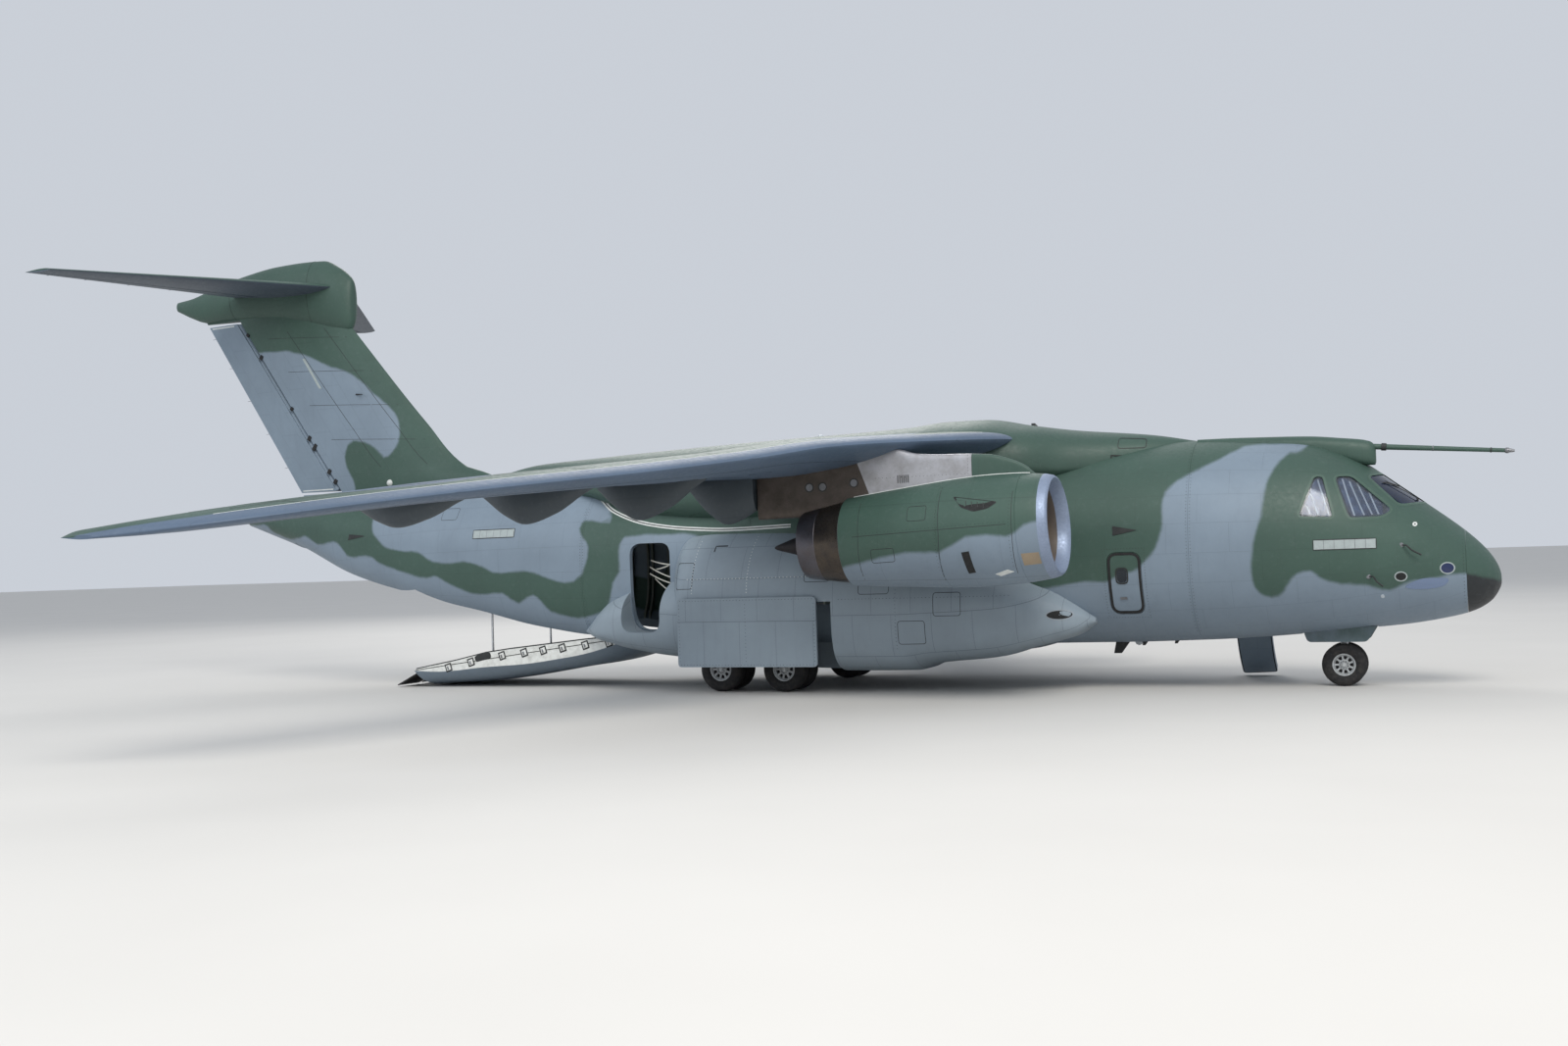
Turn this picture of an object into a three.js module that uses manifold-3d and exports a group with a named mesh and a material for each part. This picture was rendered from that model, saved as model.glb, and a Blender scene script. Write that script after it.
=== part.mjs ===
// Military transport plane, parked on its gear with the cargo ramp lowered.
// Millimetres, +Z up, +X to the nose, +Y to port, ground at Z = 0.
// Lengths along the body are stations: millimetres aft of the nose tip.

import * as THREE from "three";
import { mergeVertices } from "three/addons/utils/BufferGeometryUtils.js";
import Module from "manifold-3d";

const wasm = await Module();
wasm.setup();

// Driving dimensions
const LENGTH = 35200;
const PROBE_REACH = 330;
const HALF_SPAN = 17525;
const NOSE_X = (LENGTH - PROBE_REACH) / 2;
const GAP = 0.3;
const RUN = 8;
const WALL = 130;
const FLOOR_TOP = 1360;
const FLOOR_DEPTH = 110;
const SIDES = [["left", 1], ["right", -1]];

// Corners round each kind of piece
const CORNERS = { body: 28, fairing: 20, pod: 20, engine: 20, probe: 12, bullet: 16, canoe: 8, bar: 12 };

// Body sections: station, bottom, top, half width, height of the widest point, roundness below it
const BODY = [
  [0, 2130, 2190, 30, 2160, 2.0],
  [50, 1950, 2440, 270, 2180, 2.0],
  [200, 1735, 2710, 520, 2220, 2.0],
  [550, 1525, 3100, 850, 2330, 2.0],
  [1180, 1370, 3630, 1220, 2500, 2.0],
  [1800, 1275, 4115, 1510, 2650, 2.05],
  [2200, 1235, 4430, 1660, 2750, 2.1],
  [2500, 1210, 4660, 1770, 2830, 2.1],
  [3000, 1165, 4960, 1915, 2950, 2.15],
  [3600, 1115, 5180, 2040, 3040, 2.2],
  [4600, 1040, 5270, 2150, 3110, 2.25],
  [5800, 985, 5330, 2195, 3150, 2.3],
  [7800, 950, 5340, 2200, 3150, 2.5],
  [10000, 950, 5340, 2200, 3150, 3.2],
  [19500, 950, 5340, 2200, 3150, 3.4],
  [20300, 990, 5340, 2195, 3160, 3.5],
  [21800, 1230, 5340, 2170, 3230, 3.6],
  [23600, 1530, 5330, 2070, 3390, 3.2],
  [25100, 1910, 5300, 1940, 3560, 3.7],
  [26600, 2290, 5260, 1760, 3760, 3.4],
  [28200, 2780, 5210, 1510, 3980, 3.0],
  [30200, 3660, 5130, 1080, 4320, 2.4],
  [31600, 4130, 5020, 680, 4520, 2.1],
  [32570, 4440, 4880, 250, 4660, 2.0],
];
const CABIN_FRONT = 1300;
const CABIN_AFT = 31000;
const RADOME_AFT = 650;
const SECTIONS = [
  ["fuselage_nose", RADOME_AFT, 5900],
  ["fuselage_center", 5900, 15900],
  ["fuselage_aft", 15900, 20400],
  ["fuselage_tail", 20400, 32600],
];

// Cockpit windows as side outlines, station and height of each corner, and the nearest distance
// of the opening to the middle of the body
const WINDOWS = [
  ["side_rear", 300, [[3730, 3560], [3070, 3515], [3270, 4365], [3430, 4370]]],
  ["side_front", 300, [[2780, 3495], [2170, 3510], [1980, 3640], [2740, 4365], [3050, 4355]]],
  ["windshield", 45, [[1850, 3745], [2430, 4355], [2060, 4420], [1340, 3800]]],
];

// Wing sections: distance from the middle, leading edge station, trailing edge station,
// leading edge height, thickness as part of the chord, drop of the trailing edge
const WING = [
  [0, 9400, 15900, 5500, 0.125, 620],
  [2200, 9570, 15850, 5460, 0.125, 600],
  [4500, 10881, 16250, 5360, 0.122, 570],
  [6500, 12020, 16600, 5210, 0.12, 440],
  [8000, 12873, 17136, 4970, 0.118, 300],
  [10000, 14010, 17850, 4700, 0.115, 100],
  [13500, 16000, 19080, 4290, 0.11, 0],
  [16850, 17910, 20250, 3836, 0.105, -20],
  [17300, 18600, 20400, 3750, 0.1, -30],
  [HALF_SPAN, 19750, 20470, 3670, 0.09, -10],
];
const AIRFOIL = [
  [0.012, 0.2], [0.05, 0.46], [0.13, 0.74], [0.28, 0.98], [0.42, 1], [0.58, 0.84], [0.74, 0.55],
];
const FLAP = { from: 2420, to: 12880, front: 0.735 };
const AILERON = { from: 12960, to: 16600, hinge: 0.76 };
// Flap track fairings: distance from the middle, depth below the wing, front end aft of the flap's track
const CANOES = [[4750, 950, 200], [7150, 780, -900], [9650, 660, -900], [12150, 500, -900]];
// One such fairing: distance aft of the track, half width, part of its depth
const CANOE_ROWS = [
  [-900, 25, 0.02], [-400, 120, 0.33], [200, 180, 0.76], [900, 190, 1], [1300, 160, 0.8], [1850, 30, 0.28],
];
const CANOE_TRACK = 0.62;

// Engines
const ENGINE = { out: 4700, height: 3520, front: 7970, droop: 2.4, lip: 965 };
const FAN_BLADES = 14;

// Gear
const NOSE_GEAR = { station: 3080, radius: 445, half: 120, out: 300, sides: 16 };
const MAIN_GEAR = { stations: [15020, 16620], radius: 512, half: 180, out: 2250, inner: 1670, sides: 16 };

// Main legs: a beam between two uprights with hubs, and a brace to the front
const MAIN_LEGS = {
  beamHalf: 60, beamLow: 1240, beamHigh: 1400, top: 1950, post: 70, hub: 105, hubHalf: 75, bore: 56,
  brace: 50, braceAft: 800, braceTop: 2000,
};
const NOSE_LEG = {
  collar: 930, top: 1690, upper: 85, steered: 62, hub: 90, hubHalf: 130, bore: 56, brace: 35,
  braceLow: [3080, 1150], braceTop: [2450, 1640],
};
const AXLE_RADIUS = 48;

// Ramp and doors at the tail
const RAMP = { hinge: 19100, hingeHeight: 1000, fore: 40, half: 1710, curb: 1600, aft: 25650, lowered: 17.7 };
const RAMP_FLOOR = [[19060, 1290], [25800, 2546]];
const RAMP_CURB = [[19300, 1380], [20570, 1670], [22690, 2120], [23420, 2255], [24350, 2350], [25600, 2520]];
const TOE = { length: 760, half: 1500, droop: 26, height: 2450, tube: 24, gap: 45 };
const TOE_LEAF = { middles: [-1030, 0, 1030], half: 460, thick: 28 };
// Plan of the opening that the ramp and the upper door close
const RAMP_OPENING = {
  outline: [[19100, 1720], [25700, 1720], [26300, 1530], [30400, 800]], low: -100, high: 4150,
};
const ROD = { station: 23570, out: 1380, eye: 808, top: 2550, radius: 30, eyeRadius: 55, eyeHalf: 40 };
const CYLINDER = { low: 2290, high: 4080, radius: 65, bore: 40, boreLow: 2190, boreHigh: 4020 };
const BRACKET = { half: 70, to: 1990, low: 2600, high: 2900 };
const BRACKET_ROOM = { half: 170, inner: 1500, outer: 1730, low: 2200, step: 2550, high: 5000 };
const UPPER_DOOR = { front: 26500, hinge: 30300, wide: 1408, narrow: 802, thick: 120, raised: 24 };
const PARA_DOOR = { fwd: 17970, aft: 19050, low: 1430, high: 3510, round: 180 };
const PARA_STORED = { nearSkin: 60, farSkin: 140, from: 900, to: 2000, low: 3620, high: 4800 };
const DOOR_GAP = 10;
const EXIT_DOOR = { fwd: 6880, aft: 7600, low: 1630, high: 2950, round: 140 };
const CREW_DOOR = { fwd: 4740, aft: 5520, low: 1500, high: 3200, lowered: 122, round: 60 };
const CREW_HINGE = { out: 1530, height: 1500 };
const CREW_STEPS = { count: 5, first: 1780, rise: 290, thick: 35, deep: 170, root: 60, side: 90 };
const NOSE_DOOR = { from: 440, to: 480, outline: [[2400, 1260], [3860, 1160], [3780, 930], [2600, 930]] };
const NOSE_WELL = { fwd: 2380, aft: 3920, half: 420, top: 1690, wall: 60, frame: 80, low: 1200 };
const GEAR_DOOR = { fwd: 13870, aft: 17320, low: 620, high: 2180, round: 60, from: 3100, to: 3160 };

// Cockpit: floor plate, panel, console, and each seat's base, cushion and back
const DECK = { fwd: 1900, aft: 4550, low: 2440, high: 2540, inset: 40 };
const PANEL = { fwd: 1960, aft: 2200, half: 1150, low: 2500, high: 3330 };
const CONSOLE = { fwd: 2150, aft: 3100, half: 230, low: 2500, high: 2950 };
const SEAT = {
  out: 560,
  base: { fwd: 2850, aft: 3250, half: 150, low: 2500, high: 2800 },
  cushion: { fwd: 2780, aft: 3320, half: 250, low: 2790, high: 2920 },
  back: [[3230, 2880], [3330, 2880], [3480, 3780], [3390, 3790]],
  backHalf: 240,
};
const GLAZING = { thick: 25, fwd: 1310, aft: 3900, middle: 20, low: 3400, high: 4520 };
const CARGO_FLOOR = { fwd: 4620, aft: 19000 };

// Beyond the body's sides and top, for blocks that cut
const WIDE = 3500;
const HIGH = 7000;
const WING_LOW = 2000;
const TAIL_WIDE = 900;

// Colours of the pieces: colour, roughness, metalness
const PAINTS = {
  green: [0x4c6c5c, 0.6, 0.05],
  grey: [0x8796a6, 0.6, 0.05],
  dark: [0x1e2422, 0.7, 0.1],
  metal: [0x9a9690, 0.4, 0.8],
  tyre: [0x1b1b1c, 0.9, 0],
  glass: [0x9fb4c4, 0.1, 0.2],
  cabin: [0x6d7268, 0.8, 0],
};

// A point from station, distance to port and height
function at(station, across, height) {
  return new THREE.Vector3(NOSE_X - station, across, height);
}

// A closed mesh as a solid for cutting and joining
function solidOf(geometry) {
  const bare = geometry.clone();
  for (const name of Object.keys(bare.attributes)) {
    if (name !== "position") bare.deleteAttribute(name);
  }
  const merged = mergeVertices(bare, 0.001);
  return new wasm.Manifold(new wasm.Mesh({
    numProp: 3,
    vertProperties: new Float32Array(merged.attributes.position.array),
    triVerts: new Uint32Array(merged.index.array),
  }));
}

// A solid back to a mesh geometry
function geometryOf(solid) {
  const mesh = solid.getMesh();
  const geometry = new THREE.BufferGeometry();
  geometry.setAttribute("position", new THREE.BufferAttribute(new Float32Array(mesh.vertProperties), 3));
  geometry.setIndex(new THREE.BufferAttribute(new Uint32Array(mesh.triVerts), 1));
  return geometry;
}

// Rings of equal count joined into one closed solid with flat ends
function loft(rings) {
  const count = rings[0].length;
  const points = rings.flat();
  const faces = [];
  for (let row = 0; row < rings.length - 1; row += 1) {
    for (let i = 0; i < count; i += 1) {
      const next = (i + 1) % count;
      const a = row * count + i;
      const b = row * count + next;
      faces.push([a, b, b + count], [a, b + count, a + count]);
    }
  }
  for (const [row, turn] of [[0, 1], [rings.length - 1, -1]]) {
    const middle = points.length;
    const centre = new THREE.Vector3();
    rings[row].forEach((point) => centre.add(point));
    points.push(centre.divideScalar(count));
    for (let i = 0; i < count; i += 1) {
      const a = row * count + i;
      const b = row * count + ((i + 1) % count);
      faces.push(turn > 0 ? [middle, b, a] : [middle, a, b]);
    }
  }
  let volume = 0;
  for (const [a, b, c] of faces) {
    volume += points[a].dot(new THREE.Vector3().crossVectors(points[b], points[c]));
  }
  const geometry = new THREE.BufferGeometry();
  const flat = points.flatMap((p) => [p.x, p.y, p.z]);
  geometry.setAttribute("position", new THREE.Float32BufferAttribute(flat, 3));
  geometry.setIndex(faces.flatMap(([a, b, c]) => (volume > 0 ? [a, b, c] : [a, c, b])));
  return solidOf(geometry);
}

// A box between two stations, two distances to port and two heights
function block(front, aft, starboard, port, low, high) {
  const box = new THREE.BoxGeometry(aft - front, port - starboard, high - low);
  box.translate(NOSE_X - (front + aft) / 2, (starboard + port) / 2, (low + high) / 2);
  return solidOf(box);
}

// A side outline of station and height, extruded across the body
function slab(outline, starboard, port) {
  const shape = outline instanceof THREE.Shape ? outline
    : new THREE.Shape(outline.map(([station, height]) => new THREE.Vector2(NOSE_X - station, height)));
  const options = { depth: port - starboard, bevelEnabled: false, curveSegments: 3 };
  const geometry = new THREE.ExtrudeGeometry(shape, options);
  geometry.rotateX(Math.PI / 2).translate(0, port, 0);
  return solidOf(geometry);
}

// A plan outline of station and distance to port, extruded upward
function plate(outline, low, high) {
  const corners = outline.map(([station, across]) => new THREE.Vector2(NOSE_X - station, across));
  const shape = new THREE.Shape(corners);
  const geometry = new THREE.ExtrudeGeometry(shape, { depth: high - low, bevelEnabled: false });
  return solidOf(geometry.translate(0, 0, low));
}

// A round bar between two points
function bar(start, end, radius, radiusEnd = radius, sides = CORNERS.bar) {
  const length = start.distanceTo(end);
  const geometry = new THREE.CylinderGeometry(radiusEnd, radius, length, sides);
  const turn = new THREE.Quaternion().setFromUnitVectors(
    new THREE.Vector3(0, 1, 0),
    end.clone().sub(start).normalize(),
  );
  geometry.applyQuaternion(turn);
  const middle = start.clone().add(end).multiplyScalar(0.5);
  return solidOf(geometry.translate(middle.x, middle.y, middle.z));
}

// A turned solid about an axis along the body; profile rows are distance aft of the start and radius
function turned(profile, sides) {
  const points = profile.map(([aft, radius]) => new THREE.Vector2(radius, -aft));
  const geometry = new THREE.LatheGeometry(points, sides);
  geometry.rotateZ(-Math.PI / 2);
  const solid = solidOf(geometry);
  return solid.volume() > 0 ? solid : solidOf(flipped(geometry));
}

// The same mesh with its faces turned round
function flipped(geometry) {
  const copy = geometry.clone();
  const index = Array.from(copy.index.array);
  for (let i = 0; i < index.length; i += 3) {
    [index[i + 1], index[i + 2]] = [index[i + 2], index[i + 1]];
  }
  copy.setIndex(index);
  return copy;
}

// A rounded side outline of a door or hatch
function doorShape({ fwd, aft, low, high, round }, inset) {
  const left = NOSE_X - aft + inset;
  const right = NOSE_X - fwd - inset;
  const bottom = low + inset;
  const top = high - inset;
  const shape = new THREE.Shape();
  shape.moveTo(left + round, bottom);
  shape.lineTo(right - round, bottom);
  shape.absarc(right - round, bottom + round, round, -Math.PI / 2, 0, false);
  shape.lineTo(right, top - round);
  shape.absarc(right - round, top - round, round, 0, Math.PI / 2, false);
  shape.lineTo(left + round, top);
  shape.absarc(left + round, top - round, round, Math.PI / 2, Math.PI, false);
  shape.lineTo(left, bottom + round);
  shape.absarc(left + round, bottom + round, round, Math.PI, Math.PI * 1.5, false);
  return shape;
}

// One value of a table between its rows
function between(table, station, column) {
  const last = table.length - 1;
  const row = Math.min(Math.max(table.findIndex((r) => r[0] > station) - 1, 0), last - 1);
  const past = station >= table[last][0];
  const [a, b] = past ? [table[last], table[last]] : [table[row], table[row + 1]];
  const part = past ? 0 : (station - a[0]) / (b[0] - a[0]);
  return a[column] + (b[column] - a[column]) * part;
}

// Half width of the body's skin at a station and height
function skinHalf(station, height) {
  const [bottom, top, half, waist, below] = [1, 2, 3, 4, 5].map((column) => between(BODY, station, column));
  const up = height > waist;
  const part = up ? (height - waist) / (top - waist) : (waist - height) / (waist - bottom);
  const power = up ? 2 : below;
  return half * Math.max(0, 1 - part ** power) ** (1 / power);
}

// A ring round the body's length: half of it above the waist, half below, each with its roundness
function ring(station, { middle = 0, half, low, high, waist, below = 2, above = 2, count = CORNERS.body }) {
  const points = [];
  for (let i = 0; i < count; i += 1) {
    const angle = ((i + 0.5) / count) * 2 * Math.PI;
    const up = Math.sin(angle) > 0;
    const power = 2 / (up ? above : below);
    const across = Math.sign(Math.cos(angle)) * Math.abs(Math.cos(angle)) ** power * half;
    const rise = Math.abs(Math.sin(angle)) ** power * (up ? high - waist : low - waist);
    points.push(at(station, middle + across, waist + rise));
  }
  return points;
}

function bodySolid(inset, from = 0, to = LENGTH) {
  const rows = BODY.filter(([station]) => station >= from && station <= to);
  return loft(rows.map(([station, bottom, top, half, waist, below]) => ring(station, {
    half: half - inset,
    low: bottom + inset,
    high: top - inset,
    waist,
    below,
  })));
}

// The cabin's inner surface, inset from the skin
function cabinSolid(inset) {
  return bodySolid(inset, 1000, 31700).intersect(block(CABIN_FRONT, CABIN_AFT, -WIDE, WIDE, 0, HIGH));
}

// A wing-like section ring at one distance from the middle
function airfoilRing(place, chord, thick, drop, grow = 0) {
  const upper = AIRFOIL.map(([part, height]) => [part, (height * thick * chord) / 2 + grow]);
  const nose = [[0, 0]];
  const tail = [[1, 6 + grow], [1, -6 - grow]];
  const lower = upper.map(([part, height]) => [part, -height]).reverse();
  return [...nose, ...upper, ...tail, ...lower].map(([part, height]) => place(part, height - drop * part));
}

function wingSolid(side, grow = 0) {
  return loft(WING.map(([out, front, aft, height, thick, drop]) => airfoilRing(
    (part, rise) => at(front - grow + (aft - front + 2 * grow) * part, side * out, height + rise),
    aft - front,
    thick,
    drop,
    grow,
  )));
}

// Wing values at one distance out and part of the chord: station, middle line height, half thickness
function wingAt(out, part) {
  const front = between(WING, out, 1);
  const chord = between(WING, out, 2) - front;
  const height = between(WING, out, 3) - between(WING, out, 5) * part;
  const row = AIRFOIL.findIndex(([p]) => p > part);
  const [a, b] = row < 0 ? [AIRFOIL[AIRFOIL.length - 1], [1, 0]] : [AIRFOIL[row - 1], AIRFOIL[row]];
  const profile = a[1] + ((b[1] - a[1]) * (part - a[0])) / (b[0] - a[0]);
  return { station: front + chord * part, height, half: (profile * chord * between(WING, out, 4)) / 2 };
}

// The distances to port of a surface that runs from one distance out to another
function span(side, { from, to }) {
  return side > 0 ? [from, to] : [-to, -from];
}

// Meshes go into one group
const plane = new THREE.Group();
function add(name, solid, paint) {
  const [color, roughness, metalness] = PAINTS[paint];
  const material = new THREE.MeshStandardMaterial({ color, roughness, metalness });
  const mesh = new THREE.Mesh(geometryOf(solid), material);
  mesh.name = name;
  plane.add(mesh);
}

// A solid turned about an axis across the body through a station and height; positive lifts what is aft
function pitched(solid, station, height, degrees) {
  const x = NOSE_X - station;
  return solid.translate([-x, 0, -height]).rotate([0, degrees, 0]).translate([x, 0, height]);
}

// Main shapes that other pieces are cut by
const skin = bodySolid(0);
const skinClear = bodySolid(-GAP);
const cabin = cabinSolid(WALL);
const cabinClear = cabinSolid(WALL + GAP);
const shell = skin.subtract(cabin);
const wings = Object.fromEntries(SIDES.map(([name, side]) => [name, wingSolid(side)]));
const wingsClear = Object.fromEntries(SIDES.map(([name, side]) => [name, wingSolid(side, GAP)]));
const openingHalf = RAMP_OPENING.outline;
const rampOpening = plate(
  [...openingHalf, ...openingHalf.map(([station, out]) => [station, -out]).reverse()],
  RAMP_OPENING.low,
  RAMP_OPENING.high,
);

// Ramp, closed shape first, then lowered about its hinge
const below = (line) => [...line, [line[line.length - 1][0], -500], [line[0][0], -500]];
const rampFloor = slab(below(RAMP_FLOOR), -WIDE, WIDE);
const rampCurbs = slab(below(RAMP_CURB), -WIDE, WIDE)
  .subtract(block(RAMP.hinge, LENGTH, -RAMP.curb, RAMP.curb, -WIDE, HIGH));
const rampClosed = skin
  .intersect(block(RAMP.hinge + RAMP.fore, RAMP.aft, -RAMP.half, RAMP.half, 0, HIGH))
  .intersect(rampFloor.add(rampCurbs));
const ramp = pitched(rampClosed, RAMP.hinge, RAMP.hingeHeight, -RAMP.lowered);
add("cargo_ramp", ramp, "green");

// Toe plates at the ramp's aft edge, joined by their hinge tube
const toeHinge = (() => {
  const turn = THREE.MathUtils.degToRad(RAMP.lowered);
  const back = RAMP.aft + TOE.gap - RAMP.hinge;
  const rise = TOE.height - RAMP.hingeHeight;
  return [
    RAMP.hinge + back * Math.cos(turn) + rise * Math.sin(turn),
    RAMP.hingeHeight + rise * Math.cos(turn) - back * Math.sin(turn),
  ];
})();
{
  const [station, height] = toeHinge;
  let toe = bar(at(station, -TOE.half, height), at(station, TOE.half, height), TOE.tube);
  const { middles, half, thick } = TOE_LEAF;
  for (const middle of middles) {
    const sides = [middle - half, middle + half];
    const leaf = block(station, station + TOE.length, ...sides, height - thick / 2, height + thick / 2);
    toe = toe.add(pitched(leaf, station, height, -TOE.droop));
  }
  add("ramp_toe", toe, "dark");
}

// Upper cargo door, stored raised inside the tail
{
  const band = skin.subtract(bodySolid(UPPER_DOOR.thick, 10000));
  const { front, hinge, wide, narrow } = UPPER_DOOR;
  const outline = [[front, wide], [hinge, narrow], [hinge, -narrow], [front, -wide]];
  const closed = band.intersect(plate(outline, 0, 3950));
  const hingeHeight = between(BODY, UPPER_DOOR.hinge, 1) + UPPER_DOOR.thick;
  add("upper_cargo_door", pitched(closed, UPPER_DOOR.hinge, hingeHeight, -UPPER_DOOR.raised), "grey");
}

// Side doors: the opening, and the piece that fills it
const openings = [];
for (const [name, side] of SIDES) {
  const reach = span(side, { from: 0, to: WIDE });
  openings.push(slab(doorShape(PARA_DOOR, 0), ...reach));
  const closed = shell.intersect(slab(doorShape(PARA_DOOR, DOOR_GAP), ...reach));
  const { nearSkin, farSkin, low, high } = PARA_STORED;
  const stored = bodySolid(WALL + nearSkin, 10000).subtract(bodySolid(WALL + farSkin, 10000))
    .intersect(block(PARA_DOOR.fwd, PARA_DOOR.aft, ...span(-1, PARA_STORED), low, high));
  add(`paratroop_door_${name}`, side > 0 ? closed : stored, "grey");
}
openings.push(slab(doorShape(EXIT_DOOR, 0), -WIDE, 0));
add("exit_door", shell.intersect(slab(doorShape(EXIT_DOOR, DOOR_GAP), -WIDE, 0)), "green");

// Crew door with steps on its inner face, hinged at its lower edge and lowered
openings.push(slab(doorShape(CREW_DOOR, 0), 0, WIDE));
{
  let door = shell.intersect(slab(doorShape(CREW_DOOR, RUN), 0, WIDE));
  const { count, first, rise, thick, deep, root, side } = CREW_STEPS;
  for (let step = 0; step < count; step += 1) {
    const height = first + step * rise;
    const lining = skinHalf(CREW_DOOR.aft, height) - WALL;
    const stations = [CREW_DOOR.fwd + side, CREW_DOOR.aft - side];
    door = door.add(block(...stations, lining - deep, lining + root, height, height + thick));
  }
  const lowered = door.translate([0, -CREW_HINGE.out, -CREW_HINGE.height])
    .rotate([-CREW_DOOR.lowered, 0, 0])
    .translate([0, CREW_HINGE.out, CREW_HINGE.height]);
  add("crew_door", lowered, "cabin");
}

// Cockpit windows, and the glazing fixed inside them
for (const [, side] of SIDES) {
  for (const [, near, outline] of WINDOWS) {
    openings.push(slab(outline, ...span(side, { from: near, to: WIDE })));
  }
}
for (const [name, side] of SIDES) {
  const { thick, fwd, aft, middle, low, high } = GLAZING;
  const band = cabinClear.subtract(cabinSolid(WALL + thick));
  const area = block(fwd, aft, ...span(side, { from: middle, to: WIDE }), low, high);
  add(`cockpit_glazing_${name}`, band.intersect(area), "glass");
}

// Fuselage sections, split where the panels meet
add("radome", skin.intersect(block(-RUN, RADOME_AFT - GAP, -WIDE, WIDE, 0, HIGH)), "dark");
const upright = (side, low, high, radius) => bar(
  at(ROD.station, side * ROD.out, low),
  at(ROD.station, side * ROD.out, high),
  radius,
);
const cylinderRoom = (({ half, inner, outer, low, step, high }) => {
  const stations = [ROD.station - half, ROD.station + half];
  return block(...stations, -inner, inner, low, high).add(block(...stations, -outer, outer, step, high));
})(BRACKET_ROOM);
const noseWell = (({ fwd, aft, half, top, wall, frame, low }) => (
  block(fwd - frame, aft + frame, -half - wall, half + wall, low, top + wall)
))(NOSE_WELL);
const noseWellRoom = (({ fwd, aft, half, top }) => block(fwd, aft, -half, half, 0, top))(NOSE_WELL);
for (const [name, front, aft] of SECTIONS) {
  let section = shell.intersect(block(front, aft - GAP, -WIDE, WIDE, 0, HIGH));
  if (name === "fuselage_nose") {
    section = section.add(noseWell.intersect(skin)).subtract(noseWellRoom);
  }
  if (name === "fuselage_tail") {
    for (const [, side] of SIDES) {
      section = section.add(upright(side, CYLINDER.low, CYLINDER.high, CYLINDER.radius));
      const stations = [ROD.station - BRACKET.half, ROD.station + BRACKET.half];
      const reach = span(side, { from: ROD.out, to: BRACKET.to });
      section = section.add(block(...stations, ...reach, BRACKET.low, BRACKET.high));
    }
  }
  for (const opening of openings) section = section.subtract(opening);
  section = section.subtract(rampOpening.subtract(cylinderRoom));
  if (name === "fuselage_tail") {
    for (const [, side] of SIDES) {
      section = section.subtract(upright(side, CYLINDER.boreLow, CYLINDER.boreHigh, CYLINDER.bore));
    }
  }
  add(name, section, "green");
}

// Rods of the ramp cylinders, with an eye over the ramp
for (const [name, side] of SIDES) {
  const middle = side * ROD.out;
  const ends = [middle - ROD.eyeHalf, middle + ROD.eyeHalf].map((across) => at(ROD.station, across, ROD.eye));
  const eye = bar(...ends, ROD.eyeRadius);
  add(`ramp_rod_${name}`, upright(side, ROD.eye, ROD.top, ROD.radius).add(eye), "metal");
}

// Cargo floor and the cockpit's floor with its seats, panel and console
const floorRoom = block(CARGO_FLOOR.fwd, CARGO_FLOOR.aft, -WIDE, WIDE, FLOOR_TOP - FLOOR_DEPTH, FLOOR_TOP);
add("cargo_floor", cabinClear.intersect(floorRoom), "cabin");
{
  const placed = ({ fwd, aft, half, low, high }, middle = 0) => (
    block(fwd, aft, middle - half, middle + half, low, high)
  );
  const room = cabinSolid(WALL + DECK.inset);
  const deck = cabinClear.intersect(placed({ ...DECK, half: WIDE }));
  let fittings = placed(PANEL).add(placed(CONSOLE));
  for (const [, side] of SIDES) {
    const middle = side * SEAT.out;
    fittings = fittings.add(placed(SEAT.base, middle)).add(placed(SEAT.cushion, middle))
      .add(slab(SEAT.back, middle - SEAT.backHalf, middle + SEAT.backHalf));
  }
  add("cockpit_deck", deck.add(fittings.intersect(room)), "cabin");
}

// Fairing over the wing's middle and along the back: station, top, half width, widest height, lower edge
const BACK = [
  [5900, 5320, 150, 5150, 5000],
  [6860, 5510, 820, 5000, 4700],
  [8600, 5720, 1650, 4850, 4500],
  [9500, 5870, 2300, 4950, 4400],
  [10500, 6060, 2500, 4950, 4150],
  [11400, 6075, 2500, 4800, 3950],
  [12300, 6000, 2450, 4700, 3800],
  [16400, 5900, 2400, 4600, 3720],
  [18500, 5840, 2260, 4650, 3920],
  [19700, 5800, 2080, 4800, 4280],
  [20600, 5770, 1700, 4900, 4600],
  [22600, 5700, 1000, 5050, 4800],
  [23800, 5520, 520, 5100, 4900],
  [24300, 5400, 200, 5150, 5000],
];
function backSolid(grow) {
  return loft(BACK.map(([station, top, half, waist, low]) => ring(station, {
    half: half + grow, low: low - grow, high: top + grow, waist,
    below: 2.4, above: 2.6, count: CORNERS.fairing,
  })));
}
{
  const cut = skinClear.add(wingsClear.left).add(wingsClear.right);
  add("wing_body_fairing", backSolid(0).subtract(cut), "green");
}

// Refuelling probe with the fairing that carries it on the cockpit roof
{
  const across = -390;
  const rows = [
    [2290, 4560, 5030, 120], [2400, 4600, 5100, 190], [2900, 4700, 5190, 240],
    [3600, 4800, 5270, 250], [4600, 4850, 5310, 220], [5900, 5000, 5330, 120],
  ];
  const fairing = loft(rows.map(([station, low, high, half]) => ring(station, {
    middle: across, half, low, high, waist: (low + high) / 2, below: 3, above: 2.4, count: CORNERS.probe,
  }))).subtract(skinClear);
  const neck = at(-150, across, 4762);
  const stick = bar(at(2600, across, 5005), neck, 62, 42)
    .add(bar(neck, at(-PROBE_REACH, across, 4746), 58, 30));
  add("refuelling_probe", fairing.add(stick), "green");
}

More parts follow.
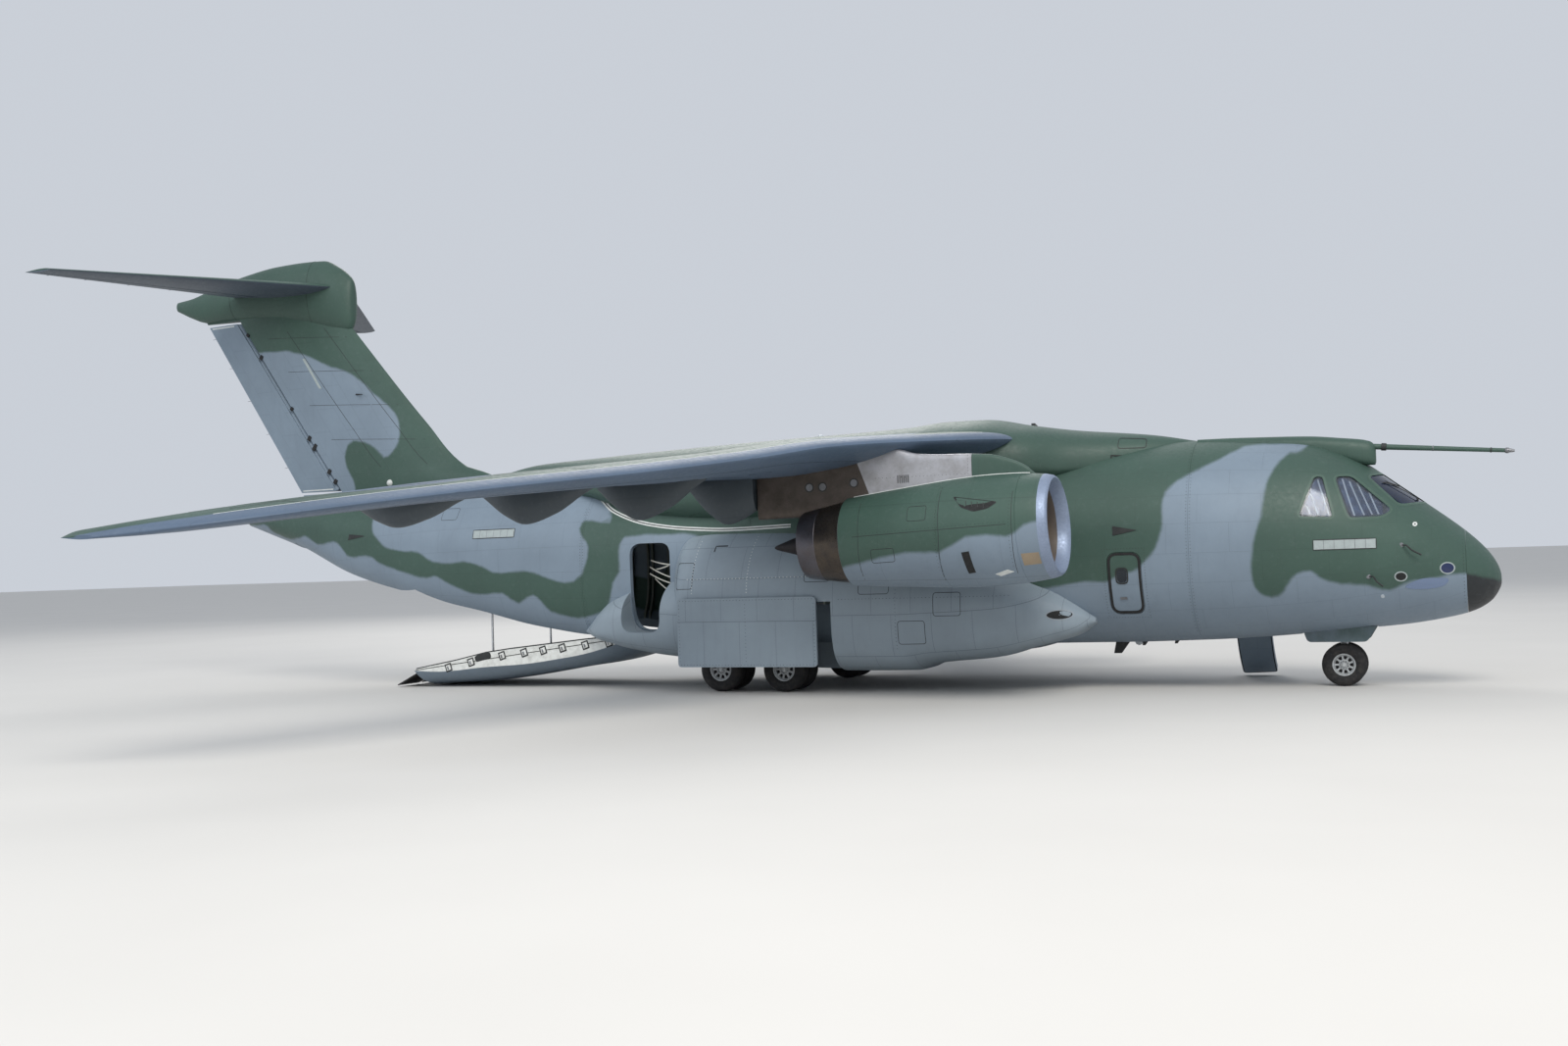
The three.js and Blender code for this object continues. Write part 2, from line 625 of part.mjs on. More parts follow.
// Wings with their flap track fairings, flaps and ailerons
for (const [name, side] of SIDES) {
  const full = wings[name];
  const outline = (from, to, front, aft, inset = 0) => {
    const steps = [from, ...WING.map((row) => row[0]).filter((out) => out > from && out < to), to];
    const head = steps.map((out) => [wingAt(out, front).station + inset, side * out]);
    const tail = steps.map((out) => [wingAt(out, 1).station + aft, side * out]).reverse();
    return [...head, ...tail];
  };
  const upward = (...values) => plate(outline(...values), WING_LOW, HIGH);
  const flapCut = upward(FLAP.from - 20, FLAP.to + 20, FLAP.front - 0.004, 300);
  const aileronCut = upward(AILERON.from - 45, AILERON.to + 45, AILERON.hinge, 300, -110);
  const flap = full.intersect(upward(FLAP.from, FLAP.to, FLAP.front, 50));
  const ends = [AILERON.from, AILERON.to].map((out) => wingAt(out, AILERON.hinge));
  const reach = [side * AILERON.from, side * AILERON.to];
  const hinge = ends.map(({ station, height }, i) => at(station, reach[i], height));
  const aileron = full.intersect(upward(AILERON.from, AILERON.to, AILERON.hinge, 50))
    .add(bar(hinge[0], hinge[1], ends[0].half * 0.93, ends[1].half * 0.93)
      .intersect(block(0, LENGTH, ...span(side, AILERON), 0, HIGH)));
  let canoes = null;
  for (const [out, deep, start] of CANOES) {
    const { station, height, half: wingHalf } = wingAt(out, CANOE_TRACK);
    const chord = between(WING, out, 2) - between(WING, out, 1);
    const canoe = loft(CANOE_ROWS.filter(([aft]) => aft >= start).map(([aft, half, part]) => {
      const low = height - 60 - (wingHalf + deep - 60) * part;
      const high = wingAt(out, Math.min(1, CANOE_TRACK + aft / chord)).height - 40;
      const shape = { low, high, waist: (low + high) / 2, below: 1.7, above: 3, count: CORNERS.canoe };
      return ring(station + aft, { middle: side * out, half, ...shape });
    }));
    canoes = canoes ? canoes.add(canoe) : canoe;
  }
  const room = loft(WING.map(([out, front, aft, height, thick, drop]) => airfoilRing(
    (part, rise) => at(front + (aft - front) * part, side * out, height + rise),
    aft - front, thick, drop, 14,
  ))).intersect(upward(FLAP.from - 20, FLAP.to + 20, FLAP.front - 0.004, 600));
  const wing = full.subtract(flapCut).subtract(aileronCut).add(canoes.subtract(room))
    .subtract(block(0, LENGTH, ...span(side, { from: -RUN, to: GAP / 2 }), 0, HIGH))
    .subtract(skinClear);
  add(`wing_${name}`, wing, "grey");
  add(`flap_${name}`, flap.subtract(skinClear), "grey");
  add(`aileron_${name}`, aileron, "grey");
}

// Engines: nacelle, nozzle, core with its struts and plug, and the fan
const placeEngine = (solid, side) => solid
  .rotate([0, -ENGINE.droop, 0])
  .translate([NOSE_X - ENGINE.front, side * ENGINE.out, ENGINE.height]);
const nacelleOuter = [
  [0, ENGINE.lip], [50, 1005], [190, 1042], [800, 1100], [1600, 1122], [2900, 1040], [4350, 920],
];
const nacelleInner = [[4350, 880], [3300, 900], [1150, 830], [450, 800], [60, 900]];
const coreProfile = [[1260, 0], [1260, 420], [2500, 480], [4300, 430], [5000, 360], [6150, 30], [6150, 0]];
const STRUTS = { count: 4, length: 500, thick: 60, reach: 905, middle: -1800, turn: 45 };
const BLADE = { chord: 200, thick: 24, length: 580, out: 490, middle: -1080, twist: 32 };
const SPINNER = [[640, 0], [700, 90], [820, 190], [960, 250], [1230, 270], [1230, 0]];
// Pylon in side view, and in plan as station and half width
const PYLON = { half: 400, low: 3000, high: 6000 };
const PYLON_SIDE = [
  [8380, 4500], [8600, 4730], [8970, 4900], [9350, 5000], [10400, 5090], [11200, 5350],
  [13400, 5330], [14450, 5020], [14400, 3870], [13800, 3880], [12500, 3900], [8600, 3800],
];
const PYLON_PLAN = [[8300, 0], [8900, 120], [9800, 200], [13300, 200], [14450, 110]];
const nozzleProfile = [[4000, 886], [4340, 872], [5370, 690], [5370, 655], [4360, 810], [4000, 840]];
for (const [name, side] of SIDES) {
  const nacelle = turned([...nacelleOuter, ...nacelleInner, nacelleOuter[0]], CORNERS.engine);
  const wrap = nacelleOuter.map(([a, r]) => [a, r + GAP]);
  const hull = turned([[0, 0], ...wrap, [4351, 920], [4351, 0]], CORNERS.engine)
    .add(turned([[4000, 0], [4000, 888], [4345, 874], [5375, 692], [5375, 0]], CORNERS.engine));
  const nozzle = turned([...nozzleProfile, nozzleProfile[0]], CORNERS.engine);
  add(`nacelle_${name}`, placeEngine(nacelle, side), "green");
  add(`exhaust_nozzle_${name}`, placeEngine(nozzle, side), "metal");
  let core = turned(coreProfile, CORNERS.engine);
  for (let i = 0; i < STRUTS.count; i += 1) {
    const { length, thick, reach, middle, turn, count } = STRUTS;
    const strut = solidOf(new THREE.BoxGeometry(length, thick, reach).translate(middle, 0, reach / 2));
    core = core.add(strut.rotate([turn + (i * 360) / count, 0, 0]));
  }
  core = core.subtract(turned([...nacelleOuter.map(([a, r]) => [a, r + 200]),
    ...nacelleInner.map(([a, r]) => [a, r - GAP]), [0, ENGINE.lip + 200]], CORNERS.engine));
  add(`engine_core_${name}`, placeEngine(core, side), "dark");
  let fan = turned(SPINNER, NOSE_GEAR.sides);
  for (let i = 0; i < FAN_BLADES; i += 1) {
    const { chord, thick, length, out, middle, twist } = BLADE;
    const blade = solidOf(new THREE.BoxGeometry(chord, thick, length).translate(0, 0, out))
      .rotate([0, 0, twist]).translate([middle, 0, 0]);
    fan = fan.add(blade.rotate([(i * 360) / FAN_BLADES, 0, 0]));
  }
  add(`fan_${name}`, placeEngine(fan, side), "metal");
  const middle = side * ENGINE.out;
  const profile = slab(PYLON_SIDE, middle - PYLON.half, middle + PYLON.half);
  const mirrored = PYLON_PLAN.slice(1).map(([station, out]) => [station, -out]).reverse();
  const planLine = [...PYLON_PLAN, ...mirrored].map(([station, out]) => [station, middle + out]);
  const plan = plate(planLine, PYLON.low, PYLON.high);
  const pylon = profile.intersect(plan)
    .subtract(placeEngine(hull, side))
    .subtract(wingsClear[name]);
  add(`pylon_${name}`, pylon, "metal");
}

// Side pods for the main gear: station, bottom, top, outer reach, widest height
const POD_MIDDLE = 1500;
const POD = [
  [7950, 1450, 1580, 1850, 1520], [8350, 1200, 1950, 2250, 1600], [8750, 1080, 2250, 2450, 1700],
  [9250, 960, 2460, 2680, 1750], [10000, 750, 2850, 2900, 1850], [11500, 600, 3200, 3030, 1900],
  [11900, 460, 3300, 3060, 1900], [13600, 450, 3700, 3070, 1950], [15000, 480, 3780, 3070, 2000],
  [16800, 600, 3810, 3050, 2100], [17350, 720, 3790, 2960, 2100], [17600, 800, 3700, 2700, 2150],
  [17850, 900, 3500, 2250, 2200],
];
const POD_TAIL = [
  [16000, 700, 2750, 2960, 1800], [17300, 740, 2750, 2930, 1800], [18200, 820, 2650, 2820, 1800],
  [19030, 950, 2490, 2660, 1750], [19300, 1000, 2410, 2580, 1700], [19670, 1100, 2280, 2450, 1600],
  [20000, 1170, 2010, 2300, 1500], [20450, 1360, 1500, 1950, 1430],
];
const WHEEL_WELL = { fwd: 13550, aft: 17420, from: 1250, to: 3400, low: -100, high: 2060 };
function wheelWell(side) {
  const { fwd, aft, low, high } = WHEEL_WELL;
  return block(fwd, aft, ...span(side, WHEEL_WELL), low, high);
}
function podSolid(table, side, grow) {
  return loft(table.map(([station, low, high, out, waist]) => ring(station, {
    middle: side * POD_MIDDLE, half: out - POD_MIDDLE + grow, low: low - grow, high: high + grow, waist,
    below: 3.4, above: 2, count: CORNERS.pod,
  })));
}
for (const [name, side] of SIDES) {
  const pod = podSolid(POD, side, 0);
  const door = slab(doorShape(GEAR_DOOR, 0), ...span(side, GEAR_DOOR));
  const reach = span(side, { from: 0, to: WIDE });
  const sponson = pod.add(podSolid(POD_TAIL, side, 0)).subtract(skinClear).subtract(wheelWell(side))
    .subtract(slab(doorShape(PARA_DOOR, -30), ...reach))
    .intersect(block(0, LENGTH, ...span(side, { from: 700, to: WIDE }), 0, HIGH))
    .subtract(rampOpening);
  add(`sponson_${name}`, sponson, "grey");
  add(`main_gear_door_${name}`, door, "grey");
}

// Wheels turned about an axis across the body, with flats at the bottom
function wheel(radius, half, sides) {
  const reach = radius / Math.cos(Math.PI / sides);
  const profile = [
    [0, half - 70], [0.5, half - 50], [0.58, half - 8], [0.88, half], [1, half - 75],
  ];
  const points = profile.map(([part, across]) => new THREE.Vector2(part * reach, across));
  const mirrored = points.map((p) => new THREE.Vector2(p.x, -p.y));
  const geometry = new THREE.LatheGeometry([...mirrored, ...points.reverse()], sides);
  geometry.rotateY(Math.PI / sides);
  const solid = solidOf(geometry);
  return solid.volume() > 0 ? solid : solidOf(flipped(geometry));
}
function twinWheels({ radius, half, sides }, station, inner, outer) {
  const pair = [inner, outer].map((across) => wheel(radius, half, sides)
    .translate([NOSE_X - station, across, radius]));
  return pair[0].add(pair[1]).add(bar(at(station, inner, radius), at(station, outer, radius), AXLE_RADIUS));
}
for (const [name, side] of SIDES) {
  const middle = (side * (MAIN_GEAR.out + MAIN_GEAR.inner)) / 2;
  const [fore, aft] = MAIN_GEAR.stations;
  const { beamHalf, beamLow, beamHigh, top, post, hub, hubHalf, bore, brace, braceAft, braceTop } = MAIN_LEGS;
  let legs = block(fore, aft, middle - beamHalf, middle + beamHalf, beamLow, beamHigh);
  for (const [row, station] of [["front", fore], ["rear", aft]]) {
    const pair = twinWheels(MAIN_GEAR, station, side * MAIN_GEAR.inner, side * MAIN_GEAR.out);
    add(`main_wheels_${row}_${name}`, pair, "tyre");
    const across = (reach, radius) => bar(
      at(station, middle - reach, MAIN_GEAR.radius),
      at(station, middle + reach, MAIN_GEAR.radius),
      radius,
    );
    legs = legs.add(across(hubHalf, hub))
      .add(bar(at(station, middle, MAIN_GEAR.radius), at(station, middle, top), post))
      .subtract(across(2 * hub, bore));
  }
  const braceEnds = [at(fore, middle, (beamLow + beamHigh) / 2), at(fore - braceAft, middle, braceTop)];
  legs = legs.add(bar(...braceEnds, brace))
    .subtract(podSolid(POD, side, GAP).subtract(wheelWell(side)))
    .subtract(skinClear);
  add(`main_gear_legs_${name}`, legs, "metal");
}

// Nose gear: upper leg, steered lower leg, wheels and doors
{
  const { station, radius, out } = NOSE_GEAR;
  const { collar, top, upper, steered: lower, hub, hubHalf, bore, brace, braceLow, braceTop } = NOSE_LEG;
  const onMiddle = ([aft, height]) => at(aft, 0, height);
  const across = (reach, thick) => bar(at(station, -reach, radius), at(station, reach, radius), thick);
  const leg = bar(at(station, 0, collar + RUN), at(station, 0, top - GAP), upper)
    .add(bar(onMiddle(braceLow), onMiddle(braceTop), brace));
  add("nose_gear_leg", leg, "metal");
  const steered = bar(at(station, 0, radius), at(station, 0, collar), lower)
    .add(across(hubHalf, hub))
    .subtract(across(out, bore));
  add("nose_gear_steering", steered, "metal");
  add("nose_wheels", twinWheels(NOSE_GEAR, station, -out, out), "tyre");
  for (const [name, side] of SIDES) {
    const door = slab(NOSE_DOOR.outline, ...span(side, NOSE_DOOR)).subtract(skinClear);
    add(`nose_gear_door_${name}`, door, "grey");
  }
}

// Tail: fin, rudder, bullet, tailplane and elevators
// Fin sections: height, leading edge station, trailing edge station, thickness as part of the chord
const FIN = [
  [5150, 23900, 30665, 0.095], [5560, 24400, 30937, 0.1], [5700, 24980, 31028, 0.103],
  [5850, 25290, 31125, 0.105], [7020, 26430, 31890, 0.11], [9560, 28640, 33555, 0.11],
  [10330, 29290, 34060, 0.11], [10700, 29600, 34300, 0.11],
];
const RUDDER = { low: 5330, high: 10300, bottomHinge: 29460, topHinge: 32900 };
const BULLET = [
  [28790, 10300, 10900, 30, 10600], [28830, 9990, 11180, 150, 10600], [28950, 9800, 11330, 240, 10600],
  [29310, 9800, 11600, 350, 10800], [29800, 9900, 11820, 430, 10900], [30550, 10080, 11860, 470, 10980],
  [31400, 10260, 11830, 480, 11000], [33000, 10400, 11600, 420, 11000], [34140, 10450, 11320, 310, 10970],
  [34600, 10600, 11210, 250, 10950], [LENGTH, 10870, 11150, 100, 11000],
];
const TAILPLANE = [
  [0, 29130, 32610, 11010, 0.1], [390, 29360, 32690, 11005, 0.1], [6410, 33130, 34020, 10930, 0.09],
];
const ELEVATOR = { from: 640, to: 6230, hinge: 0.7 };
function finSolid(grow) {
  return loft(FIN.map(([height, front, aft, thick]) => airfoilRing(
    (part, across) => at(front - grow + (aft - front + 2 * grow) * part, across, height),
    aft - front, thick, 0, grow,
  )));
}
function tailplaneSolid(grow) {
  const rings = [
    ...TAILPLANE.map((row) => [-1, row]).reverse(),
    ...TAILPLANE.slice(1).map((row) => [1, row]),
  ];
  return loft(rings.map(([side, [out, front, aft, height, thick]]) => airfoilRing(
    (part, rise) => at(front - grow + (aft - front + 2 * grow) * part, side * out, height + rise),
    aft - front, thick, 0, grow,
  )));
}
function bulletSolid(grow) {
  return loft(BULLET.map(([station, low, high, half, waist]) => ring(station, {
    half: half + grow, low: low - grow, high: high + grow, waist, below: 2.2, above: 2, count: CORNERS.bullet,
  })));
}
{
  const fin = finSolid(0);
  const bullet = bulletSolid(0);
  const hingeLine = ({ low, high, bottomHinge, topHinge }, ahead) => {
    const slope = (topHinge - bottomHinge) / (high - low);
    return [[bottomHinge - ahead - 100 * slope, low - 100], [topHinge - ahead + 600 * slope, high + 600]];
  };
  const cutLine = hingeLine(RUDDER, 175);
  const rudderLine = hingeLine(RUDDER, 0);
  const behindTail = LENGTH + 1300;
  const far = (line) => [...line, [behindTail, line[1][1]], [behindTail, line[0][1]]];
  const rudderBand = block(0, behindTail, -TAIL_WIDE, TAIL_WIDE, RUDDER.low - 70, RUDDER.high + 90);
  const rudderRoom = slab(far(cutLine), -TAIL_WIDE, TAIL_WIDE).intersect(rudderBand);
  const slope = new THREE.Vector3().subVectors(
    at(RUDDER.topHinge, 0, RUDDER.high),
    at(RUDDER.bottomHinge, 0, RUDDER.low),
  );
  const thickAt = (height) => between(FIN, height, 3)
    * (between(FIN, height, 2) - between(FIN, height, 1));
  const nose = bar(at(RUDDER.bottomHinge, 0, RUDDER.low).addScaledVector(slope, -0.1),
    at(RUDDER.topHinge, 0, RUDDER.high).addScaledVector(slope, 0.1),
    thickAt(RUDDER.low) * 0.195, thickAt(RUDDER.high) * 0.2);
  const rudder = fin.intersect(slab(far(rudderLine), -TAIL_WIDE, TAIL_WIDE)).add(nose)
    .intersect(block(0, behindTail, -TAIL_WIDE, TAIL_WIDE, RUDDER.low, RUDDER.high));
  add("fin", fin.subtract(rudderRoom).subtract(bulletSolid(GAP)).subtract(skinClear)
    .intersect(block(0, 34000, -TAIL_WIDE, TAIL_WIDE, 5000, 10690))
    .subtract(backSolid(GAP)), "green");
  add("rudder", rudder, "grey");
  const tailplane = tailplaneSolid(0);
  const spans = SIDES.map(([name, side]) => {
    const edge = (out, part, move) => [
      between(TAILPLANE, out, 1) + (between(TAILPLANE, out, 2) - between(TAILPLANE, out, 1)) * part + move,
      side * out,
    ];
    const { from, to, hinge } = ELEVATOR;
    const room = plate([
      edge(from - 40, hinge, -110), edge(to + 40, hinge, -110),
      edge(to + 40, 1, 300), edge(from - 40, 1, 300),
    ], 10000, 12000);
    const chord = (out) => between(TAILPLANE, out, 2) - between(TAILPLANE, out, 1);
    const half = (out) => (between(TAILPLANE, out, 4) * chord(out)) / 2;
    const ends = [from, to].map((out) => {
      const [station] = edge(out, hinge, 0);
      return at(station, side * out, between(TAILPLANE, out, 3));
    });
    const outline = [edge(from, hinge, 0), edge(to, hinge, 0), edge(to, 1, 50), edge(from, 1, 50)];
    const piece = tailplane.intersect(plate(outline, 10000, 12000))
      .add(bar(ends[0], ends[1], half(from) * 0.58, half(to) * 0.58)
        .intersect(block(0, behindTail, ...span(side, ELEVATOR), 10000, 12000)));
    return [name, room, piece];
  });
  let fixed = tailplane;
  for (const [name, room, piece] of spans) {
    fixed = fixed.subtract(room);
    add(`elevator_${name}`, piece, "grey");
  }
  add("tailplane", fixed, "grey");
  add("tail_bullet", bullet.subtract(tailplaneSolid(GAP)), "green");
}

export default plane;
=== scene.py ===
# Dresses the frame of a military transport plane: skins, paint, gear, cargo bay and fittings.
# Metres in the frame's axes: +X to the nose, +Y to port, +Z up. Stations are metres aft of the nose tip.
import math

import bmesh
import bpy
import numpy as np
from mathutils import Matrix, Vector


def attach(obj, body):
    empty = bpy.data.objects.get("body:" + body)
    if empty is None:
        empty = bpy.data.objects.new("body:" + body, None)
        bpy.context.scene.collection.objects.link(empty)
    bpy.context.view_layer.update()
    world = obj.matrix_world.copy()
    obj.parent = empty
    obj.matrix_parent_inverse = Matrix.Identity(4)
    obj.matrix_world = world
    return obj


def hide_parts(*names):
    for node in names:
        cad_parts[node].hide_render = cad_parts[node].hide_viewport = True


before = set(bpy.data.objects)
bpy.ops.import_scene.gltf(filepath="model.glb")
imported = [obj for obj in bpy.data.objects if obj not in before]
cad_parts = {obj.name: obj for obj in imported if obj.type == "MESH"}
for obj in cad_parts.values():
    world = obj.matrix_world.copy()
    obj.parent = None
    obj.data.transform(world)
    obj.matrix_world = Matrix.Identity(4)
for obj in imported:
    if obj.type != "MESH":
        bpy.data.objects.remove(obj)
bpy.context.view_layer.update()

# Driving dimensions, as in the part's source
NOSE_X = (35.2 - 0.33) / 2
WALL = 0.13
FLOOR_TOP = 1.36
SIDES = (("left", 1), ("right", -1))
PROUD = 0.004
AHEAD, AFT, PORT, UP, DOWN = (1, 0, 0), (-1, 0, 0), (0, 1, 0), (0, 0, 1), (0, 0, -1)
# The straight body's widest height, half width and number of points round it, and a distance beyond its sides
BODY_WAIST, BODY_HALF, BODY_POINTS, OUTSIDE = 3.15, 2.2, 96, 3.5
WING_SWEEP, FIN_SWEEP = 0.45, 0.68

# Body: station, bottom, top, half width, height of the widest point, roundness below it
BODY = [
    (0, 2.13, 2.19, 0.03, 2.16, 2.0), (0.05, 1.95, 2.44, 0.27, 2.18, 2.0),
    (0.2, 1.735, 2.71, 0.52, 2.22, 2.0), (0.55, 1.525, 3.1, 0.85, 2.33, 2.0),
    (1.18, 1.37, 3.63, 1.22, 2.5, 2.0), (1.8, 1.275, 4.115, 1.51, 2.65, 2.05),
    (2.2, 1.235, 4.43, 1.66, 2.75, 2.1), (2.5, 1.21, 4.66, 1.77, 2.83, 2.1),
    (3.0, 1.165, 4.96, 1.915, 2.95, 2.15), (3.6, 1.115, 5.18, 2.04, 3.04, 2.2),
    (4.6, 1.04, 5.27, 2.15, 3.11, 2.25), (5.8, 0.985, 5.33, 2.195, 3.15, 2.3),
    (7.8, 0.95, 5.34, 2.2, 3.15, 2.5), (10.0, 0.95, 5.34, 2.2, 3.15, 3.2),
    (19.5, 0.95, 5.34, 2.2, 3.15, 3.4), (20.3, 0.99, 5.34, 2.195, 3.16, 3.5),
    (21.8, 1.23, 5.34, 2.17, 3.23, 3.6), (23.6, 1.53, 5.33, 2.07, 3.39, 3.2),
    (25.1, 1.91, 5.3, 1.94, 3.56, 3.7), (26.6, 2.29, 5.26, 1.76, 3.76, 3.4),
    (28.2, 2.78, 5.21, 1.51, 3.98, 3.0), (30.2, 3.66, 5.13, 1.08, 4.32, 2.4),
    (31.6, 4.13, 5.02, 0.68, 4.52, 2.1), (32.57, 4.44, 4.88, 0.25, 4.66, 2.0),
]
# Fairing along the back: station, top, half width, widest height, lower edge
BACK = [
    (5.9, 5.32, 0.15, 5.15, 5.0), (6.86, 5.51, 0.82, 5.0, 4.7), (8.6, 5.72, 1.65, 4.85, 4.5),
    (9.5, 5.87, 2.3, 4.95, 4.4), (10.5, 6.06, 2.5, 4.95, 4.15), (11.4, 6.075, 2.5, 4.8, 3.95),
    (12.3, 6.0, 2.45, 4.7, 3.8), (16.4, 5.9, 2.4, 4.6, 3.72), (18.5, 5.84, 2.26, 4.65, 3.92),
    (19.7, 5.8, 2.08, 4.8, 4.28), (20.6, 5.77, 1.7, 4.9, 4.6), (22.6, 5.7, 1.0, 5.05, 4.8),
    (23.8, 5.52, 0.52, 5.1, 4.9), (24.3, 5.4, 0.2, 5.15, 5.0),
]
# Wing: distance out, leading edge, trailing edge, height, thickness share, drop of the trailing edge
WING = [
    (0, 9.4, 15.9, 5.5, 0.125, 0.62), (2.2, 9.57, 15.85, 5.46, 0.125, 0.6),
    (4.5, 10.881, 16.25, 5.36, 0.122, 0.57), (6.5, 12.02, 16.6, 5.21, 0.12, 0.44),
    (8.0, 12.873, 17.136, 4.97, 0.118, 0.3), (10.0, 14.01, 17.85, 4.7, 0.115, 0.1),
    (13.5, 16.0, 19.08, 4.29, 0.11, 0), (16.85, 17.91, 20.25, 3.836, 0.105, -0.02),
    (17.3, 18.6, 20.4, 3.75, 0.1, -0.03), (17.525, 19.75, 20.47, 3.67, 0.09, -0.01),
]
AIRFOIL = [
    (0, 0), (0.012, 0.2), (0.05, 0.46), (0.13, 0.74), (0.28, 0.98), (0.42, 1), (0.58, 0.84), (0.74, 0.55),
    (1, 0.03),
]
FLAP = {"from": 2.42, "to": 12.88, "front": 0.735}
AILERON = {"from": 12.96, "to": 16.6, "hinge": 0.76}
# Flap track fairings: distance out, depth below the wing, front end aft of the flap's track
CANOES = ((4.75, 0.95, 0.2), (7.15, 0.78, -0.9), (9.65, 0.66, -0.9), (12.15, 0.5, -0.9))
CANOE = [
    (-0.9, 0.025, 0.02), (-0.4, 0.12, 0.33), (0.2, 0.18, 0.76), (0.9, 0.19, 1), (1.3, 0.16, 0.8),
    (1.85, 0.03, 0.28),
]
CANOE_TRACK = 0.62
ENGINE = {"out": 4.7, "height": 3.52, "front": 7.97, "droop": 2.4}
FIN = [
    (5.15, 23.9, 30.665, 0.095), (5.56, 24.4, 30.937, 0.1), (5.7, 24.98, 31.028, 0.103),
    (5.85, 25.29, 31.125, 0.105), (7.02, 26.43, 31.89, 0.11), (9.56, 28.64, 33.555, 0.11),
    (10.33, 29.29, 34.06, 0.11), (10.7, 29.6, 34.3, 0.11),
]
RUDDER = {"low": 5.33, "high": 10.3, "bottom": 29.46, "top": 32.9}
RUDDER_SLOPE = (RUDDER["top"] - RUDDER["bottom"]) / (RUDDER["high"] - RUDDER["low"])
BULLET = [
    (28.79, 10.3, 10.9, 0.03, 10.6), (28.83, 9.99, 11.18, 0.15, 10.6), (28.95, 9.8, 11.33, 0.24, 10.6),
    (29.31, 9.8, 11.6, 0.35, 10.8), (29.8, 9.9, 11.82, 0.43, 10.9), (30.55, 10.08, 11.845, 0.47, 10.98),
    (31.4, 10.26, 11.82, 0.48, 11.0), (33.0, 10.4, 11.6, 0.42, 11.0), (34.14, 10.45, 11.32, 0.31, 10.97),
    (34.6, 10.6, 11.21, 0.25, 10.95), (35.2, 10.87, 11.15, 0.1, 11.0),
]
TAILPLANE = [
    (0, 29.13, 32.61, 11.01, 0.1), (0.39, 29.36, 32.69, 11.005, 0.1), (6.41, 33.13, 34.02, 10.93, 0.09),
]
ELEVATOR = {"from": 0.64, "to": 6.23, "hinge": 0.7}
# Side pods: station, bottom, top, outer reach, widest height
POD = [
    (7.95, 1.45, 1.58, 1.85, 1.52), (8.35, 1.2, 1.95, 2.25, 1.6), (8.75, 1.08, 2.25, 2.45, 1.7),
    (9.25, 0.96, 2.46, 2.68, 1.75), (10.0, 0.75, 2.85, 2.9, 1.85), (11.5, 0.6, 3.2, 3.03, 1.9),
    (11.9, 0.46, 3.3, 3.06, 1.9), (13.6, 0.45, 3.7, 3.07, 1.95), (15.0, 0.48, 3.78, 3.07, 2.0),
    (16.8, 0.6, 3.81, 3.05, 2.1), (17.35, 0.72, 3.79, 2.96, 2.1), (17.6, 0.8, 3.7, 2.7, 2.15),
    (17.85, 0.9, 3.5, 2.25, 2.2),
]
POD_TAIL = [
    (16.0, 0.7, 2.75, 2.96, 1.8), (17.3, 0.74, 2.75, 2.93, 1.8), (18.2, 0.82, 2.65, 2.82, 1.8),
    (19.03, 0.95, 2.49, 2.66, 1.75), (19.3, 1.0, 2.41, 2.58, 1.7), (19.67, 1.1, 2.28, 2.45, 1.6),
    (20.0, 1.17, 2.01, 2.3, 1.5), (20.45, 1.36, 1.5, 1.95, 1.43),
]
POD_POWERS = (3.4, 2.0)
POD_MIDDLE = 1.5
WINDOWS = (
    ("side_rear", 0.3, ((3.73, 3.56), (3.07, 3.515), (3.27, 4.365), (3.43, 4.37))),
    ("side_front", 0.3, ((2.78, 3.495), (2.17, 3.51), (1.98, 3.64), (2.74, 4.365), (3.05, 4.355))),
    ("windshield", 0.045, ((1.85, 3.745), (2.43, 4.355), (2.06, 4.42), (1.34, 3.8))),
)
PARA_DOOR = {"fwd": 17.97, "aft": 19.05, "low": 1.43, "high": 3.51, "round": 0.18}
EXIT_DOOR = {"fwd": 6.88, "aft": 7.6, "low": 1.63, "high": 2.95, "round": 0.14}
CREW_DOOR = {"fwd": 4.74, "aft": 5.52, "low": 1.5, "high": 3.2, "round": 0.06}

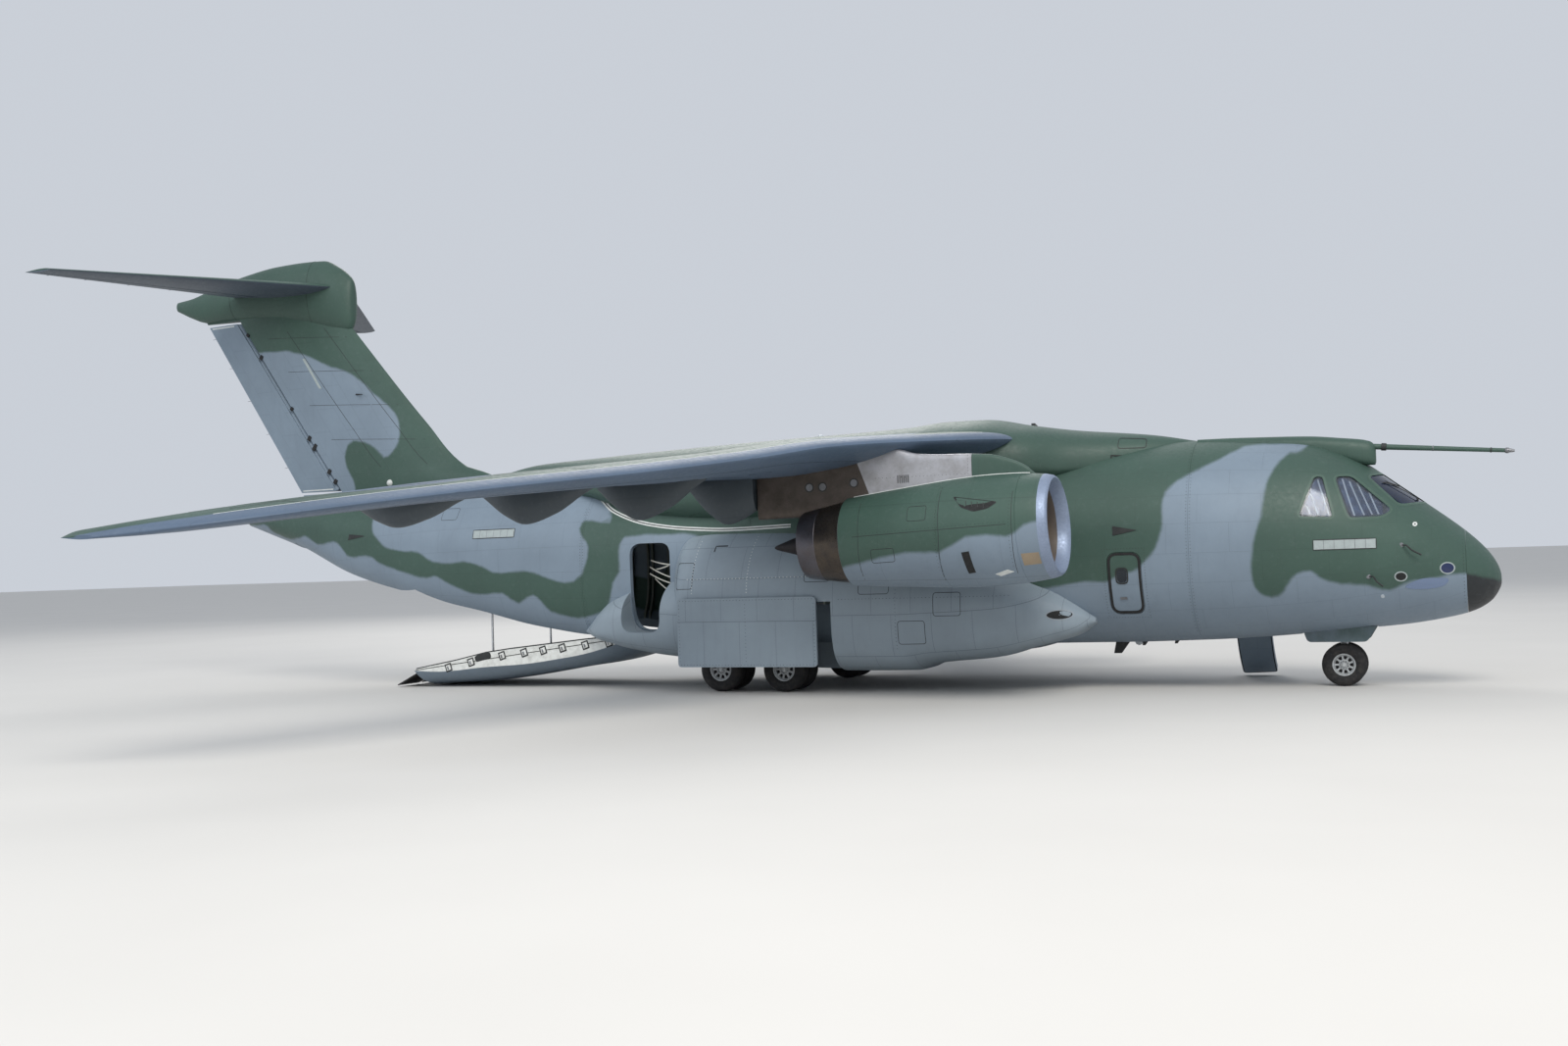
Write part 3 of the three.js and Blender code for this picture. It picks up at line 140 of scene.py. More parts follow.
# Camouflage edges: station and height on the body, green inside the first two outlines and outside the third
GREEN_NOSE = [
    (-1.5, 2.31), (0.68, 2.31), (1.2, 2.25), (1.64, 2.2), (1.96, 2.04), (2.18, 2.0), (2.44, 2.13),
    (3.05, 2.19), (3.32, 2.27), (3.51, 2.45), (3.71, 2.44), (3.9, 2.31), (4.06, 2.07), (4.25, 1.94),
    (4.46, 1.96), (4.63, 2.13), (4.68, 2.43), (4.65, 2.82), (4.57, 3.2), (4.44, 3.58), (4.4, 3.92),
    (4.32, 4.32), (4.17, 4.66), (3.94, 4.92), (3.6, 5.1), (3.3, 7.2), (-1.5, 7.2),
]
GREEN_BODY = [
    (3.2, 7.2), (3.3, 5.22), (3.8, 5.15), (4.73, 5.13), (5.04, 5.0), (5.44, 4.78), (5.85, 4.57),
    (6.13, 4.4), (6.35, 4.23), (6.41, 3.92), (6.4, 3.55), (6.46, 3.24), (6.6, 2.93), (6.82, 2.73),
    (7.04, 2.55), (7.35, 2.48), (7.63, 2.33), (8.0, 2.34), (8.5, 2.3), (10.5, 2.1), (13.0, 2.45),
    (16.0, 2.9), (17.2, 3.63), (18.2, 3.71), (19.06, 3.7), (19.29, 3.6), (19.35, 3.3), (19.32, 2.88),
    (19.54, 2.58), (19.64, 2.22), (19.82, 1.95), (20.29, 1.77), (20.66, 1.74), (21.14, 1.83), (21.47, 1.97),
    (21.68, 2.26), (21.93, 2.32), (22.26, 2.14), (22.49, 2.18), (22.76, 2.4), (23.56, 2.38), (24.1, 2.52),
    (24.5, 2.69), (24.89, 2.86), (25.33, 2.83), (26.27, 3.08), (26.8, 3.23), (27.24, 3.46), (27.93, 3.43),
    (28.18, 3.66), (28.47, 3.87), (29.22, 3.83), (29.61, 4.07), (29.96, 4.03), (30.52, 4.01), (31.27, 4.25),
    (31.66, 4.47), (34.0, 4.7), (34.0, 7.2),
]
GREY_REAR = [
    (27.1, 4.26), (26.95, 3.95), (26.58, 3.68), (26.15, 3.57), (25.54, 3.52), (25.2, 3.35), (24.87, 3.22),
    (24.3, 3.19), (23.81, 3.21), (23.34, 3.07), (22.88, 2.9), (22.04, 2.93), (21.6, 2.81), (21.17, 2.68),
    (20.74, 2.63), (20.45, 2.75), (20.26, 3.08), (20.22, 3.51), (20.43, 3.76), (20.54, 4.01), (20.39, 4.12),
    (20.03, 4.08), (19.73, 4.01), (19.72, 4.3), (20.3, 4.8), (22.0, 5.02), (24.0, 4.96), (26.0, 4.86),
    (27.0, 4.66),
]
GREY_FIN = [
    (31.6, 9.35), (31.07, 9.36), (30.34, 9.19), (29.77, 8.91), (29.13, 8.68), (28.56, 8.4), (28.09, 7.98),
    (27.67, 7.66), (27.34, 7.3), (27.18, 6.89), (27.23, 6.5), (27.48, 6.21), (27.72, 6.14), (27.92, 6.37),
    (28.27, 6.59), (28.69, 6.67), (28.94, 6.55), (29.05, 6.27), (28.99, 5.92), (28.83, 5.62), (28.8, 5.3),
    (29.0, 4.6), (37.0, 4.6), (37.0, 9.4),
]
NACELLE_EDGE = [
    (7.0, 3.8), (8.14, 3.61), (8.41, 3.51), (8.64, 3.36), (8.91, 3.31), (9.18, 3.36), (9.46, 3.36),
    (9.75, 3.26), (10.09, 3.07), (10.36, 3.03), (10.69, 3.09), (10.95, 3.06), (11.16, 2.96), (11.57, 2.95),
    (13.6, 2.9), (13.6, 6.0), (7.0, 6.0),
]
# Grey patches on the wing's upper face: station and distance out
GREY_WING = [
    [(11.2, 3.4), (12.4, 2.7), (13.9, 3.3), (14.6, 4.6), (14.1, 5.9), (12.9, 6.4), (11.6, 5.4)],
    [(14.6, 7.6), (15.8, 7.0), (17.2, 7.6), (17.6, 9.0), (16.9, 10.3), (15.9, 10.1), (15.0, 9.0)],
    [(16.2, 12.2), (17.3, 11.5), (18.6, 12.2), (19.3, 13.6), (18.5, 14.6), (17.2, 14.2)],
]
GREY_TAILPLANE = [(30.6, 2.0), (31.6, 1.4), (32.9, 2.0), (33.4, 3.4), (33.0, 4.4), (32.1, 4.0), (31.3, 3.1)]
# Width of the wing's grey leading edge, and a distance that stands for all green or, negative, all grey
GREY_EDGE = 0.42
FAR = 9.0


def at(station, across, height):
    return Vector((NOSE_X - station, across, height))


def smooth_table(rows, root=False):
    """A function that gives the table's columns at any value of its first one, without overshoot."""
    table = np.array(rows, float)
    key, values = table[:, 0], table[:, 1:]
    if root:
        key = np.sqrt(key)
    step = np.diff(key)[:, None]
    slope = np.diff(values, axis=0) / step
    tangent = np.zeros_like(values)
    tangent[0], tangent[-1] = slope[0], slope[-1]
    before, after = slope[:-1], slope[1:]
    same = before * after > 0
    first, second = 2 * step[1:] + step[:-1], step[1:] + 2 * step[:-1]
    safe_before, safe_after = np.where(same, before, 1), np.where(same, after, 1)
    tangent[1:-1] = np.where(same, (first + second) / (first / safe_before + second / safe_after), 0)

    def look(place):
        place = np.atleast_1d(np.asarray(place, float))
        if root:
            place = np.sqrt(np.maximum(place, 0))
        place = np.clip(place, key[0], key[-1])
        row = np.clip(np.searchsorted(key, place, side="right") - 1, 0, len(key) - 2)
        width = step[row]
        part = (place[:, None] - key[row][:, None]) / width
        return (
            (1 + 2 * part) * (1 - part) ** 2 * values[row]
            + part * (1 - part) ** 2 * width * tangent[row]
            + part ** 2 * (3 - 2 * part) * values[row + 1]
            + part ** 2 * (part - 1) * width * tangent[row + 1]
        )

    return look


body_at = smooth_table(BODY, root=True)
back_at = smooth_table(BACK)
wing_at = smooth_table(WING)
airfoil_at = smooth_table([(math.sqrt(part), height) for part, height in AIRFOIL])
fin_at = smooth_table(FIN)
bullet_at = smooth_table([(math.sqrt(row[0] - BULLET[0][0]), *row[1:]) for row in BULLET])
tailplane_at = smooth_table(TAILPLANE)


def skin_half(station, height):
    """Half width of the body's skin at stations and heights."""
    bottom, top, half, waist, below = body_at(station).T
    height = np.atleast_1d(height)
    up = height > waist
    part = np.clip(
        np.where(up, (height - waist) / (top - waist), (waist - height) / (waist - bottom)), 0, 1,
    )
    power = np.where(up, 2, below)
    return half * (1 - part ** power) ** (1 / power)


def section(middle, half, low, high, waist, below, above, angles):
    """Points across and up round one section."""
    across, rise = np.cos(angles), np.sin(angles)
    power = 2 / np.where(rise > 0, above, below)
    y = middle + np.sign(across) * np.abs(across) ** power * half
    z = waist + np.abs(rise) ** power * np.where(rise > 0, high - waist, low - waist)
    return y, z


def rings(stations, columns, count, above=2.0, middle=0.0):
    """Rings of points at stations; columns are half, low, high, waist and below for each."""
    angles = (np.arange(count) + 0.5) / count * 2 * math.pi
    out = np.zeros((len(stations), count, 3))
    for i, (station, (half, low, high, waist, below)) in enumerate(zip(stations, columns)):
        y, z = section(middle, half, low, high, waist, below, above, angles)
        out[i, :, 0], out[i, :, 1], out[i, :, 2] = NOSE_X - station, y, z
    return out


def body_rings(stations, inset=0.0):
    values = body_at(stations)
    columns = [
        (half - inset, low + inset, high - inset, waist, below)
        for low, high, half, waist, below in values
    ]
    return rings(stations, columns, BODY_POINTS)


def grid_faces(rows, count, start=0, flip=False):
    faces = []
    for row in range(rows - 1):
        for i in range(count):
            a, b = start + row * count + i, start + row * count + (i + 1) % count
            face = (a, b, b + count, a + count)
            faces.append(face[::-1] if flip else face)
    return faces


def placed(mesh):
    """A new object for a mesh, in the scene."""
    obj = bpy.data.objects.new("part", mesh)
    bpy.context.scene.collection.objects.link(obj)
    return obj


def link(points, faces):
    mesh = bpy.data.meshes.new("part")
    mesh.from_pydata([tuple(map(float, point)) for point in points], [], [tuple(face) for face in faces])
    obj = placed(mesh)
    outward(obj)
    return obj


def outward(obj):
    """Turns the faces outward, judged by the closed mesh's volume."""
    mesh = obj.data
    mesh.calc_loop_triangles()
    volume = 0.0
    for tri in mesh.loop_triangles:
        a, b, c = (mesh.vertices[i].co for i in tri.vertices)
        volume += a.dot(b.cross(c))
    if volume < 0:
        mesh.flip_normals()
    mesh.update()


def loft(points):
    """A closed solid through rings of equal count, with a fan at each end."""
    rows, count, _ = points.shape
    flat = list(points.reshape(-1, 3)) + [points[0].mean(0), points[-1].mean(0)]
    faces = grid_faces(rows, count)
    head, tail, last = rows * count, rows * count + 1, (rows - 1) * count
    for i in range(count):
        nxt = (i + 1) % count
        faces.append((head, nxt, i))
        faces.append((tail, last + i, last + nxt))
    return link(flat, faces)


def prism(outline, start, end, axis="y"):
    """An outline extruded: of station and height across the body, or of station and distance out upward."""
    count = len(outline)
    points = []
    for level in (start, end):
        for a, b in outline:
            points.append(at(a, level, b) if axis == "y" else at(a, b, level))
    faces = [tuple(range(count - 1, -1, -1)), tuple(range(count, 2 * count))]
    for i in range(count):
        nxt = (i + 1) % count
        faces.append((i, nxt, count + nxt, count + i))
    return link(points, faces)


def rectangle(front, aft, low, high):
    return ((front, low), (aft, low), (aft, high), (front, high))


def box(front, aft, low_y, high_y, low, high):
    return prism(rectangle(front, aft, low, high), low_y, high_y)


def ellipse(centre, wide, tall, count=20):
    """Places round an ellipse."""
    angles = np.linspace(0, 2 * math.pi, count + 1)[:-1]
    return [(centre[0] + wide * math.cos(a), centre[1] + tall * math.sin(a)) for a in angles]


def rounded(outline, radius, steps=6):
    """The outline with its corners rounded."""
    out = []
    count = len(outline)
    for i in range(count):
        corner = np.array(outline[i], float)
        before = np.array(outline[i - 1], float) - corner
        after = np.array(outline[(i + 1) % count], float) - corner
        reach = min(radius, 0.45 * np.linalg.norm(before), 0.45 * np.linalg.norm(after))
        start = corner + before / np.linalg.norm(before) * reach
        end = corner + after / np.linalg.norm(after) * reach
        for step in range(steps + 1):
            t = step / steps
            out.append(tuple((1 - t) ** 2 * start + 2 * t * (1 - t) * corner + t * t * end))
    return out


def door_outline(door, grow=0.0):
    """Side outline of a door with round corners, grown outward."""
    corners = rectangle(door["fwd"] - grow, door["aft"] + grow, door["low"] - grow, door["high"] + grow)
    return rounded(corners, door["round"] * 1.6 + grow)


def grown(outline, by):
    """The outline moved outward along its corner normals."""
    points = np.array(outline, float)
    before, after = points - np.roll(points, 1, 0), np.roll(points, -1, 0) - points
    normals = []
    for a, b in zip(before, after):
        a, b = a / (np.linalg.norm(a) or 1), b / (np.linalg.norm(b) or 1)
        first, second = np.array((a[1], -a[0])), np.array((b[1], -b[0]))
        middle = first + second
        normals.append(middle / max(0.4, 1 + first @ second))
    area = sum(p[0] * q[1] - q[0] * p[1] for p, q in zip(points, np.roll(points, -1, 0)))
    return [tuple(p) for p in points + np.array(normals) * by * (1 if area > 0 else -1)]


def applied(obj):
    """The object with its modifiers applied to its mesh."""
    depsgraph = bpy.context.evaluated_depsgraph_get()
    mesh = bpy.data.meshes.new_from_object(obj.evaluated_get(depsgraph))
    obj.modifiers.clear()
    old, obj.data = obj.data, mesh
    bpy.data.meshes.remove(old)
    return obj


def boolean(obj, other, operation="DIFFERENCE", keep=False):
    """Cuts, joins or intersects obj with another closed piece."""
    modifier = obj.modifiers.new("cut", "BOOLEAN")
    modifier.operation, modifier.solver, modifier.object = operation, "MANIFOLD", other
    applied(obj)
    if not keep:
        remove(other)
    return obj


def remove(obj):
    mesh = obj.data
    bpy.data.objects.remove(obj)
    bpy.data.meshes.remove(mesh)


def merged(parts):
    """Several meshes as one object, with their materials kept."""
    points, faces, picks, slots = [], [], [], []
    for part in parts:
        start = len(points)
        points += [tuple(v.co) for v in part.data.vertices]
        local = []
        for material in part.data.materials:
            if material not in slots:
                slots.append(material)
            local.append(slots.index(material))
        for face in part.data.polygons:
            faces.append(tuple(start + i for i in face.vertices))
            picks.append(local[face.material_index] if local else 0)
    mesh = bpy.data.meshes.new("part")
    mesh.from_pydata(points, [], faces)
    for material in slots:
        mesh.materials.append(material)
    mesh.polygons.foreach_set("material_index", picks)
    mesh.update()
    for part in parts:
        remove(part)
    return placed(mesh)


def lathe(profile, count=48, start=(0, 0, 0), axis=(1, 0, 0)):
    """A closed ring of profile points, distance along the axis and radius, turned about the axis."""
    along = Vector(axis).normalized()
    side = along.orthogonal().normalized()
    other = along.cross(side)
    points, faces = [], []
    for step in range(count):
        angle = 2 * math.pi * step / count
        out = side * math.cos(angle) + other * math.sin(angle)
        points += [Vector(start) + along * a + out * max(r, 0.0005) for a, r in profile]
    rows = len(profile)
    for step in range(count):
        for i in range(rows):
            a, b = step * rows + i, step * rows + (i + 1) % rows
            c, d = ((step + 1) % count) * rows + (i + 1) % rows, ((step + 1) % count) * rows + i
            faces.append((a, b, c, d))
    return link(points, faces)


def rod(start, end, radius, end_radius=None, count=20, bevel=0.0):
    """A round bar with slightly rounded ends."""
    start, end = Vector(start), Vector(end)
    length = (end - start).length
    end_radius = radius if end_radius is None else end_radius
    edge = bevel or min(radius, end_radius, length) * 0.15
    profile = [
        (0, 0), (0, radius - edge), (edge, radius), (length - edge, end_radius),
        (length, end_radius - edge), (length, 0),
    ]
    return lathe(profile, count, start, end - start)


def bent_tube(path, radius, count=12, closed=False):
    """A tube along a path of points."""
    path = [Vector(point) for point in path]
    rows = []
    normal = None
    for i, point in enumerate(path):
        ahead = path[(i + 1) % len(path)] if closed else path[min(i + 1, len(path) - 1)]
        back = path[i - 1] if closed else path[max(i - 1, 0)]
        along = (ahead - back).normalized()
        normal = along.orthogonal() if normal is None else normal - along * normal.dot(along)
        normal.normalize()
        other = along.cross(normal)
        angles = [2 * math.pi * k / count for k in range(count)]
        rows.append([tuple(point + (normal * math.cos(a) + other * math.sin(a)) * radius) for a in angles])
    if closed:
        flat = [p for row in rows for p in row]
        faces = []
        for row in range(len(rows)):
            for i in range(count):
                a, b = row * count + i, row * count + (i + 1) % count
                nxt = ((row + 1) % len(rows)) * count
                faces.append((a, b, nxt + (i + 1) % count, nxt + i))
        return link(flat, faces)
    return loft(np.array(rows))


def rounded_block(centre, size, bevel=0.01, turn=None):
    """A block with bevelled edges, turned about its centre."""
    mesh = bpy.data.meshes.new("part")
    solid = bmesh.new()
    bmesh.ops.create_cube(solid, size=1)
    bmesh.ops.scale(solid, vec=size, verts=solid.verts)
    reach = min(bevel, min(size) * 0.45)
    bmesh.ops.bevel(solid, geom=solid.edges[:], offset=reach, segments=2, affect="EDGES", profile=0.6)
    if turn is not None:
        bmesh.ops.transform(solid, matrix=turn, verts=solid.verts)
    bmesh.ops.translate(solid, vec=centre, verts=solid.verts)
    solid.to_mesh(mesh)
    solid.free()
    return placed(mesh)


# Signed distance to outlines, for the camouflage
def curve_outline(points):
    """The outline with its corners joined by a smooth curve."""
    ring, steps = np.array(points, float), 3
    p0, p1, p2, p3 = np.roll(ring, 1, 0), ring, np.roll(ring, -1, 0), np.roll(ring, -2, 0)
    out = []
    for step in range(steps):
        t = step / steps
        bend, twist = 2 * p0 - 5 * p1 + 4 * p2 - p3, 3 * p1 - p0 - 3 * p2 + p3
        out.append(0.5 * (2 * p1 + (p2 - p0) * t + bend * t * t + twist * t ** 3))
    return np.stack(out, 1).reshape(-1, 2)


CHUNK = 4000


def inside(points, outline):
    """Distance to a closed outline, positive inside it."""
    curve = curve_outline(outline)
    start, run = curve, np.roll(curve, -1, 0) - curve
    result = np.zeros(len(points))
    for first in range(0, len(points), CHUNK):
        part = points[first:first + CHUNK]
        rel = part[:, None, :] - start[None]
        share = np.clip((rel * run).sum(2) / np.maximum((run ** 2).sum(1), 1e-9), 0, 1)
        distance = np.sqrt(((rel - share[..., None] * run) ** 2).sum(2)).min(1)
        y0, y1 = start[:, 1], start[:, 1] + run[:, 1]
        crosses = (y0 > part[:, 1:2]) != (y1 > part[:, 1:2])
        x = start[:, 0] + (part[:, 1:2] - y0) * run[:, 0] / np.where(run[:, 1] == 0, 1e-9, run[:, 1])
        odd = (crosses & (part[:, :1] < x)).sum(1) % 2 == 1
        result[first:first + CHUNK] = np.where(odd, distance, -distance)
    return result


def side_view(co):
    return np.stack((NOSE_X - co[:, 0], co[:, 2]), 1)


def body_camo(co, normals):
    seen = side_view(co)
    green = np.maximum(inside(seen, GREEN_NOSE), inside(seen, GREEN_BODY))
    return np.minimum(green, -inside(seen, GREY_REAR))


def fin_camo(co, normals):
    return -inside(side_view(co), GREY_FIN)


def nacelle_camo(co, normals):
    return inside(side_view(co), NACELLE_EDGE)


def wing_camo(co, normals):
    """Green above with grey patches, a grey leading edge, grey below."""
    station, out = NOSE_X - co[:, 0], np.abs(co[:, 1])
    edge = station - wing_at(out)[:, 0]
    plan = np.stack((station, out), 1)
    field = np.minimum(edge - GREY_EDGE, 0.6)
    for outline in GREY_WING:
        field = np.minimum(field, -inside(plan, outline))
    return np.where(normals[:, 2] > 0, field, -FAR)


def tailplane_camo(co, normals):
    plan = np.stack((NOSE_X - co[:, 0], np.abs(co[:, 1])), 1)
    return np.where(normals[:, 2] > -0.2, -inside(plan, GREY_TAILPLANE), -FAR)


def all_green(co, normals):
    return np.full(len(co), FAR)


def all_grey(co, normals):
    return np.full(len(co), -FAR)


def side_skin(co, normals):
    """Distances along and round the body, for panel lines."""
    angle = np.arctan2(np.abs(co[:, 1]), co[:, 2] - BODY_WAIST)
    return np.stack((NOSE_X - co[:, 0], angle * BODY_HALF, np.zeros(len(co))), 1)


def plan_skin(co, normals):
    """Distances out and aft of the swept wing's leading edge."""
    out = np.abs(co[:, 1])
    return np.stack((out, NOSE_X - co[:, 0] - out * WING_SWEEP, np.zeros(len(co))), 1)


def upright_skin(co, normals):
    """Heights and distances aft of the swept fin's leading edge."""
    return np.stack((co[:, 2], NOSE_X - co[:, 0] - co[:, 2] * FIN_SWEEP, np.zeros(len(co))), 1)


def coat(obj, camo, skin):
    """Writes the camouflage distance and the panel coordinates on the mesh's points."""
    mesh = obj.data
    count = len(mesh.vertices)
    co, normals = np.zeros(count * 3), np.zeros(count * 3)
    mesh.vertices.foreach_get("co", co)
    mesh.vertices.foreach_get("normal", normals)
    co, normals = co.reshape(-1, 3), normals.reshape(-1, 3)
    field, places = camo(co, normals).astype(np.float32), skin(co, normals).astype(np.float32)
    mesh.attributes.new("camo", "FLOAT", "POINT").data.foreach_set("value", field)
    mesh.attributes.new("skin", "FLOAT_VECTOR", "POINT").data.foreach_set("vector", places.ravel())


# Materials
class Shader:
    """A small builder of node materials round one Principled shader."""

    def __init__(self, name):
        self.material = bpy.data.materials.new(name)
        self.material.use_nodes = True
        self.tree = self.material.node_tree
        self.base = next(n for n in self.tree.nodes if n.type == "BSDF_PRINCIPLED")

    def node(self, kind, inputs=None, **settings):
        made = self.tree.nodes.new(kind)
        for key, value in settings.items():
            setattr(made, key, value)
        for key, value in (inputs or {}).items():
            self.feed(made.inputs[key], value)
        return made

    def feed(self, socket, value):
        if isinstance(value, bpy.types.NodeSocket):
            self.tree.links.new(value, socket)
        elif isinstance(value, (tuple, list)) and len(value) == 3 and socket.type == "RGBA":
            socket.default_value = (*value, 1)
        else:
            socket.default_value = value

    def set(self, **values):
        for key, value in values.items():
            self.feed(self.base.inputs[key.replace("_", " ")], value)

    def position(self, scale=(1, 1, 1)):
        coords = self.node("ShaderNodeTexCoord")
        if scale == (1, 1, 1):
            return coords.outputs["Object"]
        return self.node(
            "ShaderNodeMapping", {"Vector": coords.outputs["Object"], "Scale": scale},
        ).outputs[0]

    def noise(self, scale, detail=3, rough=0.5, stretch=(1, 1, 1)):
        return self.node(
            "ShaderNodeTexNoise", {
                "Vector": self.position(stretch), "Scale": scale, "Detail": detail, "Roughness": rough,
            }
        ).outputs["Fac"]

    def math(self, operation, a, b=0.0, c=0.0):
        made = self.node("ShaderNodeMath", operation=operation)
        for i, value in enumerate((a, b, c)):
            self.feed(made.inputs[i], value)
        return made.outputs[0]

    def span(self, value, low, high, to_low=0.0, to_high=1.0, smooth=False):
        made = self.node("ShaderNodeMapRange", {0: value, 1: low, 2: high, 3: to_low, 4: to_high})
        if smooth:
            made.interpolation_type = "SMOOTHSTEP"
        return made.outputs[0]

    def mix(self, a, b, share, blend="MIX"):
        made = self.node("ShaderNodeMix", data_type="RGBA", blend_type=blend)
        self.feed(made.inputs[0], share)
        self.feed(made.inputs[6], a)
        self.feed(made.inputs[7], b)
        return made.outputs[2]

    def bump(self, height, strength=0.2, distance=0.01, normal=None):
        inputs = {"Height": height, "Strength": strength, "Distance": distance}
        if normal is not None:
            inputs["Normal"] = normal
        return self.node("ShaderNodeBump", inputs).outputs[0]


def srgb(r, g, b):
    """A colour written as it looks on screen, 0 to 255, as linear values."""
    out = []
    for value in (r, g, b):
        value /= 255
        out.append(value / 12.92 if value <= 0.04045 else ((value + 0.055) / 1.055) ** 2.4)
    return tuple(out)


GREEN = srgb(60, 84, 75)
GREY = srgb(121, 136, 150)


def paint(name, light, dark=None, panels=(1.27, 0.62), lines=0.2, wear=0.5):
    """Matt aircraft paint: camouflage with soft edges, panel lines, rivets, weathering and faint streaks."""
    s = Shader(name)
    colour = light
    if dark is not None:
        camo = s.node("ShaderNodeAttribute", attribute_name="camo").outputs["Fac"]
        wavy = s.math("MULTIPLY", s.math("SUBTRACT", s.noise(1.6, 4, 0.6), 0.5), 0.12)
        share = s.span(s.math("ADD", camo, wavy), -0.05, 0.05, smooth=True)
        colour = s.mix(light, dark, share)
    patchy = s.span(s.noise(0.55, 5, 0.6), 0.3, 0.7, 0.9, 1.08)
    shade = s.node("ShaderNodeCombineColor", {0: patchy, 1: patchy, 2: patchy}).outputs[0]
    colour = s.mix(colour, shade, 1.0, "MULTIPLY")
    streak = s.span(s.noise(2.2, 4, 0.65, stretch=(3.2, 3.2, 0.35)), 0.52, 0.78, 0, 0.16 * wear)
    colour = s.mix(colour, srgb(70, 72, 70), streak)
    chalk = s.span(s.noise(9, 5, 0.7), 0.55, 0.8, 0, 0.06)
    colour = s.mix(colour, srgb(168, 176, 178), chalk)
    skin = s.node("ShaderNodeAttribute", attribute_name="skin").outputs["Vector"]
    brick = {"Vector": skin, "Color1": (1, 1, 1), "Color2": (1, 1, 1), "Mortar": (0, 0, 0), "Scale": 1.0,
             "Mortar Smooth": 0.1, "Brick Width": panels[0], "Row Height": panels[1]}
    seam, zone, core = (
        s.node("ShaderNodeTexBrick", {**brick, "Mortar Size": wide}, offset=0.5).outputs["Fac"]
        for wide in (0.005, 0.034, 0.022)
    )
    dots = s.node(
        "ShaderNodeTexVoronoi", {"Vector": skin, "Scale": 24.0, "Randomness": 0.0},
    ).outputs["Distance"]
    rivet = s.math(
        "MULTIPLY", s.span(dots, 0.16, 0.24, 1, 0), s.math("MULTIPLY", zone, s.math("SUBTRACT", 1.0, core)),
    )
    colour = s.mix(colour, srgb(38, 44, 46), s.math("MULTIPLY", seam, lines))
    colour = s.mix(colour, srgb(60, 66, 68), s.math("MULTIPLY", rivet, 0.12))
    gloss = s.span(s.noise(14, 4, 0.6), 0.3, 0.75, 0.43, 0.62)
    relief = s.math("SUBTRACT", s.math("MULTIPLY", s.noise(40, 2, 0.5), 0.04), seam)
    s.set(Base_Color=colour, Roughness=gloss, Metallic=0.0, Specular_IOR_Level=0.42)
    s.set(Normal=s.bump(relief, 0.12, 0.004))
    return s.material


def metal(name, colour, stain=(0.1, 0.08, 0.07), roughness=0.34, grain=(1, 1, 1), amount=0.5, metallic=0.9):
    """Bare or heat-stained metal with brushed grain and blotches."""
    s = Shader(name)
    blotch = s.span(s.noise(3.2, 5, 0.62), 0.4, 0.75, 0, amount)
    fine = s.span(s.noise(26, 4, 0.6, stretch=grain), 0.35, 0.7, 0, 0.35)
    tone = s.mix(s.mix(colour, stain, blotch), tuple(c * 0.55 for c in colour), fine)
    s.set(Base_Color=tone, Metallic=metallic)
    s.set(Roughness=s.span(
        s.noise(18, 4, 0.6, stretch=grain), 0.3, 0.7, roughness - 0.08, roughness + 0.16,
    ))
    s.set(Normal=s.bump(s.noise(60, 3, 0.6, stretch=grain), 0.08, 0.003))
    return s.material


def plain(
    name, colour, grime_and_reflection_colour=(0.04, 0.04, 0.04), roughness=0.6, metallic=0.0, amount=0.35, scale=6.0, bump=0.1,
):
    """A small fitting's finish: one colour blotched with a second colour, and a slight texture; the blotches
    are soiling on most parts, and painted reflection of the sky in the inlet duct.
    """
    s = Shader(name)
    grime_and_reflection_mask = s.span(s.noise(scale, 5, 0.62), 0.42, 0.78, 0, amount)
    tone = s.mix(colour, grime_and_reflection_colour, grime_and_reflection_mask)
    fleck = s.span(s.noise(scale * 8, 3, 0.5), 0.55, 0.75, 0, 0.12)
    tone = s.mix(tone, tuple(min(1, c * 1.5 + 0.02) for c in colour), fleck)
    s.set(Base_Color=tone, Metallic=metallic)
    s.set(Roughness=s.span(s.noise(scale * 3, 4, 0.6), 0.3, 0.75, roughness - 0.08, roughness + 0.14))
    s.set(Normal=s.bump(s.noise(scale * 14, 3, 0.6), bump, 0.003))
    return s.material


def rubber(name):
    s = Shader(name)
    dust = s.span(s.noise(7, 5, 0.65), 0.45, 0.75, 0, 0.5)
    s.set(Base_Color=s.mix(srgb(30, 30, 32), srgb(92, 86, 78), s.math("MULTIPLY", dust, 0.6)), Metallic=0.0)
    s.set(Roughness=s.span(s.noise(20, 4, 0.6), 0.3, 0.7, 0.72, 0.92))
    s.set(Normal=s.bump(s.noise(90, 3, 0.6), 0.25, 0.002))
    return s.material


def glass(name, tint, roughness=0.04, gloss=0.5, clear=0.75):
    """Tinted glass; gloss is its specular level and clear the share of light that it passes."""
    s = Shader(name)
    haze = s.span(s.noise(5, 4, 0.6), 0.45, 0.8, roughness, roughness + 0.1)
    s.set(
        Base_Color=s.mix(tint, tuple(c * 0.75 for c in tint), s.noise(3, 3)), Metallic=0.0, Roughness=haze,
    )
    s.set(Transmission_Weight=clear, IOR=1.45, Specular_IOR_Level=gloss)
    return s.material


def lamp(name, tint):
    s = Shader(name)
    ripple = s.node(
        "ShaderNodeTexWave", {"Vector": s.position(), "Scale": 30.0, "Distortion": 1.0},
    ).outputs["Fac"]
    s.set(Base_Color=s.mix(tint, tuple(c * 0.6 for c in tint), ripple), Metallic=0.0)
    s.set(Roughness=s.span(ripple, 0, 1, 0.08, 0.2))
    s.set(Normal=s.bump(ripple, 0.15, 0.003))
    return s.material


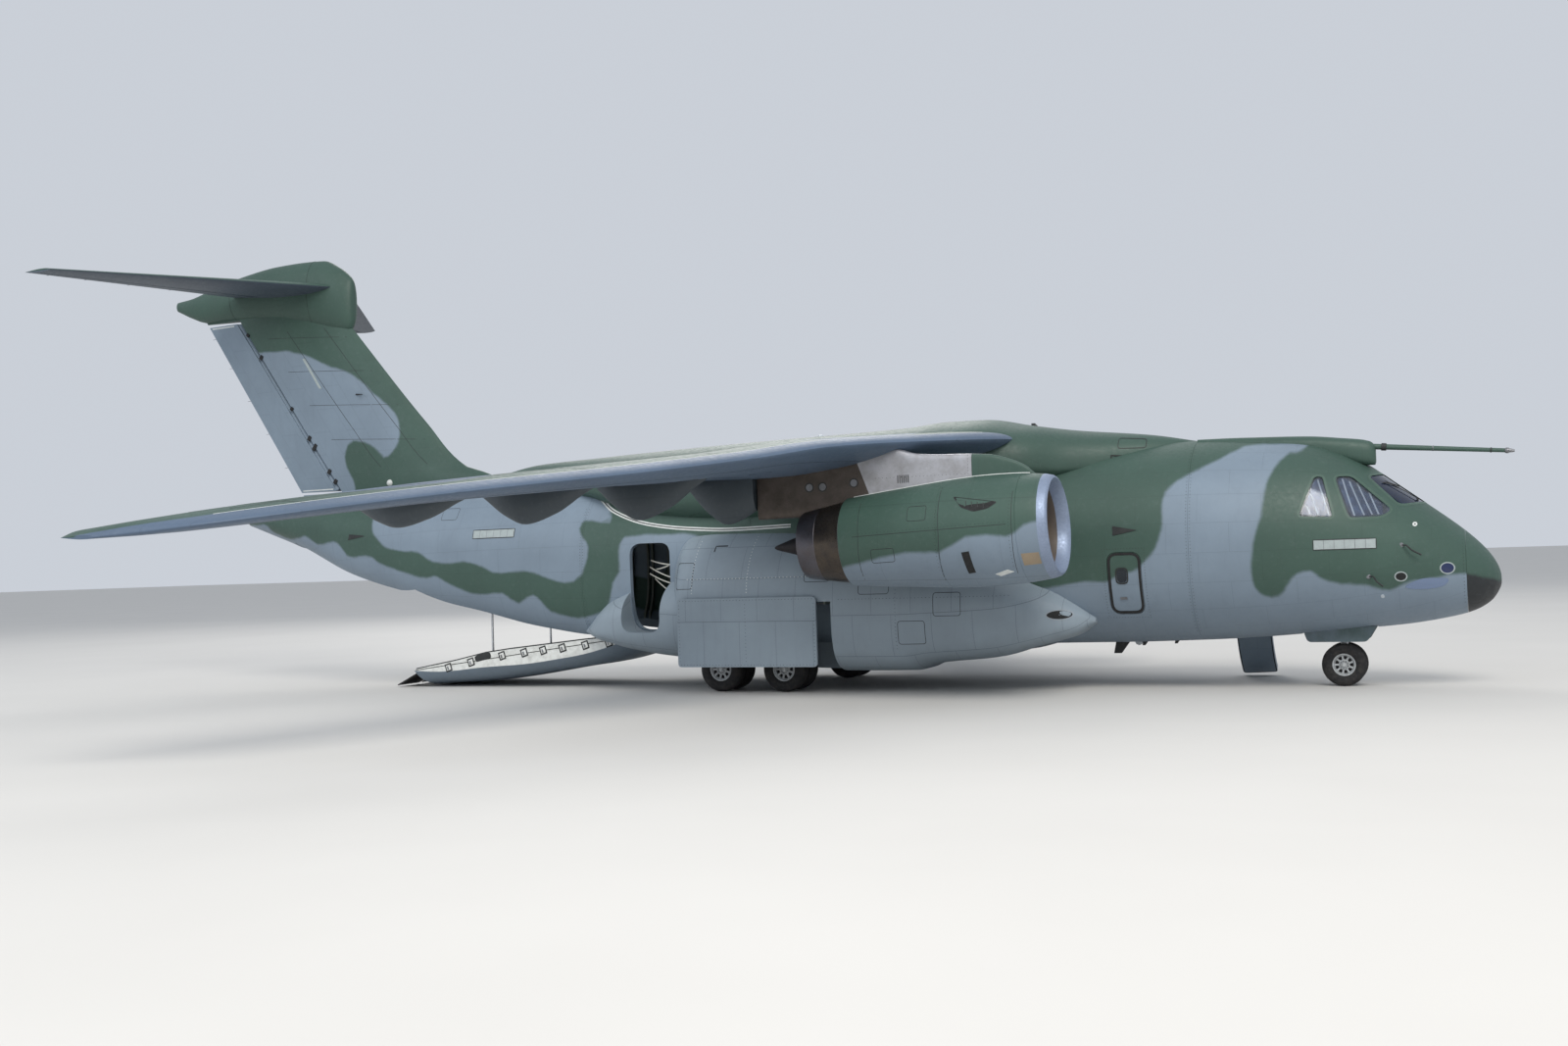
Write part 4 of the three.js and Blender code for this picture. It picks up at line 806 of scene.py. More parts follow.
camouflage = paint("camouflage paint", GREY, GREEN)
# Lighter copy of the body's grey: painted light, standing in for sunlight on the side pods and gear doors.
sponson_paint = paint("sponson paint", srgb(140, 153, 163), GREEN, panels=(0.9, 0.55), lines=0.4)
# Darker copy of the body's grey: painted shade, standing in for the shade under the wing; the same grey
# colours the leading edge and the grey patches on top.
wing_paint = paint("wing paint", srgb(84, 101, 122), GREEN)
# Darker copy still of the body's grey: painted shade, standing in for the shade under the tailplane; the same
# grey colours the grey patch on top.
tailplane_paint = paint("tailplane paint", srgb(74, 84, 96), GREEN)
canoe_paint = paint("flap track fairing paint", srgb(66, 74, 80), lines=0.1)
radome_paint = paint("radome coating", srgb(36, 40, 43), GREEN, lines=0.0, wear=0.2)
lip_metal = metal("inlet lip", srgb(142, 156, 180), srgb(112, 122, 140), 0.46, amount=0.3, metallic=0.45)
# The duct's dark brown is partly painted shade inside the inlet, and its large dark blue blotches are painted
# reflection of the sky.
duct_paint = plain("inlet duct", srgb(92, 82, 72), srgb(46, 52, 66), 0.5, amount=0.5, scale=2)
tan_paint = plain("tan panel", srgb(150, 134, 112), srgb(90, 84, 76), 0.5, amount=0.4, scale=3)
frame_green = plain("window frame paint", srgb(66, 92, 80), srgb(48, 60, 56), 0.45, amount=0.3)
nozzle_metal = metal("nozzle metal", srgb(92, 84, 76), srgb(50, 50, 58), 0.3, grain=(0.4, 5, 5), amount=0.7)
nozzle_ring = metal(
    "nozzle ring", srgb(104, 102, 108), srgb(90, 76, 66), 0.32, grain=(0.4, 5, 5), amount=0.5,
)
core_metal = metal("core metal", srgb(62, 60, 62), srgb(32, 30, 30), 0.45, amount=0.6)
fan_metal = metal("fan blades", srgb(120, 124, 130), srgb(60, 64, 70), 0.3, amount=0.4)
pylon_bright = metal(
    "pylon bright panel", srgb(190, 190, 194), srgb(120, 112, 104), 0.36, grain=(1, 1, 5), amount=0.55,
    metallic=0.8,
)
pylon_brown = metal(
    "pylon stained panel", srgb(96, 88, 82), srgb(62, 54, 48), 0.42, grain=(1, 1, 4), amount=0.7,
    metallic=0.75,
)
dark_paint = plain("dark paint", srgb(34, 37, 38), srgb(70, 70, 68), 0.6)
black = plain("black markings", srgb(20, 21, 22), srgb(60, 60, 60), 0.7, amount=0.2)
white_seal = plain("pale sealant", srgb(214, 218, 216), srgb(150, 150, 146), 0.6, amount=0.4)
strip_paint = plain(
    "formation strip", srgb(160, 170, 170), srgb(112, 120, 122), 0.45, amount=0.35, scale=10,
)
gear_paint = plain("gear paint", srgb(206, 210, 212), srgb(96, 92, 86), 0.42, amount=0.4)
chrome = metal("oleo chrome", srgb(205, 208, 212), srgb(150, 150, 152), 0.14, amount=0.2, metallic=1.0)
steel = metal("fitting steel", srgb(140, 142, 146), srgb(74, 70, 66), 0.38, amount=0.5)
tyre = rubber("tyre rubber")
cabin_paint = plain("cabin paint", srgb(118, 124, 116), srgb(66, 68, 64), 0.7, amount=0.35, scale=4)
cabin_dark = plain("cabin fittings", srgb(52, 55, 54), srgb(90, 90, 88), 0.7, amount=0.3)
floor_paint = plain(
    "cargo floor paint", srgb(96, 100, 100), srgb(44, 44, 44), 0.6, amount=0.5, scale=5, bump=0.2,
)
webbing = plain("seat webbing", srgb(176, 66, 44), srgb(90, 40, 30), 0.9, amount=0.3, scale=30, bump=0.5)
pale_webbing = plain(
    "pale webbing", srgb(206, 206, 196), srgb(130, 130, 124), 0.9, amount=0.3, scale=30, bump=0.5,
)
shield_glass = glass("windshield glass", srgb(44, 66, 104))
inner_paint = plain("ramp white paint", srgb(224, 226, 222), srgb(120, 116, 108), 0.5, amount=0.45)
SHADE_BLUE, SHADE_PALE = srgb(26, 44, 84), srgb(120, 146, 186)
shade_cloth = plain(
    "sunshade foil", SHADE_BLUE, SHADE_PALE, 0.4, metallic=0.2, amount=0.75, scale=7, bump=0.3,
)
# White of the shades' stripes: painted highlights standing in for lit folds of the foil.
fold_highlight_paint = plain("sunshade fold highlight", srgb(240, 242, 242), srgb(200, 204, 206), 0.5, amount=0.2)
side_glass = glass("side window glass", srgb(222, 232, 244), 0.14, gloss=0.1, clear=0.96)
screen_glass = lamp("instrument screen", srgb(24, 34, 44))
seat_cloth = plain("seat fabric", srgb(74, 80, 84), srgb(40, 44, 46), 0.9, amount=0.3, scale=40, bump=0.6)
hub_paint = plain("wheel hub paint", srgb(176, 180, 182), srgb(84, 78, 70), 0.45, amount=0.45)
lamp_glass = lamp("lamp glass", srgb(196, 206, 214))
lens_cover = lamp("lens cover", srgb(120, 138, 168))
lens_dark = lamp("dark lens", srgb(40, 52, 92))
rim_paint = plain("intake rim", srgb(150, 158, 166), srgb(96, 98, 100), 0.5)


def finish(obj, material):
    """Gives a part its material and returns it."""
    obj.data.materials.clear()
    obj.data.materials.append(material)
    return obj


class Parts(list):
    """The meshes that make up one piece."""

    def add(self, material, *meshes):
        self.extend(finish(mesh, material) for mesh in meshes)


def piece(
    name, parts, material=None, body="root", nodes=(), camo=None, skin=side_skin,
    sharp=38,
):
    """Names and shades a mesh or joined parts, gives them material and body, and hides the frame's parts that
    they stand for.
    """
    obj = merged(parts) if isinstance(parts, list) else parts
    mesh = obj.data
    obj.name = mesh.name = name
    if camo is not None:
        coat(obj, camo, skin)
    if material is not None:
        finish(obj, material)
    mesh.polygons.foreach_set("use_smooth", [True] * len(mesh.polygons))
    mesh.set_sharp_from_angle(angle=math.radians(sharp))
    mesh.update()
    if nodes:
        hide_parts(*nodes)
    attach(obj, body)
    return obj


# Camera and light first
CAMERA = {
    "station": 0.5442, "across": -35.2477, "height": 2.9701, "yaw": 0.41189, "pitch": 0.02454,
    "roll": -0.03104,
}
PHOTO_WIDTH = 1600
FOCAL_PIXELS = 1602.33
SENSOR = 36.0


def set_camera():
    yaw, pitch, roll = CAMERA["yaw"], CAMERA["pitch"], CAMERA["roll"]
    ahead = Vector((-math.sin(yaw) * math.cos(pitch), math.cos(yaw) * math.cos(pitch), math.sin(pitch)))
    right = Vector((math.cos(yaw), math.sin(yaw), 0))
    up = right.cross(ahead)
    level = right * math.cos(roll) + up * math.sin(roll)
    raised = up * math.cos(roll) - right * math.sin(roll)
    data = bpy.data.cameras.new("camera")
    data.sensor_width = SENSOR
    data.lens = FOCAL_PIXELS * SENSOR / PHOTO_WIDTH
    data.clip_end = 2000
    camera = bpy.data.objects.new("camera", data)
    bpy.context.scene.collection.objects.link(camera)
    turn = Matrix((level, raised, -ahead)).transposed().to_4x4()
    camera.matrix_world = Matrix.Translation(at(
        CAMERA["station"], CAMERA["across"], CAMERA["height"],
    )) @ turn
    bpy.context.scene.camera = camera


def set_light():
    scene = bpy.context.scene
    scene.view_settings.view_transform = "Standard"
    world = bpy.data.worlds.new("studio")
    scene.world = world
    world.use_nodes = True
    background = world.node_tree.nodes["Background"]
    background.inputs["Color"].default_value = (0.82, 0.87, 0.95, 1)
    background.inputs["Strength"].default_value = 0.72
    for name, place, size, power, tint in (
        ("key", (30, -42, 46), 34, 26000, (1.0, 0.965, 0.91)),
        ("fill", (-30, -40, 30), 30, 5000, (0.9, 0.95, 1.0)),
        ("rear", (-20, 45, 40), 34, 12000, (1.0, 0.98, 0.95)),
    ):
        data = bpy.data.lights.new(name, "AREA")
        data.shape, data.size, data.energy, data.color = "DISK", size, power, tint
        light = bpy.data.objects.new(name, data)
        scene.collection.objects.link(light)
        light.location = place
        light.rotation_euler = (Vector((0, 0, 3)) - Vector(place)).to_track_quat("-Z", "Y").to_euler()


def set_floor():
    reach = 600
    points = [(-reach, -reach, 0), (reach, -reach, 0), (reach, reach, 0), (-reach, reach, 0)]
    mesh = bpy.data.meshes.new("floor")
    mesh.from_pydata(points, [], [(0, 1, 2, 3)])
    floor = bpy.data.objects.new("floor", mesh)
    bpy.context.scene.collection.objects.link(floor)
    floor.location.z = -0.002
    s = Shader("pale floor")
    s.set(Base_Color=s.mix(srgb(212, 210, 206), srgb(204, 202, 198), s.noise(0.2, 3)), Roughness=0.85)
    mesh.materials.append(s.material)


set_camera()
set_light()
set_floor()


# Body sections
CABIN_FRONT, CABIN_AFT = 1.3, 31.0
SECTIONS = (
    ("fuselage_nose", 0.65, 5.9), ("fuselage_center", 5.9, 15.9), ("fuselage_aft", 15.9, 20.4),
    ("fuselage_tail", 20.4, 32.57),
)
SEAM = 0.0025


def spaced(front, aft, step):
    return np.linspace(front, aft, max(2, int(round((aft - front) / step)) + 1))


def shell(front, aft):
    """A closed stretch of the body with its inner face, open into the cabin at both ends."""
    outer = body_rings(spaced(front, aft, 0.13 if aft < 8 else 0.24))
    inner_front, inner_aft = max(front, CABIN_FRONT), min(aft, CABIN_AFT)
    inner = body_rings(spaced(inner_front, inner_aft, 0.5), WALL)
    rows, count, _ = outer.shape
    inner_rows = len(inner)
    points = list(outer.reshape(-1, 3)) + list(inner.reshape(-1, 3))
    start = rows * count
    faces = grid_faces(rows, count) + grid_faces(inner_rows, count, start, flip=True)
    last, inner_last = (rows - 1) * count, start + (inner_rows - 1) * count
    for outer_row, inner_row, closed, turn in (
        (0, start, front < CABIN_FRONT, 1), (last, inner_last, aft > CABIN_AFT, -1),
    ):
        if closed:
            faces.append(tuple(range(outer_row + count - 1, outer_row - 1, -1))[::turn])
            faces.append(tuple(range(inner_row, inner_row + count))[::turn])
            continue
        for i in range(count):
            nxt = (i + 1) % count
            faces.append((outer_row + nxt, outer_row + i, inner_row + i, inner_row + nxt)[::turn])
    return link(points, faces)


RAMP_OPENING = (
    (19.1, -1.72), (19.1, 1.72), (25.7, 1.72), (26.3, 1.53), (30.4, 0.8), (30.4, -0.8), (26.3, -1.53),
    (25.7, -1.72),
)


def fuselage():
    for name, front, aft in SECTIONS:
        part = shell(front + SEAM, aft - SEAM)
        cutters = []
        if name == "fuselage_nose":
            for _, side in SIDES:
                for _, near, outline in WINDOWS:
                    cutters.append(prism(rounded(outline, 0.1), side * near, side * OUTSIDE))
            cutters.append(prism(door_outline(CREW_DOOR), 0.3, OUTSIDE))
            cutters.append(box(2.38, 3.92, -0.42, 0.42, 0, 1.69))
        if name == "fuselage_center":
            cutters.append(prism(door_outline(EXIT_DOOR), -OUTSIDE, -0.3))
        if name == "fuselage_aft":
            cutters += [prism(door_outline(PARA_DOOR), side * 0.3, side * OUTSIDE) for _, side in SIDES]
        if name in ("fuselage_aft", "fuselage_tail"):
            cutters.append(prism(RAMP_OPENING, -0.1, 4.15, axis="z"))
        for cutter in cutters:
            boolean(part, cutter)
        piece(name + "_skin", part, camouflage, nodes=(name,), camo=body_camo)
    stations = np.concatenate((np.linspace(0, 1, 28) ** 2 * 0.5, [0.56, 0.62, 0.65 - SEAM]))
    dome = loft(body_rings(stations))
    piece("radome_shell", dome, radome_paint, nodes=("radome",), camo=body_camo)


fuselage()


def body_solid(front, aft, inset=0.0):
    return loft(body_rings(spaced(front, aft, 0.25), inset))


def back_fairing():
    stations = spaced(5.9, 24.3, 0.2)
    columns = [(half, low, top, waist, 2.4) for top, half, waist, low in back_at(stations)]
    fairing = loft(rings(stations, columns, 72, above=2.6))
    boolean(fairing, body_solid(4.0, 27.0, 0.012))
    piece("back_fairing", fairing, camouflage, nodes=("wing_body_fairing",), camo=all_green)


back_fairing()


# Wings
def airfoil(parts, chord, thick):
    return airfoil_at(np.sqrt(parts))[:, 0] * thick * chord / 2


CHORD_PARTS = np.linspace(0, 1, 26) ** 1.7


def wing_rings(outs, side, look):
    rows = []
    for out in outs:
        values = look(out)[0]
        front, aft, height, thick = values[:4]
        drop = values[4] if len(values) > 4 else 0.0
        chord = aft - front
        half = airfoil(CHORD_PARTS, chord, thick)
        upper = [(front + chord * p, height + h - drop * p) for p, h in zip(CHORD_PARTS, half)]
        lower = [(front + chord * p, height - h - drop * p) for p, h in zip(CHORD_PARTS, half)]
        loop = upper + lower[::-1][:-1]
        rows.append([tuple(at(s, side * out, z)) for s, z in loop])
    return np.array(rows)


def chord_station(look, out, share):
    """The station at a share of the chord, at a distance along a wing or fin."""
    front, aft = look(out)[0][:2]
    return float(front + (aft - front) * share)


def wing_strip(start, end, front, aft, side, inset=0.0):
    """Plan outline between two distances out and two shares of the chord, the aft one moved by metres."""
    steps = [start] + [row[0] for row in WING if start < row[0] < end] + [end]
    head, tail = [], []
    for out in steps:
        values = wing_at(out)[0]
        chord = values[1] - values[0]
        head.append((values[0] + chord * front + inset, side * out))
        tail.append((values[1] + aft, side * out))
    return head + tail[::-1]


def hinged_nose(look, outs, share, side, thick_share):
    """The round nose of a control surface along its hinge, between two distances out."""
    ends = []
    for out in outs:
        front, aft, height, thick = look(out)[0][:4]
        drop = look(out)[0][4] if look is wing_at else 0.0
        half = thick_share(aft - front, thick)
        ends.append((at(front + (aft - front) * share, side * out, height - drop * share), half))
    (start, start_half), (end, end_half) = ends
    return rod(start, end, start_half, end_half, 24)


def wings():
    tip = 16.85 + 0.675 * np.sin(np.linspace(0, 1, 14)[1:] * math.pi / 2)
    outs = np.concatenate((np.linspace(0, 16.85, 44), tip))
    flap_front, hinge = FLAP["front"], AILERON["hinge"]

    def cutter(kind, grow, front, aft, side, inset=0.0):
        return prism(wing_strip(kind["from"] - grow, kind["to"] + grow, front, aft, side, inset), 2, 7, "z")

    def nose_half(chord, thick):
        return airfoil(np.array([hinge]), chord, thick)[0] * 0.93

    for name, side in SIDES:
        full = loft(wing_rings(outs, side, wing_at))
        flap = loft(wing_rings(spaced(2.0, 13.2, 0.5), side, wing_at))
        aileron = loft(wing_rings(spaced(12.6, 16.84, 0.4), side, wing_at))
        boolean(flap, cutter(FLAP, 0, flap_front, 0.05, side), "INTERSECT")
        boolean(aileron, cutter(AILERON, 0, hinge, 0.05, side), "INTERSECT")
        boolean(full, cutter(FLAP, 0.02, flap_front - 0.004, 0.3, side))
        boolean(full, cutter(AILERON, 0.045, hinge, 0.3, side, -0.11))
        ends = (AILERON["from"] + 0.004, AILERON["to"] - 0.004)
        nose = hinged_nose(wing_at, ends, hinge, side, nose_half)
        for kind, part in (("wing", full), ("flap", flap)):
            node = f"{kind}_{name}"
            piece(
                node + "_skin", part, wing_paint, nodes=(node,), camo=wing_camo,
                skin=plan_skin,
            )
        node = "aileron_" + name
        piece(
            node + "_dressed", [aileron, nose], wing_paint, node, (node,), camo=wing_camo,
            skin=plan_skin,
        )


wings()


canoe_at = smooth_table(CANOE)


def canoes():
    for name, side in SIDES:
        for number, (out, deep, start) in enumerate(CANOES):
            front, aft, height, thick, drop = wing_at(out)[0]
            chord = aft - front
            station = front + chord * CANOE_TRACK
            line = height - drop * CANOE_TRACK
            depth = airfoil(np.array([CANOE_TRACK]), chord, thick)[0] + deep - 0.06
            offsets = spaced(start, CANOE[-1][0], 0.1)
            columns = []
            for offset, (half, part) in zip(offsets, canoe_at(offsets)):
                low = line - 0.06 - depth * part
                share = min(1, CANOE_TRACK + offset / chord)
                high = height - drop * share - 0.04
                columns.append((half, low, high, (low + high) / 2, 1.8))
            canoe = loft(rings(station + offsets, columns, 28, 3.0, side * out))
            label = f"flap_track_fairing_{name}_{number + 1}"
            piece(label, canoe, canoe_paint, camo=all_grey)


canoes()


# Tail
def tail_group():
    heights = spaced(5.15, 10.69, 0.16)

    def fin_rings():
        rows = []
        for height in heights:
            front, aft, thick = fin_at(height)[0]
            chord = aft - front
            half = airfoil(CHORD_PARTS, chord, thick)
            line = [(front + chord * p, h) for p, h in zip(CHORD_PARTS, half)]
            loop = line + [(s, -h) for s, h in line[::-1][:-1]]
            rows.append([tuple(at(s, y, height)) for s, y in loop])
        return np.array(rows)

    def behind(ahead, low, high):
        """All that is aft of the rudder's hinge line, moved ahead, between two heights."""
        ends = [
            RUDDER["bottom"] - ahead + (height - RUDDER["low"]) * RUDDER_SLOPE
            for height in (low, high)
        ]
        return [(ends[0], low), (36.5, low), (36.5, high), (ends[1], high)]

    fin = loft(fin_rings())
    rudder = loft(fin_rings())
    boolean(fin, prism(behind(0.175, RUDDER["low"] - 0.07, RUDDER["high"] + 0.09), -0.9, 0.9))
    boolean(rudder, prism(behind(0.0, RUDDER["low"], RUDDER["high"]), -0.9, 0.9), "INTERSECT")
    piece("fin_skin", fin, camouflage, nodes=("fin",), camo=fin_camo, skin=upright_skin)
    halves = []
    for height, share in ((RUDDER["low"], 0.19), (RUDDER["high"], 0.195)):
        front, aft, thick = fin_at(height)[0]
        halves.append(thick * (aft - front) * share)
    foot, top = at(RUDDER["bottom"], 0, RUDDER["low"] + 0.002), at(RUDDER["top"], 0, RUDDER["high"] - 0.002)
    nose = rod(foot, top, *halves, 24)
    boolean(nose, box(28, 35, -1, 1, RUDDER["low"], RUDDER["high"]), "INTERSECT")
    piece(
        "rudder_dressed", [rudder, nose], camouflage, "rudder", ("rudder",), camo=all_grey,
        skin=upright_skin,
    )

    stations = BULLET[0][0] + np.linspace(0, 1, 60) ** 2 * (BULLET[-1][0] - BULLET[0][0])
    values = bullet_at(np.sqrt(stations - BULLET[0][0]))
    columns = [(half, low, high, waist, 2.2) for low, high, half, waist in values]
    bullet = loft(rings(stations, columns, 56))
    piece("tail_bullet_skin", bullet, camouflage, nodes=("tail_bullet",), camo=all_green)

    outs = np.linspace(-6.41, 6.41, 67)
    rows = [wing_rings([abs(out)], math.copysign(1, out), tailplane_at)[0] for out in outs]
    plane = loft(np.array(rows))
    start, end, hinge = ELEVATOR["from"], ELEVATOR["to"], ELEVATOR["hinge"]

    def strip(side, grow, ahead, behind_edge):
        """Plan outline of the elevator, grown outward and ahead."""
        low, high = start - grow, end + grow
        corners = ((low, hinge, ahead), (high, hinge, ahead), (high, 1, behind_edge), (low, 1, behind_edge))
        return [(chord_station(tailplane_at, out, part) + move, side * out) for out, part, move in corners]

    def nose_half(chord, thick):
        return thick * chord / 2 * 0.57

    for name, side in SIDES:
        boolean(plane, prism(strip(side, 0.04, -0.11, 0.3), 10, 12, "z"))
        elevator = loft(wing_rings(spaced(0.4, 6.4, 0.3), side, tailplane_at))
        boolean(elevator, prism(strip(side, 0, 0, 0.05), 10, 12, "z"), "INTERSECT")
        nose = hinged_nose(tailplane_at, (start + 0.004, end - 0.004), hinge, side, nose_half)
        node = "elevator_" + name
        piece(
            node + "_dressed", [elevator, nose], tailplane_paint, node, (node,),
            camo=tailplane_camo, skin=plan_skin,
        )
    piece(
        "tailplane_skin", plane, tailplane_paint, nodes=("tailplane",),
        camo=tailplane_camo, skin=plan_skin,
    )


tail_group()


# Engines
NACELLE = [
    (0.02, 0.915), (0.0, 0.945), (0.012, 0.975), (0.05, 1.003), (0.19, 1.04), (0.42, 1.068), (0.6, 1.086),
    (0.607, 1.08), (0.613, 1.087), (0.8, 1.1), (1.2, 1.117), (1.6, 1.122), (2.2, 1.094), (2.206, 1.087),
    (2.214, 1.093), (2.9, 1.04), (3.6, 0.985), (4.35, 0.92), (4.35, 0.885), (3.3, 0.9), (2.2, 0.87),
    (1.15, 0.83), (0.8, 0.81), (0.45, 0.8), (0.25, 0.825), (0.1, 0.87),
]
NOZZLE = [
    (4.3, 0.87), (4.34, 0.905), (4.36, 0.908), (4.38, 0.868), (4.94, 0.77), (4.95, 0.778), (4.98, 0.772),
    (5.35, 0.704), (5.37, 0.692), (5.36, 0.67), (4.36, 0.81), (4.3, 0.83),
]
LIP_REACH, DUCT_START = 0.19, 0.3


def engine_frame(side):
    return Matrix.Translation(at(ENGINE["front"], side * ENGINE["out"], ENGINE["height"])) @ Matrix.Rotation(
        math.radians(-ENGINE["droop"]), 4, "Y"
    )


def spun(obj, angle):
    """Turns a mesh about the engine's axis."""
    obj.data.transform(Matrix.Rotation(angle, 4, "X"))
    return obj


def engines():
    for name, side in SIDES:
        place = engine_frame(side)
        shell_ring = lathe(NACELLE, 96, axis=AFT)
        nozzle = lathe(NOZZLE, 96, axis=AFT)
        for obj, picks in (
            (shell_ring, (camouflage, lip_metal, duct_paint)), (nozzle, (nozzle_metal, nozzle_ring)),
        ):
            for material in picks:
                obj.data.materials.append(material)
        for face in shell_ring.data.polygons:
            back, radius = -face.center.x, math.hypot(face.center.y, face.center.z)
            outer = face.normal.dot(Vector((0, face.center.y, face.center.z)).normalized()) > -0.2
            if back < LIP_REACH and (outer or back < 0.09):
                face.material_index = 1
            elif not outer:
                face.material_index = 1 if back < DUCT_START else 2
        for face in nozzle.data.polygons:
            face.material_index = 1 if -face.center.x > 4.94 or -face.center.x < 4.37 else 0
        blades = Parts()
        for i in range(22):
            rows = []
            for radius, chord, twist in (
                (0.24, 0.17, 22), (0.42, 0.2, 36), (0.6, 0.21, 48), (0.79, 0.2, 58),
            ):
                turn = math.radians(twist)
                loop = []
                for k in range(10):
                    angle = 2 * math.pi * k / 10
                    along, thick = math.cos(angle) * chord / 2, math.sin(angle) * 0.008
                    back, across = along * math.cos(turn), along * math.sin(turn)
                    loop.append((
                        -1.06 + back - thick * math.sin(turn), across + thick * math.cos(turn), radius,
                    ))
                rows.append(loop)
            blade = loft(np.array(rows))
            blades.add(fan_metal, spun(blade, 2 * math.pi * i / 22))
        cone = lathe(
            [
                (0.64, 0), (0.66, 0.04), (0.72, 0.105), (0.82, 0.175), (0.95, 0.235), (1.08, 0.262),
                (1.22, 0.27), (1.22, 0),
            ],
            48, axis=AFT,
        )
        blades.add(dark_paint, cone)
        fan = merged(blades)
        core_profile = [
            (1.26, 0), (1.26, 0.42), (2.5, 0.48), (4.3, 0.43), (5.0, 0.36), (5.6, 0.2), (6.1, 0.05),
            (6.15, 0.02), (6.15, 0),
        ]
        parts = Parts()
        parts.add(core_metal, lathe(core_profile, 48, axis=AFT))
        for i in range(4):
            strut = rounded_block((-1.8, 0, 0.64), (0.5, 0.06, 0.46), 0.02)
            parts.add(core_metal, spun(strut, math.radians(45 + i * 90)))
        for i in range(36):
            vane = rounded_block((-1.38, 0, 0.62), (0.12, 0.012, 0.4), 0.004)
            parts.add(core_metal, spun(vane, 2 * math.pi * i / 36))
        core = merged(parts)
        for obj in (shell_ring, nozzle, fan, core):
            obj.data.transform(place)
        piece(f"nacelle_{name}_skin", shell_ring, nodes=("nacelle_" + name,), camo=nacelle_camo)
        piece(f"nozzle_{name}_skin", nozzle, nodes=("exhaust_nozzle_" + name,))
        piece(f"fan_{name}_bladed", fan, body="fan_" + name, nodes=("fan_" + name,))
        piece(f"engine_core_{name}_dressed", core, nodes=("engine_core_" + name,))


engines()


# Pylon: station, lower edge, upper edge, half width
PYLON = [
    (8.33, 4.45, 4.5, 0.02), (8.45, 4.4, 4.6, 0.06), (8.6, 4.38, 4.73, 0.09), (8.97, 4.36, 4.9, 0.13),
    (9.35, 4.34, 5.0, 0.17), (9.8, 4.32, 5.03, 0.2), (10.4, 4.3, 5.05, 0.2), (10.9, 4.2, 5.1, 0.2),
    (11.3, 4.1, 5.22, 0.2), (12.6, 3.9, 5.33, 0.2), (13.3, 3.88, 5.33, 0.2), (13.8, 3.88, 5.2, 0.165),
    (14.44, 3.87, 5.02, 0.112),
]
# Pylon panels as side outlines, each with its finish
PYLON_PANELS = (
    (rectangle(8.0, 9.66, 3.0, 6.0), camouflage),
    (((9.665, 3.0), (11.375, 3.0), (12.509, 6.0), (9.665, 6.0)), pylon_bright),
    (((11.38, 3.0), (15.0, 3.0), (15.0, 6.0), (12.514, 6.0)), pylon_brown),
)


def pylons():
    look = smooth_table(PYLON)
    for name, side in SIDES:
        parts = Parts()
        for outline, material in PYLON_PANELS:
            stations = np.concatenate((spaced(8.33, 9.35, 0.06), spaced(9.35, 14.44, 0.15)[1:]))
            columns = [(half, low, high, (low + high) / 2, 6.0) for low, high, half in look(stations)]
            panel = loft(rings(stations, columns, 48, 6.0, side * ENGINE["out"]))
            hull = lathe([(-0.5, 0), (-0.5, 0.8), *NACELLE[3:19], *NOZZLE[1:9], (5.37, 0)], 64, axis=AFT)
            hull.data.transform(engine_frame(side))
            boolean(panel, hull)
            boolean(panel, prism(outline, side * 4.0, side * 5.4), "INTERSECT")
            parts.add(material, panel)
        pylon = merged(parts)
        piece(f"pylon_{name}_skin", pylon, nodes=("pylon_" + name,), camo=all_green)


pylons()


# Side pods with the gear wells and doors
def pod_solid(table, side):
    look = smooth_table(table)
    stations = spaced(table[0][0], table[-1][0], 0.12)
    columns = [
        (out - POD_MIDDLE, low, high, waist, POD_POWERS[0])
        for low, high, out, waist in look(stations)
    ]
    return loft(rings(stations, columns, 72, POD_POWERS[1], side * POD_MIDDLE))


def sponsons():
    for name, side in SIDES:
        pod = pod_solid(POD, side)
        boolean(pod, pod_solid(POD_TAIL, side), "UNION")
        boolean(pod, body_solid(6.5, 22.0, 0.012))
        boolean(pod, box(13.55, 17.42, side * 1.25, side * 3.4, -0.1, 2.06))
        boolean(pod, prism(door_outline(PARA_DOOR, 0.03), 0, side * OUTSIDE))
        boolean(pod, box(7, 21, side * 0.7, -side * 3.0, -0.5, 5.0))
        boolean(pod, prism(RAMP_OPENING, -0.1, 4.15, axis="z"))
        piece(
            f"sponson_{name}_skin", pod, sponson_paint, nodes=("sponson_" + name,),
            camo=all_grey,
        )


sponsons()


GEAR_DOOR = {"fwd": 13.87, "aft": 17.32, "low": 0.62, "high": 2.18, "round": 0.06}
GEAR_DOOR_FACES = (3.1, 3.155)


def gear_doors():
    inner, outer = GEAR_DOOR_FACES
    for name, side in SIDES:
        door = prism(door_outline(GEAR_DOOR), side * inner, side * outer)
        piece(
            f"main_gear_door_{name}_skin", door, sponson_paint, body="gear_door_" + name,
            nodes=("main_gear_door_" + name,), camo=all_grey,
        )


gear_doors()


# Thin things laid on curved skins: each surface is a function of two places
def on_body(side):
    return lambda station, height: at(station, side * float(skin_half(station, height)[0]), height)


def roof(station, across, lift=0.0):
    """A point over the skin at a station and a distance from the middle."""
    _, top, half, waist, _ = body_at(station)[0]
    rise = (top - waist) * math.sqrt(max(0.0, 1 - (across / half) ** 2))
    return at(station, across, waist + rise + lift)


